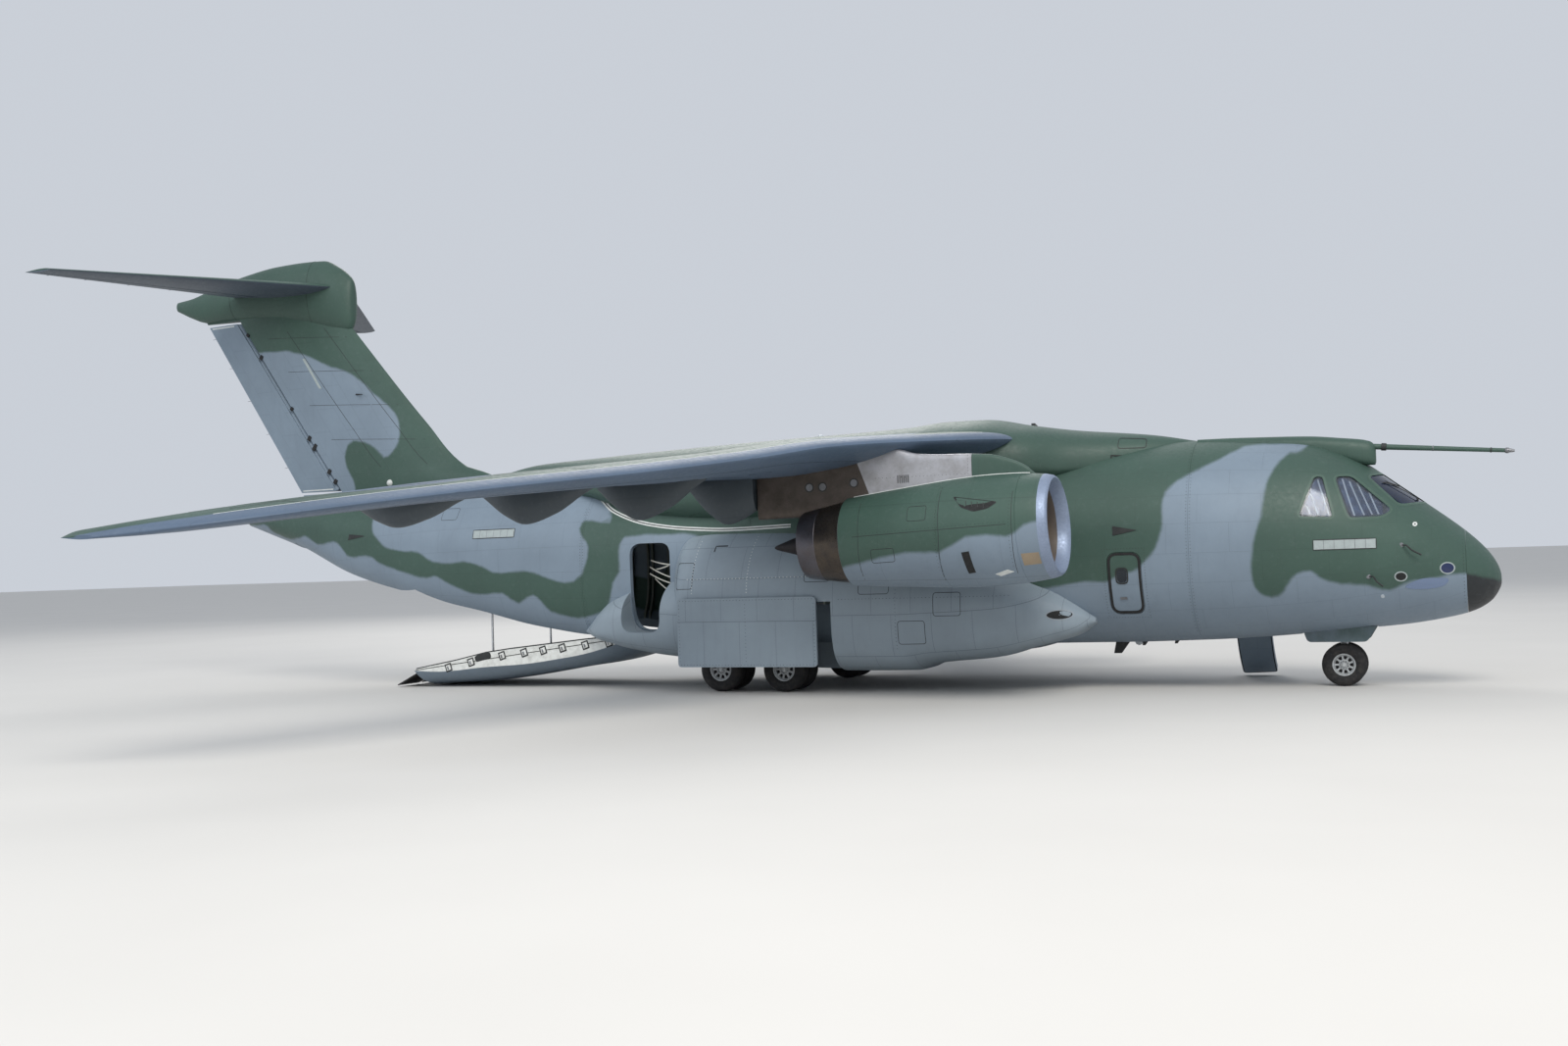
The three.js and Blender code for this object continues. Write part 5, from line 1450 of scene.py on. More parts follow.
def belly(station, across, lift=0.0):
    """A point under the skin at a station and a distance from the middle."""
    bottom, _, half, waist, below = body_at(station)[0]
    fall = (waist - bottom) * max(0.0, 1 - abs(across / half) ** below) ** (1 / below)
    return at(station, across, waist - fall + lift)


pod_at = smooth_table(POD)


def on_pod(side):
    def place(station, height):
        low, high, out, waist = pod_at(station)[0]
        up = height > waist
        part = min(1, abs(height - waist) / (high - waist if up else waist - low))
        power = POD_POWERS[1] if up else POD_POWERS[0]
        return at(
            station, side * (POD_MIDDLE + (out - POD_MIDDLE) * (1 - part ** power) ** (1 / power)), height,
        )
    return place


def on_gear_door(side):
    def place(station, height):
        return at(station, side * GEAR_DOOR_FACES[1], height)
    return place


def on_back(side):
    def place(station, height):
        top, half, waist, _ = back_at(station)[0]
        part = min(1.0, max(0.0, (height - waist) / (top - waist)))
        return at(station, side * half * (1 - part ** 2.6) ** (1 / 2.6), height)
    return place


def on_nacelle(side, face):
    backs, radii = zip(*NACELLE[1:18])
    droop = math.radians(ENGINE["droop"])

    def place(station, height):
        aft, up = station - ENGINE["front"], height - ENGINE["height"]
        back = aft * math.cos(droop) - up * math.sin(droop)
        rise = aft * math.sin(droop) + up * math.cos(droop)
        reach = math.sqrt(max(float(np.interp(back, backs, radii)) ** 2 - rise ** 2, 0.0001))
        return at(station, side * ENGINE["out"] + face * reach, height)
    return place


def chord_place(values, station):
    """Chord and half thickness at a station of one wing or fin section."""
    front, aft, thick = values
    chord = aft - front
    part = min(max((station - front) / chord, 0.0), 1.0)
    return part, float(airfoil(np.array([part]), chord, thick)[0])


def on_fin(side):
    def place(station, height):
        _, half = chord_place(fin_at(height)[0], station)
        return at(station, side * half, height)
    return place


def on_wing(side, face):
    def place(station, out):
        front, aft, height, thick, drop = wing_at(out)[0]
        part, half = chord_place((front, aft, thick), station)
        return at(station, side * out, height - drop * part + face * half)
    return place


pylon_at = smooth_table(PYLON)


def on_pylon(side, face):

    def place(station, height):
        low, high, half = pylon_at(station)[0]
        part = min(1.0, abs(height - (low + high) / 2) / ((high - low) / 2))
        return at(station, side * ENGINE["out"] + face * half * (1 - part ** 6) ** (1 / 6), height)
    return place


def normal_at(place, a, b, toward):
    """The surface's outward normal at two places, from points a small step away."""
    step = 0.01
    along = place(a + step, b) - place(a - step, b)
    over = place(a, b + step) - place(a, b - step)
    normal = along.cross(over).normalized()
    return -normal if normal.dot(toward) < 0 else normal


def patch(grid, place, toward, proud=PROUD, depth=0.012, closed=False, material=None):
    """A thin closed sheet on a surface, through rows of places on it."""
    rows, cols = len(grid), len(grid[0])
    tops, lows = [], []
    for row in grid:
        for a, b in row:
            spot, normal = place(a, b), normal_at(place, a, b, toward)
            tops.append(spot + normal * proud)
            lows.append(spot - normal * depth)
    count = rows * cols
    faces = []
    for r in range(rows - 1):
        for c in range(cols if closed else cols - 1):
            a, b = r * cols + c, r * cols + (c + 1) % cols
            faces.append((a, b, b + cols, a + cols))
            faces.append((count + a, count + a + cols, count + b + cols, count + b))
    for c in range(cols if closed else cols - 1):
        a, b = c, (c + 1) % cols
        faces.append((b, a, count + a, count + b))
        a, b = a + (rows - 1) * cols, b + (rows - 1) * cols
        faces.append((a, b, count + b, count + a))
    if not closed:
        for r in range(rows - 1):
            a, b = r * cols, (r + 1) * cols
            faces.append((a, b, count + b, count + a))
            a, b = a + cols - 1, b + cols - 1
            faces.append((b, a, count + a, count + b))
    obj = link(tops + lows, faces)
    if material is not None:
        obj.data.materials.append(material)
    return obj


def finer(path, step=0.08, closed=False):
    """The path with points added so that none are further apart than the step."""
    out = []
    points = [np.array(point, float) for point in path]
    runs = zip(points, points[1:] + points[:1]) if closed else zip(points, points[1:])
    for start, end in runs:
        count = max(1, math.ceil(np.linalg.norm(end - start) / step))
        out += [tuple(start + (end - start) * i / count) for i in range(count)]
    return out if closed else out + [tuple(points[-1])]


def ribbon(path, width, closed=False):
    """Two rows of places, one on each side of a path."""
    points = np.array(path, float)
    if closed:
        run = np.roll(points, -1, 0) - np.roll(points, 1, 0)
    else:
        run = np.vstack((points[1:], points[-1:])) - np.vstack((points[:1], points[:-1]))
    run /= np.maximum(np.linalg.norm(run, axis=1)[:, None], 1e-6)
    side = np.stack((-run[:, 1], run[:, 0]), 1) * width / 2
    return [points + side, points - side]


def quad(corners, across=4, down=4):
    """Rows of places inside four corners."""
    a, b, c, d = (np.array(corner, float) for corner in corners)
    grid = []
    for j in range(down + 1):
        v = j / down
        grid.append([
            tuple((a * (1 - u) + b * u) * (1 - v) + (d * (1 - u) + c * u) * v)
            for u in np.linspace(0, 1, across + 1)
        ])
    return grid


def disc(centre, radius):
    """Two rows of places: a small middle ring and an outer ring."""
    return [ellipse(centre, reach, reach) for reach in (0.001, radius)]


def studs(spots, place, toward, radius=0.007, proud=0.004, material=None, count=8):
    """Rivet heads on a surface, as one mesh."""
    points, faces = [], []
    for a, b in spots:
        spot, normal = place(a, b), normal_at(place, a, b, toward)
        side = normal.orthogonal().normalized()
        other = normal.cross(side)
        start = len(points)
        for lift, reach in ((-0.004, radius), (proud * 0.5, radius), (proud, radius * 0.55)):
            for i in range(count):
                angle = 2 * math.pi * i / count
                points.append(
                    spot + normal * lift + (side * math.cos(angle) + other * math.sin(angle)) * reach,
                )
        for ring in range(2):
            for i in range(count):
                low, nxt = start + ring * count + i, start + ring * count + (i + 1) % count
                faces.append((low, nxt, nxt + count, low + count))
        faces.append(tuple(start + 2 * count + i for i in range(count)))
        faces.append(tuple(start + i for i in reversed(range(count))))
    obj = link(points, faces)
    if material is not None:
        obj.data.materials.append(material)
    return obj


def band(front, aft, near, far, step=0.13):
    """A closed stretch of the body between two depths under the skin, open at both ends."""
    stations = spaced(front, aft, step)
    outer, inner = body_rings(stations, near), body_rings(stations, far)
    rows, count, _ = outer.shape
    start = rows * count
    faces = grid_faces(rows, count) + grid_faces(rows, count, start, flip=True)
    for a, b, turn in ((0, start, 1), (start - count, 2 * start - count, -1)):
        for i in range(count):
            nxt = (i + 1) % count
            faces.append((a + nxt, a + i, b + i, b + nxt)[::turn])
    return link(list(outer.reshape(-1, 3)) + list(inner.reshape(-1, 3)), faces)


class Skin:
    """A surface that thin things are laid on, the way it looks, and the list that they are added to."""

    def __init__(self, place, toward, parts):
        self.place, self.toward, self.parts = place, Vector(toward), parts

    def sheet(self, grid, material, proud=0.003, depth=0.01, closed=True):
        self.parts.append(patch(grid, self.place, self.toward, proud, depth, closed, material))

    def line(self, path, width, material, proud=0.002, depth=0.01, closed=False):
        self.sheet(ribbon(path, width, closed), material, proud, depth, closed)

    def outline(self, path, width, material, proud=0.003, closed=True, step=0.08):
        self.line(finer(path, step, closed), width, material, proud, closed=closed)

    def studs(self, spots, radius, proud, material):
        self.parts.append(studs(spots, self.place, self.toward, radius, proud, material, 6))


def pitched(obj, station, height, degrees):
    """Turns a mesh about an axis across the body; positive lifts what is aft."""
    middle = Matrix.Translation(at(station, 0, height))
    obj.data.transform(middle @ Matrix.Rotation(math.radians(degrees), 4, "Y") @ middle.inverted())
    return obj


# Cockpit windows
FRAME_WIDE = 0.045
# Near and far depth under the skin of the panes, frames, shades and their white stripes, the stripes being
# painted highlights of the shades' folds
PANE, FRAME, SHADE, STRIPE = (0.016, 0.034), (-0.004, 0.03), (0.09, 0.1), (0.078, 0.089)
# White stripes on the flat shades, painted highlights where light would catch the foil's folds: station at
# the lower end, station and height of the upper end
SHADE_FOLD_HIGHLIGHTS = {
    "side_rear": ((3.15, 3.37, 4.3), (3.35, 3.5, 4.02), (3.5, 3.57, 3.76)),
    "side_front": ((2.68, 2.91, 4.3), (2.5, 2.78, 4.25), (2.35, 2.64, 4.22), (2.23, 2.43, 4.05)),
}
SHADE_FRONT = {"side_rear": 3.0, "side_front": 2.16}


def windows():
    for name, side in SIDES:
        panes, frames, shades, rivets = Parts(), Parts(), Parts(), []
        for kind, near, outline in WINDOWS:
            corners = rounded(outline, 0.1)
            shield = kind == "windshield"
            pane = band(1.25, 3.95, *PANE, 0.09)
            boolean(pane, prism(grown(corners, -0.005), side * near, side * OUTSIDE), "INTERSECT")
            panes.add(shield_glass if shield else side_glass, pane)
            frame_ring = band(1.15, 4.05, *FRAME, 0.09)
            wide = prism(grown(corners, FRAME_WIDE), side * (near - 0.03), side * OUTSIDE)
            boolean(frame_ring, wide, "INTERSECT")
            boolean(frame_ring, prism(grown(corners, -0.004), side * near, side * 3.6))
            frames.add(frame_green, frame_ring)
            line = finer(grown(corners, FRAME_WIDE * 0.55), 0.055, closed=True)
            tops = body_at([station for station, _ in line])[:, 1]
            spots = [spot for spot, top in zip(line, tops) if spot[1] < top - 0.12]
            rivets.append(studs(spots, on_body(side), Vector((0.2, side, 0.2)), 0.006, 0.007, steel))
            if not shield:
                shade = band(SHADE_FRONT[kind], 3.95, *SHADE, 0.12)
                boolean(shade, prism(grown(corners, -0.03), side * near, side * OUTSIDE), "INTERSECT")
                shades.add(shade_cloth, shade)
                low = min(z for _, z in corners) + 0.04
                # Each stripe is a painted highlight, standing in for a lit fold of the foil.
                for foot, tip, high in SHADE_FOLD_HIGHLIGHTS[kind]:
                    fold = (
                        (foot - 0.016, low), (foot + 0.016, low), (tip + 0.014, high), (tip - 0.014, high),
                    )
                    stripe = band(1.9, 3.95, *STRIPE, 0.12)
                    boolean(stripe, prism(fold, side * near, side * OUTSIDE), "INTERSECT")
                    boolean(stripe, prism(grown(corners, -0.04), side * near, side * OUTSIDE), "INTERSECT")
                    shades.add(fold_highlight_paint, stripe)
        piece(f"window_panes_{name}", panes, nodes=("cockpit_glazing_" + name,))
        piece(f"window_frames_{name}", frames)
        piece(f"window_rivets_{name}", rivets)
        piece(f"window_shades_{name}", shades)
        foot, bend, tip = (
            roof(1.52, side * 0.42, 0.03), roof(1.74, side * 0.5, 0.035), roof(2.12, side * 0.66, 0.02),
        )
        blade = [
            roof(station, side * across, 0.012)
            for station, across in ((1.86, 0.36), (2.0, 0.55), (2.16, 0.78))
        ]
        arm = merged([
            bent_tube([foot, bend, tip], 0.009), bent_tube(blade, 0.011),
            rod(foot - Vector((0, 0, 0.05)), foot + Vector((0, 0, 0.02)), 0.022),
        ])
        piece(f"windshield_wiper_{name}", arm, dark_paint)


windows()


# Cockpit: floor, panel with screens, console with levers, padded seats
DECK = {"fwd": 1.9, "aft": 4.55, "low": 2.44, "high": 2.54}
SEAT_OUT = 0.56


def cushion(centre, size, turn=0.0):
    """A crowned pad: sides pulled in between the corners, fuller in the middle."""
    length, width, thick = size
    rows = []
    steps = np.linspace(-1, 1, 13)
    for u in steps:
        edge = (1 - abs(u) ** 6) ** 0.5 if abs(u) < 1 else 0.12
        loop = []
        for k in range(24):
            angle = 2 * math.pi * (k + 0.5) / 24
            across = math.copysign(abs(math.cos(angle)) ** 0.35, math.cos(angle))
            rise = math.copysign(abs(math.sin(angle)) ** 0.6, math.sin(angle))
            crown = 1 + 0.16 * (1 - across ** 2) * (1 - u ** 2) if rise > 0 else 1.0
            seam = 0.86 if abs(abs(across) - 0.62) < 0.06 and rise > 0.4 else 1.0
            waist = 1 - 0.05 * (1 - abs(u))
            loop.append((
                u * length / 2, across * width / 2 * waist, rise * thick / 2 * edge * crown * seam,
            ))
        rows.append(loop)
    pad = loft(np.array(rows))
    pad.data.transform(Matrix.Translation(centre) @ Matrix.Rotation(math.radians(turn), 4, "Y"))
    modifier = pad.modifiers.new("round", "SUBSURF")
    modifier.levels = 1
    return applied(pad)


def cockpit():
    deck = box(DECK["fwd"], DECK["aft"], -2.5, 2.5, DECK["low"], DECK["high"])
    boolean(deck, body_solid(1.35, 6.0, WALL + 0.004), "INTERSECT")
    finish(deck, floor_paint)
    inner = body_solid(1.35, 6.0, WALL + 0.045)
    panel = prism(((1.96, 2.5), (2.2, 2.5), (2.2, 3.28), (2.12, 3.33), (1.96, 3.33)), -1.15, 1.15)
    boolean(panel, inner, "INTERSECT", keep=True)
    parts = Parts([deck])
    parts.add(cabin_dark, panel)
    for across in (-0.86, -0.5, -0.14, 0.22, 0.58):
        parts.add(screen_glass, rounded_block(at(2.205, across + 0.14, 3.1), (0.02, 0.3, 0.22), 0.008))
    parts.add(cabin_dark, rounded_block(at(2.62, 0, 2.72), (0.94, 0.44, 0.44), 0.03))
    for across in (-0.06, 0.06):
        parts.add(
            steel, bent_tube([at(2.6, across, 2.9), at(2.56, across, 3.0), at(2.52, across, 3.06)], 0.009),
        )
        parts.add(black, rounded_block(at(2.51, across, 3.08), (0.05, 0.05, 0.05), 0.018))
    pads = []
    for _, side in SIDES:
        middle = side * SEAT_OUT
        base = rounded_block(at(3.05, middle, 2.65), (0.4, 0.3, 0.3), 0.03)
        pan = rounded_block(at(3.05, middle, 2.81), (0.52, 0.48, 0.04), 0.015)
        shell_back = rounded_block(
            at(3.44, middle, 3.26), (0.05, 0.46, 0.86), 0.02, Matrix.Rotation(math.radians(-12), 4, "Y"),
        )
        rails = [
            rounded_block(at(3.1, middle + reach, 3.06), (0.36, 0.05, 0.04), 0.015)
            for reach in (-0.235, 0.235)
        ]
        parts.add(cabin_dark, base, pan, shell_back, *rails)
        stick = bent_tube(
            [
                at(2.62, middle + side * 0.4, 2.56), at(2.6, middle + side * 0.4, 2.9),
                at(2.56, middle + side * 0.39, 3.02),
            ],
            0.016,
        )
        parts.add(black, stick)
        pads.append(cushion(at(3.04, middle, 2.875), (0.5, 0.45, 0.1)))
        pads.append(cushion(at(3.37, middle, 3.22), (0.66, 0.42, 0.1), 102))
        pads.append(cushion(at(3.47, middle, 3.68), (0.2, 0.28, 0.09), 100))
    remove(inner)
    piece("cockpit_dressed", parts, nodes=("cockpit_deck",))
    seats = merged(pads)
    piece("cockpit_seat_cushions", seats, seat_cloth)


cockpit()


# Doors in the body's sides
def wall_part(front, aft, outline, low_y, high_y):
    """The stretch of the body's wall inside a side outline."""
    part = band(front, aft, 0.0, WALL, 0.09)
    return boolean(part, prism(outline, low_y, high_y), "INTERSECT")


def door_trim(door, side, window, wide):
    """Dark rim, window and handle on a door's outer face."""
    skin = Skin(on_body(side), (0, side, 0), [])
    skin.outline(door_outline(door, -0.015 - wide / 2), wide, black)
    middle, height, reach = window
    angles = np.linspace(0, 2 * math.pi, 33)[:-1]
    corners = [
        [math.copysign(abs(wave) ** 0.5, wave) for wave in (math.cos(a), math.sin(a))]
        for a in angles
    ]
    ring_path = [(middle + (reach + 0.02) * a, height + (reach * 1.4 + 0.02) * b) for a, b in corners]
    pane_grid = [
        [
            (middle + reach * part * a, height + reach * 1.4 * part * b)
            for a, b in corners
        ] for part in (0.01, 1)
    ]
    skin.sheet(pane_grid, screen_glass, 0.002)
    skin.line(ring_path, 0.03, dark_paint, 0.008, closed=True)
    handle = quad(rectangle(middle - 0.07, middle + 0.07, height - 0.5, height - 0.45))
    skin.sheet(handle, steel, 0.012, closed=False)
    return skin.parts


def side_doors():
    exit_panel = wall_part(6.7, 7.8, door_outline(EXIT_DOOR, -0.01), -OUTSIDE, -0.3)
    piece("exit_door_skin", exit_panel, camouflage, nodes=("exit_door",), camo=body_camo)
    piece("exit_door_trim", door_trim(EXIT_DOOR, -1, (7.3, 2.45, 0.1), 0.055))

    closed = wall_part(17.8, 19.2, door_outline(PARA_DOOR, -0.01), 0.3, OUTSIDE)
    piece(
        "paratroop_door_left_skin", closed, camouflage, nodes=("paratroop_door_left",),
        camo=body_camo,
    )
    piece("paratroop_door_left_trim", door_trim(PARA_DOOR, 1, (18.51, 2.75, 0.12), 0.03))

    stored = band(17.98, 19.04, WALL + 0.07, WALL + 0.13, 0.13)
    boolean(stored, box(17, 20, -1.98, -0.92, 3.64, 4.78), "INTERSECT")
    coat(stored, all_grey, side_skin)
    ribs = band(17.99, 19.03, WALL + 0.055, WALL + 0.071, 0.13)
    boolean(ribs, box(17, 20, -1.95, -0.95, 3.7, 4.7), "INTERSECT")
    for low in (3.78, 4.06, 4.34):
        boolean(ribs, box(18.05, 18.97, -3, 0, low, low + 0.2))
    piece(
        "paratroop_door_right_skin", stored, camouflage, nodes=("paratroop_door_right",),
    )
    piece("ribs", ribs, cabin_paint)


side_doors()


CREW_HINGE = (1.53, 1.5)
CREW_LOWERED = 122


def crew_door():
    skin = wall_part(4.6, 5.7, door_outline(CREW_DOOR, -0.008), 0.3, OUTSIDE)
    finish(skin, camouflage)
    rim_line = finer(door_outline(CREW_DOOR, -0.03), 0.08, True)
    parts = Parts([patch(ribbon(rim_line, 0.02, True), on_body(1), Vector(PORT), 0.003, 0.01, True, black)])
    rails = {reach: [] for reach in (CREW_DOOR["fwd"] + 0.1, CREW_DOOR["aft"] - 0.1)}
    for step in range(5):
        height = 1.78 + 0.29 * step
        lining = float(skin_half(CREW_DOOR["aft"], height)[0]) - WALL
        parts.add(
            cabin_dark, rounded_block(at(5.13, lining - 0.07, height + 0.018), (0.6, 0.2, 0.033), 0.01),
        )
        for groove in range(4):
            parts.add(
                steel,
                rounded_block(
                    at(5.13, lining - 0.14 + groove * 0.042, height + 0.037), (0.56, 0.016, 0.006), 0.002,
                ),
            )
        for reach, path in rails.items():
            path.append(at(reach, lining - 0.16, height + 0.02))
            parts.add(
                cabin_dark,
                rounded_block(at(reach, lining - 0.05, height + 0.01), (0.02, 0.2, 0.07), 0.006),
            )
    for path in rails.values():
        parts.add(steel, bent_tube(path, 0.014))
    leaf = merged([skin, *parts])
    coat(leaf, body_camo, side_skin)
    hinge = Matrix.Translation((0, *CREW_HINGE))
    leaf.data.transform(hinge @ Matrix.Rotation(math.radians(-CREW_LOWERED), 4, "X") @ hinge.inverted())
    piece("crew_door_dressed", leaf, body="crew_door", nodes=("crew_door",))


crew_door()


# Refuelling probe on the cockpit roof
def probe():
    across = -0.39
    rows = [
        (2.27, 4.72, 4.9, 0.05), (2.31, 4.6, 5.02, 0.12), (2.4, 4.6, 5.1, 0.185), (2.6, 4.62, 5.15, 0.215),
        (2.9, 4.7, 5.19, 0.24), (3.6, 4.8, 5.27, 0.25), (4.6, 4.85, 5.31, 0.22), (5.3, 4.93, 5.33, 0.17),
        (5.9, 5.0, 5.335, 0.12),
    ]
    look = smooth_table(rows)
    stations = np.concatenate(([2.29, 2.31, 2.35], spaced(2.4, 5.9, 0.12)))
    columns = [(half, low, high, (low + high) / 2, 3.0) for low, high, half in look(stations)]
    hood = loft(rings(stations, columns, 40, 2.4, across))
    boolean(hood, body_solid(1.5, 7.0, 0.012))
    neck = at(-0.15, across, 4.762)
    parts = Parts()
    parts.add(camouflage, hood, rod(at(2.6, across, 5.005), neck, 0.062, 0.042, 28))
    run = (neck - at(2.6, across, 5.005)).normalized()
    for station, radius, wide, material in (
        (2.18, 0.078, 0.1, dark_paint), (1.2, 0.06, 0.02, steel), (0.12, 0.053, 0.03, dark_paint),
    ):
        start = at(station, across, 5.005 - (2.6 - station) * 0.0884)
        parts.add(material, rod(start, start + run * wide, radius, None, 28, 0.006))
    tip = at(-0.33, across, 4.746)
    head = lathe(
        [
            (0, 0), (0, 0.048), (0.03, 0.058), (0.07, 0.056), (0.08, 0.04), (0.12, 0.038), (0.15, 0.03),
            (0.18, 0.026), (0.18, 0),
        ],
        28, neck, tip - neck,
    )
    parts.add(steel, head)
    dressed = merged(parts)
    piece("refuelling_probe_dressed", dressed, nodes=("refuelling_probe",), camo=all_green)


probe()


# Ramp: closed shape first, then lowered about its hinge
RAMP = {
    "hinge": 19.1, "height": 1.0, "front": 19.14, "aft": 25.65, "half": 1.71, "curb": 1.6, "lowered": 17.7,
}
RAMP_FLOOR = ((19.06, 1.29), (25.8, 2.546))
RAMP_CURB = ((19.3, 1.38), (20.57, 1.67), (22.69, 2.12), (23.42, 2.255), (24.35, 2.35), (25.6, 2.52))
LATCHES = (19.9, 20.55, 21.2, 21.75, 22.3, 22.95, 23.9, 24.6)


def lowered(obj):
    return pitched(obj, RAMP["hinge"], RAMP["height"], -RAMP["lowered"])


def floor_height(station):
    (s0, z0), (s1, z1) = RAMP_FLOOR
    return z0 + (z1 - z0) * (station - s0) / (s1 - s0)


def under_floor(front, aft, low, lift):
    """Side outline from a height up to the ramp's floor, or to a little over it."""
    return ((front, low), (aft, low), (aft, floor_height(aft) + lift), (front, floor_height(front) + lift))


def curb_height(station):
    stations, heights = zip(*RAMP_CURB)
    return float(np.interp(station, stations, heights))


def tie_ring(spot, radius, lift, count):
    """A ring for lashings, lying a little over its spot."""
    path = [spot + Vector((a, b, lift)) for a, b in ellipse((0, 0), radius, radius, count)]
    return bent_tube(path, 0.006, 6, True)


def ramp():
    front, aft, half, curb = RAMP["front"], RAMP["aft"], RAMP["half"], RAMP["curb"]
    wedge = under_floor(front, aft, 0.3, 0)
    parts = Parts()
    deck = boolean(body_solid(18.9, 25.9), prism(wedge, -half, half), "INTERSECT")
    deck.data.materials.clear()
    for material in (camouflage, inner_paint, floor_paint):
        deck.data.materials.append(material)
    for face in deck.data.polygons:
        middle, normal = face.center, face.normal
        if normal.z > 0.8 or abs(normal.x) > 0.9:
            face.material_index = 2
        elif abs(middle.y) > half - 0.01 and abs(normal.y) > 0.9:
            face.material_index = 1
    parts.append(deck)
    for _, side in SIDES:
        outline = [*RAMP_CURB, (25.6, 0.5), (19.3, 0.5)]
        wall = boolean(body_solid(18.9, 25.9), prism(outline, side * curb, side * half), "INTERSECT")
        boolean(wall, prism(under_floor(19.2, 25.7, 0, -0.02), -2, 2))
        parts.add(inner_paint, wall)
        cap = [at(s, side * (curb + half) / 2, z + 0.004) for s, z in RAMP_CURB]
        parts.add(dark_paint, bent_tube(cap, 0.028, 10))
        for station in LATCHES:
            top, low = curb_height(station) - 0.03, curb_height(station) - 0.24
            case = rounded_block(
                at(station, side * (half - 0.004), (top + low) / 2), (0.2, 0.02, top - low), 0.012,
            )
            mouth = rounded_block(
                at(station, side * (half + 0.001), (top + low) / 2), (0.13, 0.014, (top - low) * 0.66),
                0.008,
            )
            hook = rounded_block(
                at(station + 0.02, side * (half + 0.002), (top + low) / 2 - 0.01), (0.05, 0.014, 0.1), 0.01,
            )
            parts.add(dark_paint, case)
            parts.add(inner_paint, mouth)
            parts.add(steel, hook)
    for number in range(16):
        station = 19.5 + number * 0.4
        parts.add(
            black,
            box(
                station, station + 0.06, -1.5, 1.5, floor_height(station) - 0.01,
                floor_height(station) + 0.012,
            ),
        )
    for across in (-1.2, -0.6, 0, 0.6, 1.2):
        for number in range(6):
            station = 20.0 + number
            spot = at(station, across, floor_height(station) + 0.006)
            ring = tie_ring(spot, 0.035, 0.012, 12)
            parts.add(steel, lathe([(0, 0), (0, 0.055), (0.006, 0.05), (0.008, 0)], 20, spot, UP), ring)
    for _, side in SIDES:
        rail = [(19.5, floor_height(19.5) - 0.01), (25.4, floor_height(25.4) - 0.01)]
        rail += [(station, height + 0.04) for station, height in reversed(rail)]
        parts.add(steel, prism(rail, side * 0.95, side * 1.0))
        lever = prism(
            rounded(((23.28, 2.08), (23.74, 2.12), (23.76, 2.26), (23.55, 2.3), (23.26, 2.22)), 0.05),
            side * (half - 0.005), side * (half + 0.008),
        )
        parts.add(dark_paint, lever)
    dressed = merged(parts)
    coat(dressed, all_grey, side_skin)
    lowered(dressed)
    piece("cargo_ramp_dressed", dressed, body="ramp", nodes=("cargo_ramp",))


ramp()


TOE = {"station": 25.82365, "height": 0.37626, "length": 0.76, "half": 1.5, "droop": 26, "tube": 0.024}


def toe():
    station, height = TOE["station"], TOE["height"]
    parts = Parts()
    parts.add(
        steel,
        rod(
            at(station, -TOE["half"], height), at(station, TOE["half"], height), TOE["tube"], None, 20,
            0.004,
        ),
    )
    for middle in (-1.03, 0, 1.03):
        parts.add(
            black,
            rounded_block(
                at(station + TOE["length"] / 2, middle, height), (TOE["length"] - 0.01, 0.918, 0.026),
                0.008,
            ),
        )
        for low, high in ((-0.45, -0.43), (0.43, 0.45)):
            edge = rounded_block(
                at(station + TOE["length"] / 2, middle + (low + high) / 2, height),
                (TOE["length"] - 0.03, 0.022, 0.028), 0.006,
            )
            parts.add(steel, edge)
        parts.add(
            steel,
            rounded_block(at(station + TOE["length"] - 0.03, middle, height), (0.04, 0.9, 0.028), 0.006),
        )
        for across in (-0.3, 0, 0.3):
            parts.add(
                dark_paint,
                rounded_block(
                    at(station + 0.36, middle + across, height + 0.012), (0.5, 0.06, 0.005), 0.002,
                ),
            )
            knuckle = rod(
                at(station, middle + across - 0.05, height), at(station, middle + across + 0.05, height),
                0.032, None, 16, 0.006,
            )
            parts.add(dark_paint, knuckle)
    for leaf in parts[1:]:
        pitched(leaf, station, height, -TOE["droop"])
    piece("ramp_toe_dressed", parts, body="toe", nodes=("ramp_toe",))


toe()


ROD = {"station": 23.57, "out": 1.38, "eye": 0.808, "top": 2.55, "radius": 0.03}
CYLINDER = {"low": 2.29, "high": 4.08, "radius": 0.065}


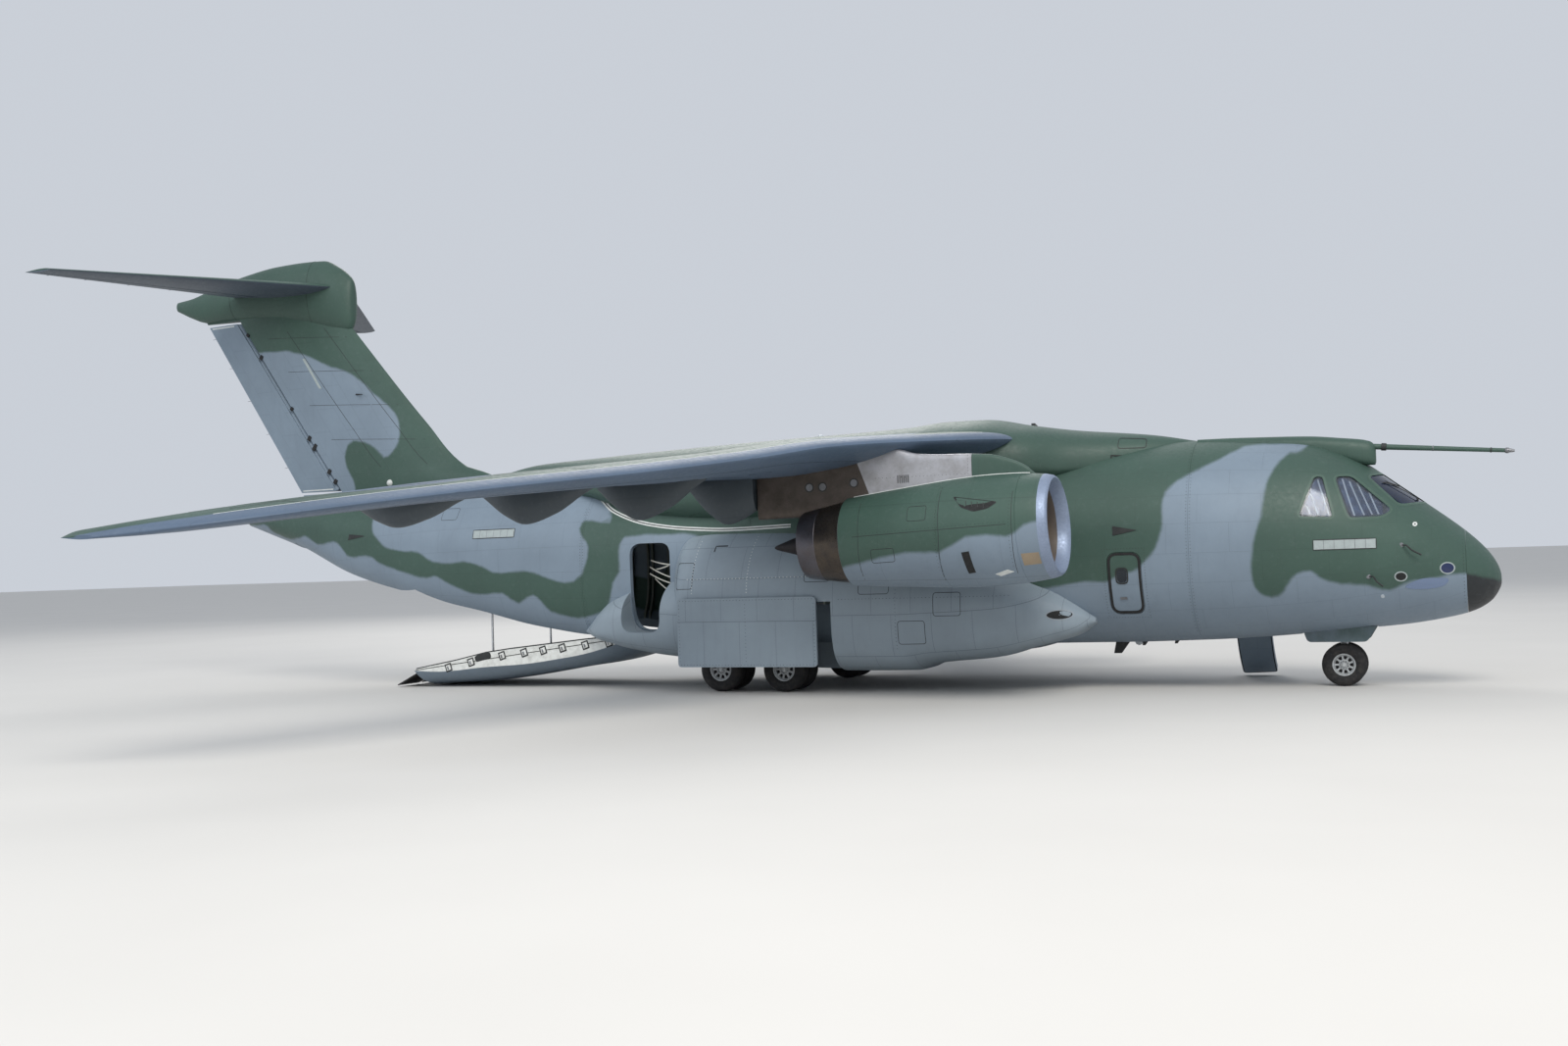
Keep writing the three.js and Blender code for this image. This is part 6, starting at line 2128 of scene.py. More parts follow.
def ramp_cylinders():
    for name, side in SIDES:
        middle, station = side * ROD["out"], ROD["station"]
        foot = at(station, middle, ROD["eye"])
        collar = rod(foot + Vector((0, 0, 0.045)), foot + Vector((0, 0, 0.07)), 0.05, None, 24, 0.008)
        eye = lathe(
            [(-0.038, 0.025), (-0.038, 0.05), (-0.03, 0.055), (0.03, 0.055), (0.038, 0.05), (0.038, 0.025)],
            28, foot, PORT,
        )
        pin = rod(foot - Vector((0, 0.04, 0)), foot + Vector((0, 0.04, 0)), 0.024, None, 16, 0.003)
        parts = Parts()
        parts.add(chrome, rod(foot, at(station, middle, ROD["top"]), ROD["radius"], None, 24, 0.004))
        parts.add(gear_paint, collar)
        parts.add(steel, eye)
        parts.add(dark_paint, pin)
        piece(
            f"ramp_rod_{name}_dressed", parts, body="ramp_rod_" + name,
            nodes=("ramp_rod_" + name,),
        )
        barrel = lathe(
            [
                (0, 0.04), (0, 0.058), (0.02, 0.065), (0.12, 0.065), (0.13, 0.056), (1.64, 0.056),
                (1.66, 0.065), (1.77, 0.065), (1.79, 0.05), (1.79, 0.04),
            ],
            32, at(station, middle, CYLINDER["low"]), UP,
        )
        cap = rod(at(station, middle, 4.0), at(station, middle, CYLINDER["high"]), 0.042, None, 24, 0.006)
        pipe = bent_tube(
            [
                at(station + 0.05, middle - side * 0.05, 2.42),
                at(station + 0.1, middle - side * 0.06, 2.5), at(station + 0.1, middle - side * 0.06, 3.7),
                at(station + 0.04, middle - side * 0.05, 3.8),
            ],
            0.01,
        )
        parts = Parts()
        parts.add(dark_paint, barrel)
        parts.add(steel, cap)
        parts.add(cabin_paint, prism(rectangle(23.5, 23.64, 2.6, 2.9), side * 1.43, side * 1.99))
        parts.add(steel, pipe)
        piece(f"ramp_cylinder_{name}", parts)


ramp_cylinders()


# Upper cargo door, stored raised in the tail
UPPER_DOOR = {
    "front": 26.5, "hinge": 30.3, "wide": 1.408, "narrow": 0.802, "thick": 0.12, "raised": 24,
    "height": 3.8136,
}


def upper_door():
    front, hinge, wide, narrow = (UPPER_DOOR[key] for key in ("front", "hinge", "wide", "narrow"))
    outline = ((front, wide), (hinge, narrow), (hinge, -narrow), (front, -wide))
    leaf = band(26.3, 30.6, 0.0, 0.05, 0.2)
    boolean(leaf, prism(outline, 0, 3.95, "z"), "INTERSECT")
    frames = band(26.3, 30.6, 0.049, UPPER_DOOR["thick"] - 0.004, 0.2)
    inset = (
        (front + 0.02, wide - 0.03), (hinge - 0.02, narrow - 0.03), (hinge - 0.02, -narrow + 0.03),
        (front + 0.02, -wide + 0.03),
    )
    boolean(frames, prism(inset, 0, 3.95, "z"), "INTERSECT")
    for number in range(7):
        station = front + 0.1 + number * 0.53
        for low, high in ((-1.3, -0.68), (-0.6, -0.04), (0.04, 0.6), (0.68, 1.3)):
            boolean(frames, box(station, station + 0.44, low, high, 0, 5))
    parts = Parts()
    parts.add(camouflage, leaf)
    parts.add(cabin_paint, frames)
    for _, side in SIDES:
        for station in (29.9, 30.2):
            parts.add(steel, rounded_block(belly(station, side * 0.5, 0.07), (0.1, 0.06, 0.08), 0.012))
    door = merged(parts)
    coat(door, all_grey, side_skin)
    pitched(door, hinge, UPPER_DOOR["height"], -UPPER_DOOR["raised"])
    piece(
        "upper_cargo_door_dressed", door, body="upper_door", nodes=("upper_cargo_door",),
    )


upper_door()


# Wheels: grooved tyres on spoked hubs
SPOKES = 9


def tyre_ring(radius, half):
    rim = 0.5 * radius
    side = [
        (half - 0.06, rim), (half - 0.028, 0.56 * radius), (half - 0.006, 0.66 * radius),
        (half, 0.76 * radius), (half - 0.008, 0.87 * radius), (half - 0.034, 0.953 * radius),
        (half - 0.062, 0.99 * radius),
    ]
    tread = []
    for part in (0.6, 0.2, -0.2, -0.6):
        middle = part * (half - 0.05)
        tread += [
            (middle + 0.008, radius), (middle + 0.006, radius - 0.01), (middle - 0.006, radius - 0.01),
            (middle - 0.008, radius),
        ]
    mirrored = [(-along, reach) for along, reach in reversed(side)]
    return [*side, *tread, *mirrored, (-half + 0.09, rim - 0.012), (half - 0.09, rim - 0.012)]


def wheel_parts(radius, half, face):
    """A wheel about the origin; face is the way its dished side looks."""
    rim, axis = 0.5 * radius, (0, face, 0)
    tyre_mesh = finish(lathe(tyre_ring(radius, half), 72, axis=axis), tyre)
    barrel = lathe([
        (half - 0.05, rim - 0.014), (half - 0.046, rim + 0.016), (half - 0.062, rim + 0.016),
        (half - 0.07, rim + 0.001), (-half + 0.07, rim + 0.001), (-half + 0.062, rim + 0.016),
        (-half + 0.046, rim + 0.016), (-half + 0.05, rim - 0.014), (-half + 0.08, rim - 0.026),
        (half - 0.08, rim - 0.026),
    ], 72, axis=axis)
    web = half - 0.1
    plate = lathe([
        (web + 0.01, 0), (web + 0.01, 0.3 * rim), (web + 0.03, 0.36 * rim), (web + 0.012, 0.5 * rim),
        (web + 0.02, 0.86 * rim), (web + 0.045, rim - 0.02), (web + 0.02, rim - 0.02),
        (web - 0.012, 0.86 * rim), (web - 0.018, 0.5 * rim), (web - 0.018, 0),
    ], 72, axis=axis)
    for i in range(SPOKES):
        turn = 2 * math.pi * i / SPOKES
        corners = []
        for reach, spread in ((0.5, 0.2), (0.85, 0.235), (0.85, -0.235), (0.5, -0.2)):
            corners.append((-reach * rim * math.cos(turn + spread), reach * rim * math.sin(turn + spread)))
        cutter = prism(rounded(corners, 0.02, 3), face * (web - 0.08), face * (web + 0.1))
        cutter.data.transform(Matrix.Translation((-NOSE_X, 0, 0)))
        boolean(plate, cutter)
    cap = lathe(
        [(web, 0), (web, 0.2 * rim), (web + 0.04, 0.2 * rim), (web + 0.055, 0.16 * rim), (web + 0.06, 0)],
        32, axis=axis,
    )
    parts = Parts([tyre_mesh])
    parts.add(hub_paint, barrel, plate)
    parts.add(gear_paint, cap)
    for i in range(SPOKES):
        turn = 2 * math.pi * (i + 0.5) / SPOKES
        spot = Vector((math.cos(turn) * 0.36 * rim, face * (web + 0.02), math.sin(turn) * 0.36 * rim))
        parts.add(steel, rod(spot, spot + Vector((0, face * 0.022, 0)), 0.011, None, 6, 0.002))
    brake = lathe(
        [(-half + 0.03, 0.06), (-half + 0.03, 0.8 * rim), (web - 0.06, 0.8 * rim), (web - 0.06, 0.06)], 40,
        axis=axis,
    )
    for groove in range(3):
        along = -half + 0.06 + groove * 0.05
        boolean(
            brake,
            lathe(
                [(along, 0.66 * rim), (along, rim), (along + 0.015, rim), (along + 0.015, 0.66 * rim)], 40,
                axis=axis,
            ),
        )
    parts.add(core_metal, brake)
    return merged(parts)


def wheel_pair(name, body, station, places, radius, half):
    """Twin wheels on one axle; places are distance to port and the way each dished side looks."""
    parts = Parts()
    for across, face in places:
        wheel = wheel_parts(radius, half, face)
        wheel.data.transform(Matrix.Translation(at(station, across, radius)))
        parts.append(wheel)
    low, high = min(p[0] for p in places), max(p[0] for p in places)
    parts.add(steel, rod(at(station, low, radius), at(station, high, radius), 0.046, None, 24, 0.004))
    piece(name + "_dressed", parts, body=body, nodes=(name,), sharp=34)


def torque_links(station, across, top, low, reach):
    """Two hinged links in front of a leg, between its upper and lower parts."""
    middle = (top + low) / 2
    parts = []
    for start, end in (
        ((station, top), (station - reach, middle)), ((station - reach, middle), (station, low)),
    ):
        for shift in (-0.04, 0.04):
            foot, tip = at(start[0], across + shift, start[1]), at(end[0], across + shift * 0.4, end[1])
            parts.append(rod(foot, tip, 0.0175, 0.014, 12, 0.006))
    parts.append(rod(
        at(station - reach, across - 0.05, middle), at(station - reach, across + 0.05, middle), 0.022, None,
        14, 0.004,
    ))
    return parts


MAIN = {"stations": (15.02, 16.62), "radius": 0.512, "half": 0.18, "inner": 1.67, "outer": 2.25}
NOSE = {"station": 3.08, "radius": 0.445, "half": 0.12, "out": 0.3}


def main_gear():
    fore, aft = MAIN["stations"]
    middle_out = (MAIN["inner"] + MAIN["outer"]) / 2
    for name, side in SIDES:
        middle = side * middle_out
        parts = Parts()
        for row, station in (("front", fore), ("rear", aft)):
            places = ((side * MAIN["inner"], -side), (side * MAIN["outer"], side))
            wheel_pair(
                f"main_wheels_{row}_{name}", f"{row}_wheels_{name}", station, places, MAIN["radius"],
                MAIN["half"],
            )
            hub = lathe(
                [
                    (-0.075, 0.055), (-0.075, 0.09), (-0.055, 0.105), (0.055, 0.105), (0.075, 0.09),
                    (0.075, 0.055),
                ],
                36, at(station, middle, MAIN["radius"]), PORT,
            )
            piston = rod(at(station, middle, 0.58), at(station, middle, 1.12), 0.054, None, 32, 0.004)
            barrel = lathe(
                [
                    (0, 0.04), (0, 0.074), (0.03, 0.08), (0.07, 0.07), (0.6, 0.07), (0.63, 0.08),
                    (0.7, 0.08), (0.72, 0.07), (0.9, 0.066), (0.9, 0.04),
                ],
                36, at(station, middle, 1.05), UP,
            )
            hose = bent_tube(
                [
                    at(station + 0.09, middle, 1.5), at(station + 0.11, middle, 1.1),
                    at(station + 0.14, middle, 0.8), at(station + 0.08, middle, 0.6),
                ],
                0.011,
            )
            clamp = rod(at(station, middle, 1.16), at(station, middle, 1.2), 0.086, None, 28, 0.008)
            parts.add(gear_paint, hub)
            parts.add(chrome, piston)
            parts.add(gear_paint, barrel)
            parts.add(black, hose)
            parts.add(steel, clamp)
            parts.add(gear_paint, *torque_links(station, middle, 1.1, 0.66, 0.2))
        beam = rounded_block(at((fore + aft) / 2, middle, 1.32), (aft - fore, 0.11, 0.15), 0.03)
        brace = rod(at(fore, middle, 1.32), at(fore - 0.8, middle, 2.0), 0.046, None, 24, 0.01)
        sleeve = rod(at(fore - 0.3, middle, 1.575), at(fore - 0.72, middle, 1.932), 0.06, None, 24, 0.008)
        wells = Parts()
        for number in range(7):
            station = 13.75 + number * 0.58
            wells.add(cabin_paint, box(station, station + 0.04, side * 2.2, side * 2.9, 1.99, 2.065))
        pipe = bent_tube(
            [
                at(13.7, side * 2.45, 2.0), at(15.2, side * 2.45, 2.0), at(15.6, side * 2.5, 1.98),
                at(17.3, side * 2.5, 1.98),
            ],
            0.018,
        )
        wells.add(steel, pipe)
        parts.add(gear_paint, beam, brace)
        parts.add(steel, sleeve)
        piece(f"main_gear_legs_{name}_dressed", parts, nodes=("main_gear_legs_" + name,))
        piece(f"wheel_well_ribs_{name}", wells)


main_gear()


def nose_gear():
    station, radius = NOSE["station"], NOSE["radius"]
    wheel_pair(
        "nose_wheels", "nose_wheels", station, ((-NOSE["out"], -1), (NOSE["out"], 1)), radius, NOSE["half"],
    )
    barrel = lathe(
        [
            (0, 0.05), (0, 0.085), (0.03, 0.094), (0.09, 0.094), (0.1, 0.082), (0.4, 0.082), (0.42, 0.092),
            (0.5, 0.092), (0.52, 0.085), (0.745, 0.085), (0.745, 0.05),
        ],
        40, at(station, 0, 0.94), UP,
    )
    brace = rod(at(station, 0, 1.15), at(2.45, 0, 1.64), 0.033, None, 20, 0.006)
    stay = [
        rod(at(station, across * 0.6, 1.25), at(2.6, across, 1.67), 0.02, None, 16, 0.004)
        for across in (-0.16, 0.16)
    ]
    steering = [
        rod(at(station - 0.1, across, 1.09), at(station + 0.16, across, 1.09), 0.032, None, 20, 0.006)
        for across in (-0.1, 0.1)
    ]
    lamps = Parts()
    for across in (-0.15, 0.15):
        case = lathe(
            [(0, 0), (0, 0.05), (0.07, 0.062), (0.085, 0.062), (0.085, 0.052), (0.07, 0.05), (0.07, 0)], 28,
            at(station - 0.08, across, 1.3), AHEAD,
        )
        lens = lathe(
            [(0.068, 0), (0.068, 0.05), (0.08, 0.045), (0.09, 0.03), (0.093, 0)], 28,
            at(station - 0.08, across, 1.3), AHEAD,
        )
        lamps.add(dark_paint, case)
        lamps.add(lamp_glass, lens)
        lamps.add(
            gear_paint, rod(at(station, 0, 1.3), at(station - 0.08, across, 1.3), 0.014, None, 12, 0.003),
        )
    upper = [
        finish(part, gear_paint)
        for part in (barrel, brace, *stay)
    ] + [finish(part, steel) for part in steering]
    piece("nose_gear_leg_dressed", upper + lamps, nodes=("nose_gear_leg",))

    piston = rod(at(station, 0, 0.5), at(station, 0, 0.928), 0.06, None, 36, 0.004)
    hub = lathe(
        [(-0.13, 0.056), (-0.13, 0.08), (-0.11, 0.09), (0.11, 0.09), (0.13, 0.08), (0.13, 0.056)], 36,
        at(station, 0, radius), PORT,
    )
    collar = rod(at(station, 0, 0.86), at(station, 0, 0.92), 0.078, None, 32, 0.008)
    links = torque_links(station, 0, 0.89, 0.5, -0.2)
    tow = rod(at(station - 0.13, -0.05, radius), at(station - 0.13, 0.05, radius), 0.02, None, 16, 0.004)
    lower = [finish(piston, chrome), finish(tow, steel)] + [
        finish(part, gear_paint)
        for part in (hub, collar, *links)
    ]
    piece(
        "nose_gear_steering_dressed", lower, body="nose_steering",
        nodes=("nose_gear_steering",),
    )

    outline = ((2.4, 1.26), (3.86, 1.16), (3.78, 0.93), (2.6, 0.93))
    for name, side in SIDES:
        leaf = prism(rounded(outline, 0.08), side * 0.44, side * 0.48)
        boolean(leaf, body_solid(1.8, 4.6, 0.004))
        coat(leaf, all_grey, side_skin)
        finish(leaf, camouflage)
        parts = Parts([leaf])
        for along in (2.75, 3.2, 3.6):
            parts.add(
                steel,
                rod(at(along, side * 0.455, 1.1), at(along, side * 0.41, 1.24), 0.016, None, 14, 0.003),
            )
            parts.add(gear_paint, rounded_block(at(along, side * 0.437, 1.07), (0.1, 0.014, 0.1), 0.01))
        parts.add(gear_paint, rounded_block(at(3.15, side * 0.434, 1.0), (1.0, 0.014, 0.04), 0.006))
        piece(f"nose_gear_door_{name}_dressed", parts, nodes=("nose_gear_door_" + name,))

    liner = box(2.3, 4.0, -0.48, 0.48, 1.1, 1.76)
    boolean(liner, body_solid(1.5, 5.0, 0.006), "INTERSECT")
    boolean(liner, box(2.381, 3.919, -0.419, 0.419, 0, 1.689))
    ribs = Parts()
    ribs.add(cabin_paint, liner)
    for number in range(5):
        along = 2.5 + number * 0.3
        ribs.add(gear_paint, box(along, along + 0.03, -0.42, 0.42, 1.63, 1.69))
    piece("nose_gear_well", ribs)


nose_gear()


# Hold: frames, floor with tie-down rings and rails, webbing seats along the walls
HOLD_FRAMES = 28
DOOR_SPANS = ((4.6, 5.65), (6.75, 7.72), (17.85, 19.2))


def hold():
    frames = []
    for number in range(HOLD_FRAMES):
        station = 4.72 + number * 0.62
        if any(low < station < high for low, high in DOOR_SPANS):
            continue
        frame_ring = band(station - 0.025, station + 0.025, WALL + 0.001, WALL + 0.075, 0.05)
        if station > 18.9:
            boolean(frame_ring, prism(RAMP_OPENING, -0.1, 4.15, axis="z"))
        frames.append(frame_ring)
    for number in range(9):
        station = 20.7 + number * 0.62
        arch = band(station - 0.025, station + 0.025, WALL + 0.001, WALL + 0.075, 0.05)
        boolean(arch, prism([(s, y * 1.01) for s, y in RAMP_OPENING], -0.1, 4.15, axis="z"))
        if abs(station - ROD["station"]) < 0.2:
            boolean(arch, box(19.0, 31.0, -3.0, 3.0, 2.55, 2.95))
        frames.append(arch)
    piece("hold_frames", frames, cabin_paint)

    floor = box(4.62, 19.0, -2.5, 2.5, FLOOR_TOP - 0.11, FLOOR_TOP)
    boolean(floor, body_solid(3.0, 20.0, WALL + 0.003), "INTERSECT")
    parts = Parts()
    parts.add(floor_paint, floor)
    for across in (-1.3, -0.95, 0.95, 1.3):
        parts.add(steel, box(5.0, 18.9, across - 0.03, across + 0.03, FLOOR_TOP - 0.01, FLOOR_TOP + 0.03))
    for number in range(22):
        for across in (-0.55, 0, 0.55):
            spot = at(5.4 + number * 0.62, across, FLOOR_TOP + 0.004)
            parts.add(
                cabin_dark,
                lathe([(-0.01, 0), (-0.01, 0.06), (0.0, 0.06), (0.004, 0.05), (0.0, 0)], 16, spot, UP),
            )
            parts.add(steel, tie_ring(spot, 0.036, 0.008, 10))
    piece("cargo_floor_dressed", parts, nodes=("cargo_floor",))

    for name, side in SIDES:
        straps = []
        for number in range(19):
            front = 8.0 + number * 0.52
            reach = side * 1.9
            for along in (front, front + 0.16, front + 0.32):
                straps.append(rounded_block(at(along, reach, 2.3), (0.05, 0.006, 0.9), 0.002))
            for height in (1.95, 2.15, 2.35, 2.55):
                straps.append(rounded_block(
                    at(front + 0.16, reach - side * 0.006, height), (0.38, 0.006, 0.05), 0.002,
                ))
            straps.append(rounded_block(
                at(front + 0.16, reach - side * 0.2, 1.83), (0.42, 0.38, 0.012), 0.004,
            ))
        net = merged(straps)
        piece(f"seat_webbing_{name}", net, webbing)
        tubes = [
            rod(at(7.85, side * out, height), at(17.6, side * out, height), 0.02, None, 14, 0.004)
            for out, height in ((1.9, 1.84), (1.52, 1.83), (1.9, 2.76))
        ]
        for number in range(10):
            station = 8.0 + number * 1.04
            tubes.append(rod(
                at(station, side * 1.52, 1.82), at(station, side * 1.52, FLOOR_TOP), 0.016, None, 12, 0.003,
            ))
        piece(f"seat_tubes_{name}", tubes, steel)

    strands = []
    for start, end in (
        ((18.02, 2.98), (18.8, 3.1)), ((18.02, 3.02), (18.66, 2.88)), ((18.02, 2.66), (18.84, 2.94)),
        ((18.02, 2.52), (18.84, 2.78)), ((18.02, 2.28), (18.7, 2.66)), ((18.02, 2.06), (18.5, 2.2)),
        ((18.02, 2.02), (18.36, 1.86)),
    ):
        rows = []
        for t in np.linspace(0, 1, 9):
            station, height = start[0] + (
                end[0] - start[0]
            ) * t, start[1] + (end[1] - start[1]) * t - 0.1 * t * (1 - t)
            reach = -1.94 + 0.34 * t
            corners = rectangle(-0.003, 0.003, -0.016, 0.016)
            rows.append([tuple(at(station, reach + a, height + b)) for a, b in corners])
        strands.append(loft(np.array(rows)))
    piece("door_webbing", strands, pale_webbing)


hold()


# Fittings and markings on the skins
def strip_panel(skin, corners):
    """A pale gridded formation strip with a dark edge."""
    skin.sheet(quad(corners, 12, 2), strip_paint, 0.004, closed=False)
    (s0, z0), (s1, z1) = corners[0], corners[2]
    edge = finer(corners, 0.12, True)
    skin.line(edge, 0.018, dark_paint, 0.006, closed=True)
    for k in range(1, 6):
        along = s0 + (s1 - s0) * k / 6
        line = finer([(along, z0 + 0.01), (along, z1 - 0.01)], 0.1)
        skin.line(line, 0.008, steel, 0.0055)


def blade_antenna(station, across, length, height, down, lift=0.0):
    """A swept blade on the belly or the back."""
    spot = belly(station, across, 0.01) if down else roof(station, across, -0.01 + lift)
    way = -1 if down else 1
    rows = []
    for part in np.linspace(0, 1, 6):
        chord, thick, shift = length * (1 - 0.45 * part), 0.02 * (1 - 0.5 * part), 0.5 * height * part
        loop = []
        for k in range(12):
            angle = 2 * math.pi * k / 12
            along = math.cos(angle) * chord / 2
            loop.append((
                spot.x - shift + along, spot.y + math.sin(angle) * thick,
                spot.z + way * (0.01 + height) * part,
            ))
        rows.append(loop)
    return loft(np.array(rows))


def wick(aft, across, height, reach, radius=0.006, sag=0.0):
    """A static wick aft of a trailing edge."""
    return rod(
        at(aft - 0.02, across, height), at(aft + reach, across, height - sag), radius, 0.003, 8, 0.001,
    )


def body_fittings():
    parts = Parts()
    for _, side in SIDES:
        skin, back = Skin(on_body(side), (0, side, 0), parts), Skin(on_back(side), (0, side, 0), parts)
        strip_panel(skin, rectangle(22.4, 23.66, 3.79, 4.0))
        strip_panel(skin, rectangle(2.29, 3.46, 2.87, 3.07))
        for path in (
            ((7.85, 4.73), (7.85, 4.84), (7.59, 4.84)), ((7.63, 4.94), (7.63, 5.05), (7.28, 5.02)),
        ):
            back.outline(path, 0.03, black, 0.006, closed=False)
        hatch = rounded(((6.94, 5.2), (7.5, 5.2), (7.5, 5.44), (6.94, 5.4)), 0.06)
        back.outline(hatch, 0.014, dark_paint, 0.005)
        fairing = curve_outline([
            (0.99, 2.21), (1.24, 2.24), (1.53, 2.22), (1.79, 2.07), (1.47, 2.02), (1.1, 2.07),
        ])
        middle = fairing.mean(0)
        grid = [[tuple(middle + (spot - middle) * part) for spot in fairing] for part in (0.01, 0.5, 1)]
        skin.sheet(grid, lens_cover, 0.006)
        for centre, wide, tall, tint in (
            ((1.0, 2.43), 0.13, 0.11, lens_dark), ((1.86, 2.29), 0.11, 0.09, black),
        ):
            rim = ellipse(centre, wide, tall, 24)
            lens = [ellipse(centre, wide * part, tall * part, 24) for part in (0.01, 0.9)]
            skin.outline(rim, 0.022, strip_paint, 0.007)
            skin.sheet(lens, tint, 0.004)
        skin.sheet(disc((1.57, 3.33), 0.022), black)
        skin.outline(ellipse((1.57, 3.33), 0.03, 0.03), 0.03, white_seal, 0.006)
        skin.sheet(disc((2.22, 1.9), 0.035), lamp_glass, 0.012)
        for foot, tip in (((1.83, 2.92), (1.46, 2.71)), ((2.46, 2.31), (2.19, 2.1))):
            root = skin.place(*foot)
            out = root + Vector((0.1, side * 0.06, -0.01))
            end = at(tip[0], out.y - side * 0.03, tip[1])
            base = lathe([(-0.01, 0), (-0.01, 0.05), (0.006, 0.045), (0.012, 0)], 20, root, (0, side, 0))
            tube = bent_tube(
                [
                    root - Vector((0, side * 0.02, 0)), out,
                    out.lerp(end, 0.35) + Vector((0, side * 0.01, -0.03)), end,
                ],
                0.017, 14,
            )
            parts.add(steel, base)
            parts.add(dark_paint, tube)
        fin_plate = loft(np.array([
            [
                tuple(at(s, side * (2.19 + reach), z))
                for s, z in ((7.45, 3.29 + lift), (6.94, 3.4), (7.45, 3.5 - lift))
            ]
            for reach, lift in ((0.0, 0.0), (0.012, 0.01))
        ]))
        parts.add(dark_paint, fin_plate)
        dart = quad(((27.35, 3.98), (27.95, 3.9), (27.9, 4.05), (27.38, 4.0)), 4, 2)
        skin.sheet(dart, dark_paint, 0.012, closed=False)
        for s0, s1, z0, z1 in ((9.0, 9.5, 1.5, 1.9), (24.3, 24.8, 4.3, 4.6)):
            hatch = rounded(rectangle(s0, s1, z0, z1), 0.06)
            skin.outline(hatch, 0.008, dark_paint, 0.002)
    piece("body_markings", parts)

    blades = []
    for station, across, length, height, down in (
        (7.75, 0.0, 0.32, 0.26, True), (6.6, 0.35, 0.12, 0.1, True), (7.2, -0.3, 0.12, 0.08, True),
        (11.6, -0.3, 0.2, 0.15, True), (5.2, 0.35, 0.16, 0.07, False),
    ):
        blades.append(blade_antenna(station, across, length, height, down))
    piece("blade_antennas", blades, dark_paint)

    domes = []
    for station, radius in ((7.4, 0.09), (12.0, 0.07)):
        foot = belly(station, 0, 0.01)
        profile = [
            (0, 0), (0, radius), (0.03, radius * 0.95), (0.07, radius * 0.7), (0.09, radius * 0.3),
            (0.095, 0),
        ]
        domes.append(lathe(profile, 24, foot, DOWN))
    piece("belly_beacons", domes, lamp_glass)


body_fittings()


# Rows of rivets along the body's joints
def body_rivets():
    for name, side in SIDES:
        place, toward = on_body(side), Vector((0, side, 0))
        spots = []
        for joint in (0.7, 5.86, 5.94, 15.86, 15.94, 20.36, 20.44):
            low, top = body_at(joint)[0][:2]
            for height in np.arange(low + 0.25, top - 0.2, 0.07):
                if joint < RAMP["hinge"] or skin_half(joint, height)[0] > RAMP["half"] + 0.06:
                    spots.append((joint, float(height)))
        for station in np.arange(6.8, 7.7, 0.06):
            spots += [(float(station), 1.56), (float(station), 3.02)]
        for height in np.arange(1.6, 3.0, 0.06):
            spots += [(6.81, float(height)), (7.67, float(height))]
        piece(f"body_rivets_{name}", studs(spots, place, toward, 0.008, 0.004, dark_paint, 6))


body_rivets()


def back_fittings():
    parts = Parts()
    for _, side in SIDES:
        skin = Skin(on_back(side), (0, side, 0), parts)
        for station in (11.0, 13.4, 15.8, 18.2):
            top = back_at(station)[0][0]
            line = [
                (station, height)
                for height in np.linspace(back_at(station)[0][2] + 0.1, top - 0.02, 10)
            ]
            skin.line(line, 0.012, dark_paint, depth=0.008)
    for station, across, length, height in ((9.6, 0.0, 0.16, 0.07), (16.5, 0.3, 0.16, 0.07)):
        top = back_at(station)[0][0]
        blade = blade_antenna(station, across, length, height, False, top - roof(station, across).z)
        parts.add(dark_paint, blade)
    spot = at(14.9, 0, back_at(14.9)[0][0])
    parts.add(
        lamp_glass,
        lathe([(-0.02, 0), (-0.02, 0.08), (0.03, 0.075), (0.07, 0.05), (0.085, 0)], 24, spot, UP),
    )
    piece("back_fittings", parts)


back_fittings()


# Wing: pale seal under its root fairing, skin joints, static wicks and tip lights
FAIRING_EDGE = ((14.86, 3.79), (16.36, 3.76), (17.5, 3.82), (18.56, 3.96), (19.62, 4.31), (20.24, 4.74))


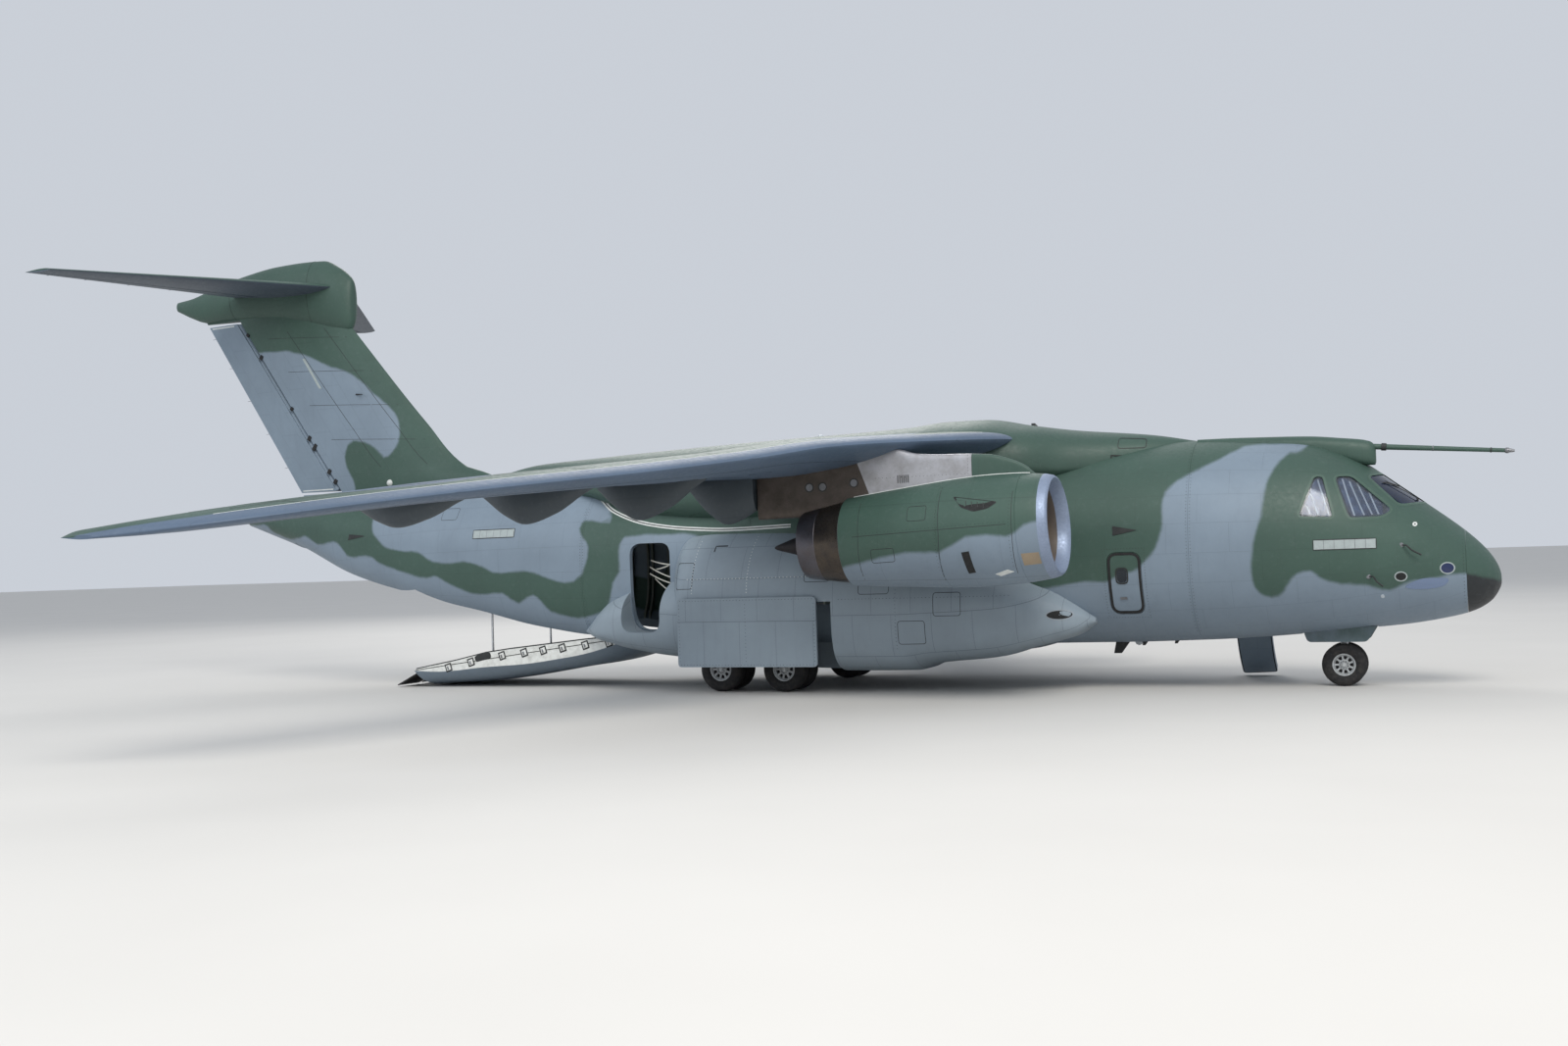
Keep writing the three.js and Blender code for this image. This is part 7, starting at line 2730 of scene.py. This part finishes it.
def wing_fittings():
    for name, side in SIDES:
        parts = Parts()
        skin, under = Skin(on_wing(side, 1), UP, parts), Skin(on_wing(side, -1), DOWN, parts)
        edge = [(float(wing_at(out)[0][0]) + 0.42, out) for out in np.arange(2.6, 16.8, 0.3)]
        skin.line(edge, 0.02, white_seal)
        for share in (0.3, 0.62):
            line = [(chord_station(wing_at, out, share), out) for out in np.arange(2.7, 16.4, 0.4)]
            skin.line(line, 0.012, dark_paint)
        for out in (3.4, 5.9, 8.4, 10.9, 13.4, 15.6):
            line = [(chord_station(wing_at, out, share), out) for share in np.linspace(0.12, 0.7, 12)]
            skin.line(line, 0.01, dark_paint)
        for share in (0.16, 0.62):
            line = [(chord_station(wing_at, out, share), out) for out in np.arange(2.7, 16.4, 0.4)]
            under.line(line, 0.012, dark_paint)
        for out in (6.2, 7.9, 9.6, 11.3, 13.0, 14.7):
            ring_path = ellipse((chord_station(wing_at, out, 0.4), out), 0.24, 0.14)
            under.line(ring_path, 0.014, dark_paint, closed=True)
        for number in range(8):
            out = 13.4 + number * 0.42
            _, aft, height, _, drop = wing_at(out)[0]
            if out > AILERON["to"]:
                parts.add(black, wick(aft, side * out, height - drop, 0.09))
        lens = lathe(
            [(-0.02, 0), (-0.02, 0.05), (0.02, 0.05), (0.07, 0.03), (0.09, 0)], 20,
            at(18.35, side * 17.02, wing_at(17.02)[0][2]), AHEAD,
        )
        parts.add(lamp_glass, lens)
        piece(f"wing_markings_{name}", parts)
        rise = smooth_table(FAIRING_EDGE)
        line = [
            (float(s), float(rise(s)[0][0]))
            for s in np.linspace(FAIRING_EDGE[0][0], FAIRING_EDGE[-1][0], 60)
        ]
        joint = Skin(on_body(side), (0, side, 0), [])
        joint.line(line, 0.085, white_seal, 0.005)
        joint.line(line, 0.022, dark_paint, 0.007)
        piece(f"fairing_edge_{name}", joint.parts)


wing_fittings()


# Nacelles: louvre, panel outlines, vents and seals
def engine_fittings():
    for name, side in SIDES:
        parts = Parts()
        for face in (1, -1):
            skin = Skin(on_nacelle(side, face), (0, face, 0), parts)
            pylon = Skin(on_pylon(side, face), (0, face, 0), parts)
            lens = rounded(((9.86, 4.14), (8.94, 4.0), (9.12, 3.88), (9.4, 3.83), (9.66, 3.92)), 0.05)
            middle = np.mean(lens, axis=0)
            grid = [[tuple(middle + (np.array(p) - middle) * part) for p in lens] for part in (0.01, 1)]
            skin.sheet(grid, black)
            skin.outline(lens, 0.008, dark_paint, 0.006, step=0.2)
            for k in range(4):
                slat = [(9.2 + k * 0.12, 3.89 + 0.02 * k), (9.22 + k * 0.12, 4.0 + 0.015 * k)]
                skin.line(slat, 0.012, cabin_dark, 0.006)
            skin.sheet(
                quad(((9.47, 2.64), (9.62, 2.62), (9.68, 3.04), (9.52, 3.06)), 2, 8), black, closed=False,
            )
            tan = quad(((8.15, 2.78), (8.49, 2.75), (8.51, 2.98), (8.17, 3.0)), 5, 4)
            skin.sheet(tan, tan_paint, 0.002, closed=False)
            for path, wide in (
                ([(8.66, 2.6), (8.64, 3.3), (8.66, 4.2)], 0.01),
                ([(10.16, 2.5), (10.12, 3.4), (10.16, 4.35)], 0.012),
                ([(11.9, 2.55), (11.86, 3.4), (11.9, 4.1)], 0.01),
            ):
                skin.line(finer(path, 0.1), wide, dark_paint, depth=0.008)
            split = [(8.75, 3.56), (12.0, 3.42)]
            skin.line(finer(split, 0.14), 0.01, dark_paint, depth=0.008)
            for corners in (
                ((10.4, 3.7), (10.8, 3.69), (10.8, 3.98), (10.4, 3.99)),
                ((11.1, 2.9), (11.6, 2.88), (11.6, 3.15), (11.1, 3.17)),
            ):
                skin.outline(rounded(corners, 0.05), 0.01, dark_paint, 0.002)
            spots = [
                (8.7, float(z))
                for z in np.arange(2.75, 4.15, 0.07)
            ] + [(10.2, float(z)) for z in np.arange(2.7, 4.1, 0.07)]
            spots += [(float(s), 3.61 - (s - 8.75) * 0.043) for s in np.arange(8.8, 12.0, 0.08)]
            skin.studs(spots, 0.007, 0.003, dark_paint)
            vent = quad(((8.72, 2.64), (9.0, 2.56), (9.1, 2.6), (8.84, 2.68)), 4, 1)
            skin.sheet(vent, white_seal, 0.01, closed=False)
            for s, z in ((12.9, 4.5), (13.2, 4.5), (12.2, 4.55)):
                pylon.sheet(disc((s, z), 0.075), steel, depth=0.008)
                ring_path = ellipse((s, z), 0.09, 0.09)
                pylon.line(ring_path, 0.018, dark_paint, 0.004, 0.008, closed=True)
            for k in range(6):
                s = 11.0 + k * 0.045
                pylon.sheet(
                    quad(rectangle(s, s + 0.018, 4.5, 4.66), 1, 2), black, 0.004, 0.006, closed=False,
                )
            pylon.line([(8.95, 4.62), (8.95, 4.55), (9.08, 4.55)], 0.02, black, 0.003, 0.008)
            spots = [(9.74, float(z)) for z in np.arange(4.5, 5.0, 0.06)] + [
                (float(s), 4.62)
                for s in np.arange(9.8, 11.8, 0.08)
            ]
            pylon.studs(spots, 0.007, 0.003, dark_paint)
            joint = []
            for station in np.linspace(8.5, 12.2, 34):
                half = float(pylon_at(station)[0][2]) + 0.008
                back = float(station) - ENGINE["front"]
                radius = float(np.interp(back, *zip(*NACELLE[1:18])))
                rise = math.sqrt(radius ** 2 - half ** 2) - back * math.tan(math.radians(ENGINE["droop"]))
                joint.append(at(
                    float(station), side * ENGINE["out"] + face * half, ENGINE["height"] + rise + 0.004,
                ))
            parts.add(white_seal, bent_tube(joint, 0.012, 8))
        piece(f"nacelle_fittings_{name}", parts)


engine_fittings()


# Side pods: intake, access panels, rivet rows and edge seal; gear door rivets, ribs and arms
def pod_fittings():
    for name, side in SIDES:
        parts = []
        skin = Skin(on_pod(side), (0, side, 0), parts)
        oval, core = ellipse((8.6, 1.66), 0.26, 0.1, 24), ellipse((8.6, 1.66), 0.01, 0.01, 24)
        skin.sheet([core, oval], black)
        skin.outline(oval, 0.02, rim_paint, 0.006)
        for s0, s1, z0, z1 in (
            (17.0, 17.5, 2.4, 3.0), (12.2, 12.9, 2.2, 2.75), (10.6, 11.2, 1.7, 2.2), (13.6, 14.2, 2.5, 3.1),
            (11.4, 12.0, 1.1, 1.6),
        ):
            hatch = rounded(rectangle(s0, s1, z0, z1), 0.07)
            skin.outline(hatch, 0.012, dark_paint, 0.002)
        path = ((16.56, 3.24), (16.56, 3.37), (16.26, 3.37))
        skin.outline(path, 0.025, black, closed=False)
        spots = [(15.6, float(z)) for z in np.arange(2.3, 3.6, 0.07)] + [
            (float(s), 2.62)
            for s in np.arange(13.9, 17.2, 0.09)
        ]
        spots += [(17.0, float(z)) for z in np.arange(2.3, 3.5, 0.07)]
        skin.studs(spots, 0.012, 0.004, white_seal)
        spots = [
            (12.05, float(z))
            for z in np.arange(1.0, 3.2, 0.08)
        ] + [(float(s), 2.1) for s in np.arange(9.6, 13.4, 0.08)]
        skin.studs(spots, 0.008, 0.004, dark_paint)
        seal = [(float(s), float(pod_at(s)[0][1]) - 0.06) for s in np.arange(12.0, 17.3, 0.15)]
        skin.line(seal, 0.02, white_seal, 0.003)
        piece(f"pod_fittings_{name}", parts)

        inner = GEAR_DOOR_FACES[0]
        seams = Parts()
        spots = [(float(s), z) for s in np.arange(13.96, 17.26, 0.08) for z in (0.67, 2.13)]
        spots += [(s, float(z)) for z in np.arange(0.75, 2.1, 0.08) for s in (13.92, 15.6, 17.27)]
        Skin(on_gear_door(side), (0, side, 0), seams).studs(spots, 0.008, 0.0035, dark_paint)
        for number in range(7):
            station = 14.0 + number * 0.53
            seams.add(
                cabin_paint,
                box(station, station + 0.04, side * (inner - 0.035), side * (inner + 0.001), 0.7, 2.1),
            )
        for height in (0.75, 1.4, 2.05):
            seams.add(
                cabin_paint,
                box(
                    13.95, 17.24, side * (inner - 0.03), side * (inner + 0.001), height - 0.02,
                    height + 0.02,
                ),
            )
        for station in (14.3, 15.6, 16.9):
            arm = bent_tube(
                [
                    at(station, side * (inner - 0.02), 1.95), at(station, side * (inner - 0.09), 2.03),
                    at(station, side * 3.05, 2.1),
                ],
                0.016,
            )
            seams.add(steel, arm)
        piece(f"gear_door_fittings_{name}", seams, body="gear_door_" + name)


pod_fittings()


# Fin: pale strip, hinge brackets, probe, light and rudder edges
def fin_fittings():
    parts, rudder_parts = Parts(), Parts()
    for _, side in SIDES:
        skin = Skin(on_fin(side), (0, side, 0), parts)
        strip = ((29.78, 8.2), (29.87, 8.2), (30.44, 9.08), (30.35, 9.08))
        skin.sheet(quad(strip, 2, 10), strip_paint, 0.004, closed=False)
        for share in (0.16, 0.42):
            line = [(chord_station(fin_at, height, share), height) for height in np.arange(5.9, 10.1, 0.25)]
            skin.line(line, 0.012, dark_paint, depth=0.008)
        for height in (6.6, 7.6, 8.6, 9.6):
            shares = np.linspace(0.06, 0.62, 10)
            line = [
                (chord_station(fin_at, height, share), height + (share - 0.1) * 0.3)
                for share in shares
            ]
            skin.line(line, 0.01, dark_paint, depth=0.008)
        for height, long in (
            (9.93, 0.09), (9.25, 0.14), (7.71, 0.1), (6.84, 0.14), (6.58, 0.2), (5.87, 0.14), (5.58, 0.14),
        ):
            spot = skin.place(RUDDER["bottom"] + RUDDER_SLOPE * (height - RUDDER["low"]) - 0.17, height)
            lean = Matrix.Rotation(math.atan(RUDDER_SLOPE), 4, "Y")
            parts.add(
                black, rounded_block(spot + Vector((0, side * 0.012, 0)), (0.11, 0.04, long), 0.014, lean),
            )
        parts.add(
            black,
            rod(
                skin.place(28.6, 7.95), skin.place(28.6, 7.95) + Vector((0.3, side * 0.1, -0.03)), 0.02,
                0.012, 14, 0.004,
            ),
        )
        dome = lathe(
            [(-0.02, 0), (-0.02, 0.09), (0.03, 0.085), (0.07, 0.05), (0.085, 0)], 24,
            skin.place(27.5, 5.45), (0, side, 0.2),
        )
        parts.add(white_seal, dome)
    for height, share in ((RUDDER["low"] + 0.05, 0.0), (RUDDER["high"] - 0.05, 1.0)):
        for _, side in SIDES:
            skin = Skin(on_fin(side), (0, side, 0), rudder_parts)
            start = RUDDER["bottom"] + (RUDDER["top"] - RUDDER["bottom"]) * share + 0.12
            end = fin_at(height)[0][1] - 0.08
            line = finer([(start, height), (float(end), height)], 0.15)
            skin.line(line, 0.03, white_seal, 0.003, 0.008)
    for part in (0.15, 0.35, 0.55, 0.75, 0.93):
        height = RUDDER["low"] + (RUDDER["high"] - RUDDER["low"]) * part
        aft = float(fin_at(height)[0][1])
        rudder_parts.add(black, wick(aft, 0, height, 0.12, sag=0.01))
    piece("fin_fittings", parts)
    piece("rudder_fittings", rudder_parts, body="rudder")

    for name, side in SIDES:
        wicks = Parts()
        for out in (1.2, 2.4, 3.6, 4.8, 5.8):
            _, aft, height, _ = tailplane_at(out)[0]
            wicks.add(black, wick(aft, side * out, height, 0.09, radius=0.005))
        piece(f"elevator_wicks_{name}", wicks, body="elevator_" + name)
    light = lathe([(0, 0), (0, 0.06), (0.04, 0.05), (0.07, 0)], 24, at(35.13, 0, 11.01), AFT)
    bullet_parts = Parts()
    bullet_parts.add(lamp_glass, light)
    for station in (30.1, 32.9):
        low, high, half, waist = bullet_at(math.sqrt(station - BULLET[0][0]))[0]
        y, z = section(
            0, half + 0.002, low - 0.002, high + 0.002, waist, 2.2, 2.0, np.arange(48) / 48 * 2 * math.pi,
        )
        bullet_parts.add(
            dark_paint, bent_tube([at(station, float(a), float(b)) for a, b in zip(y, z)], 0.004, 6, True),
        )
    piece("bullet_fittings", bullet_parts)


fin_fittings()
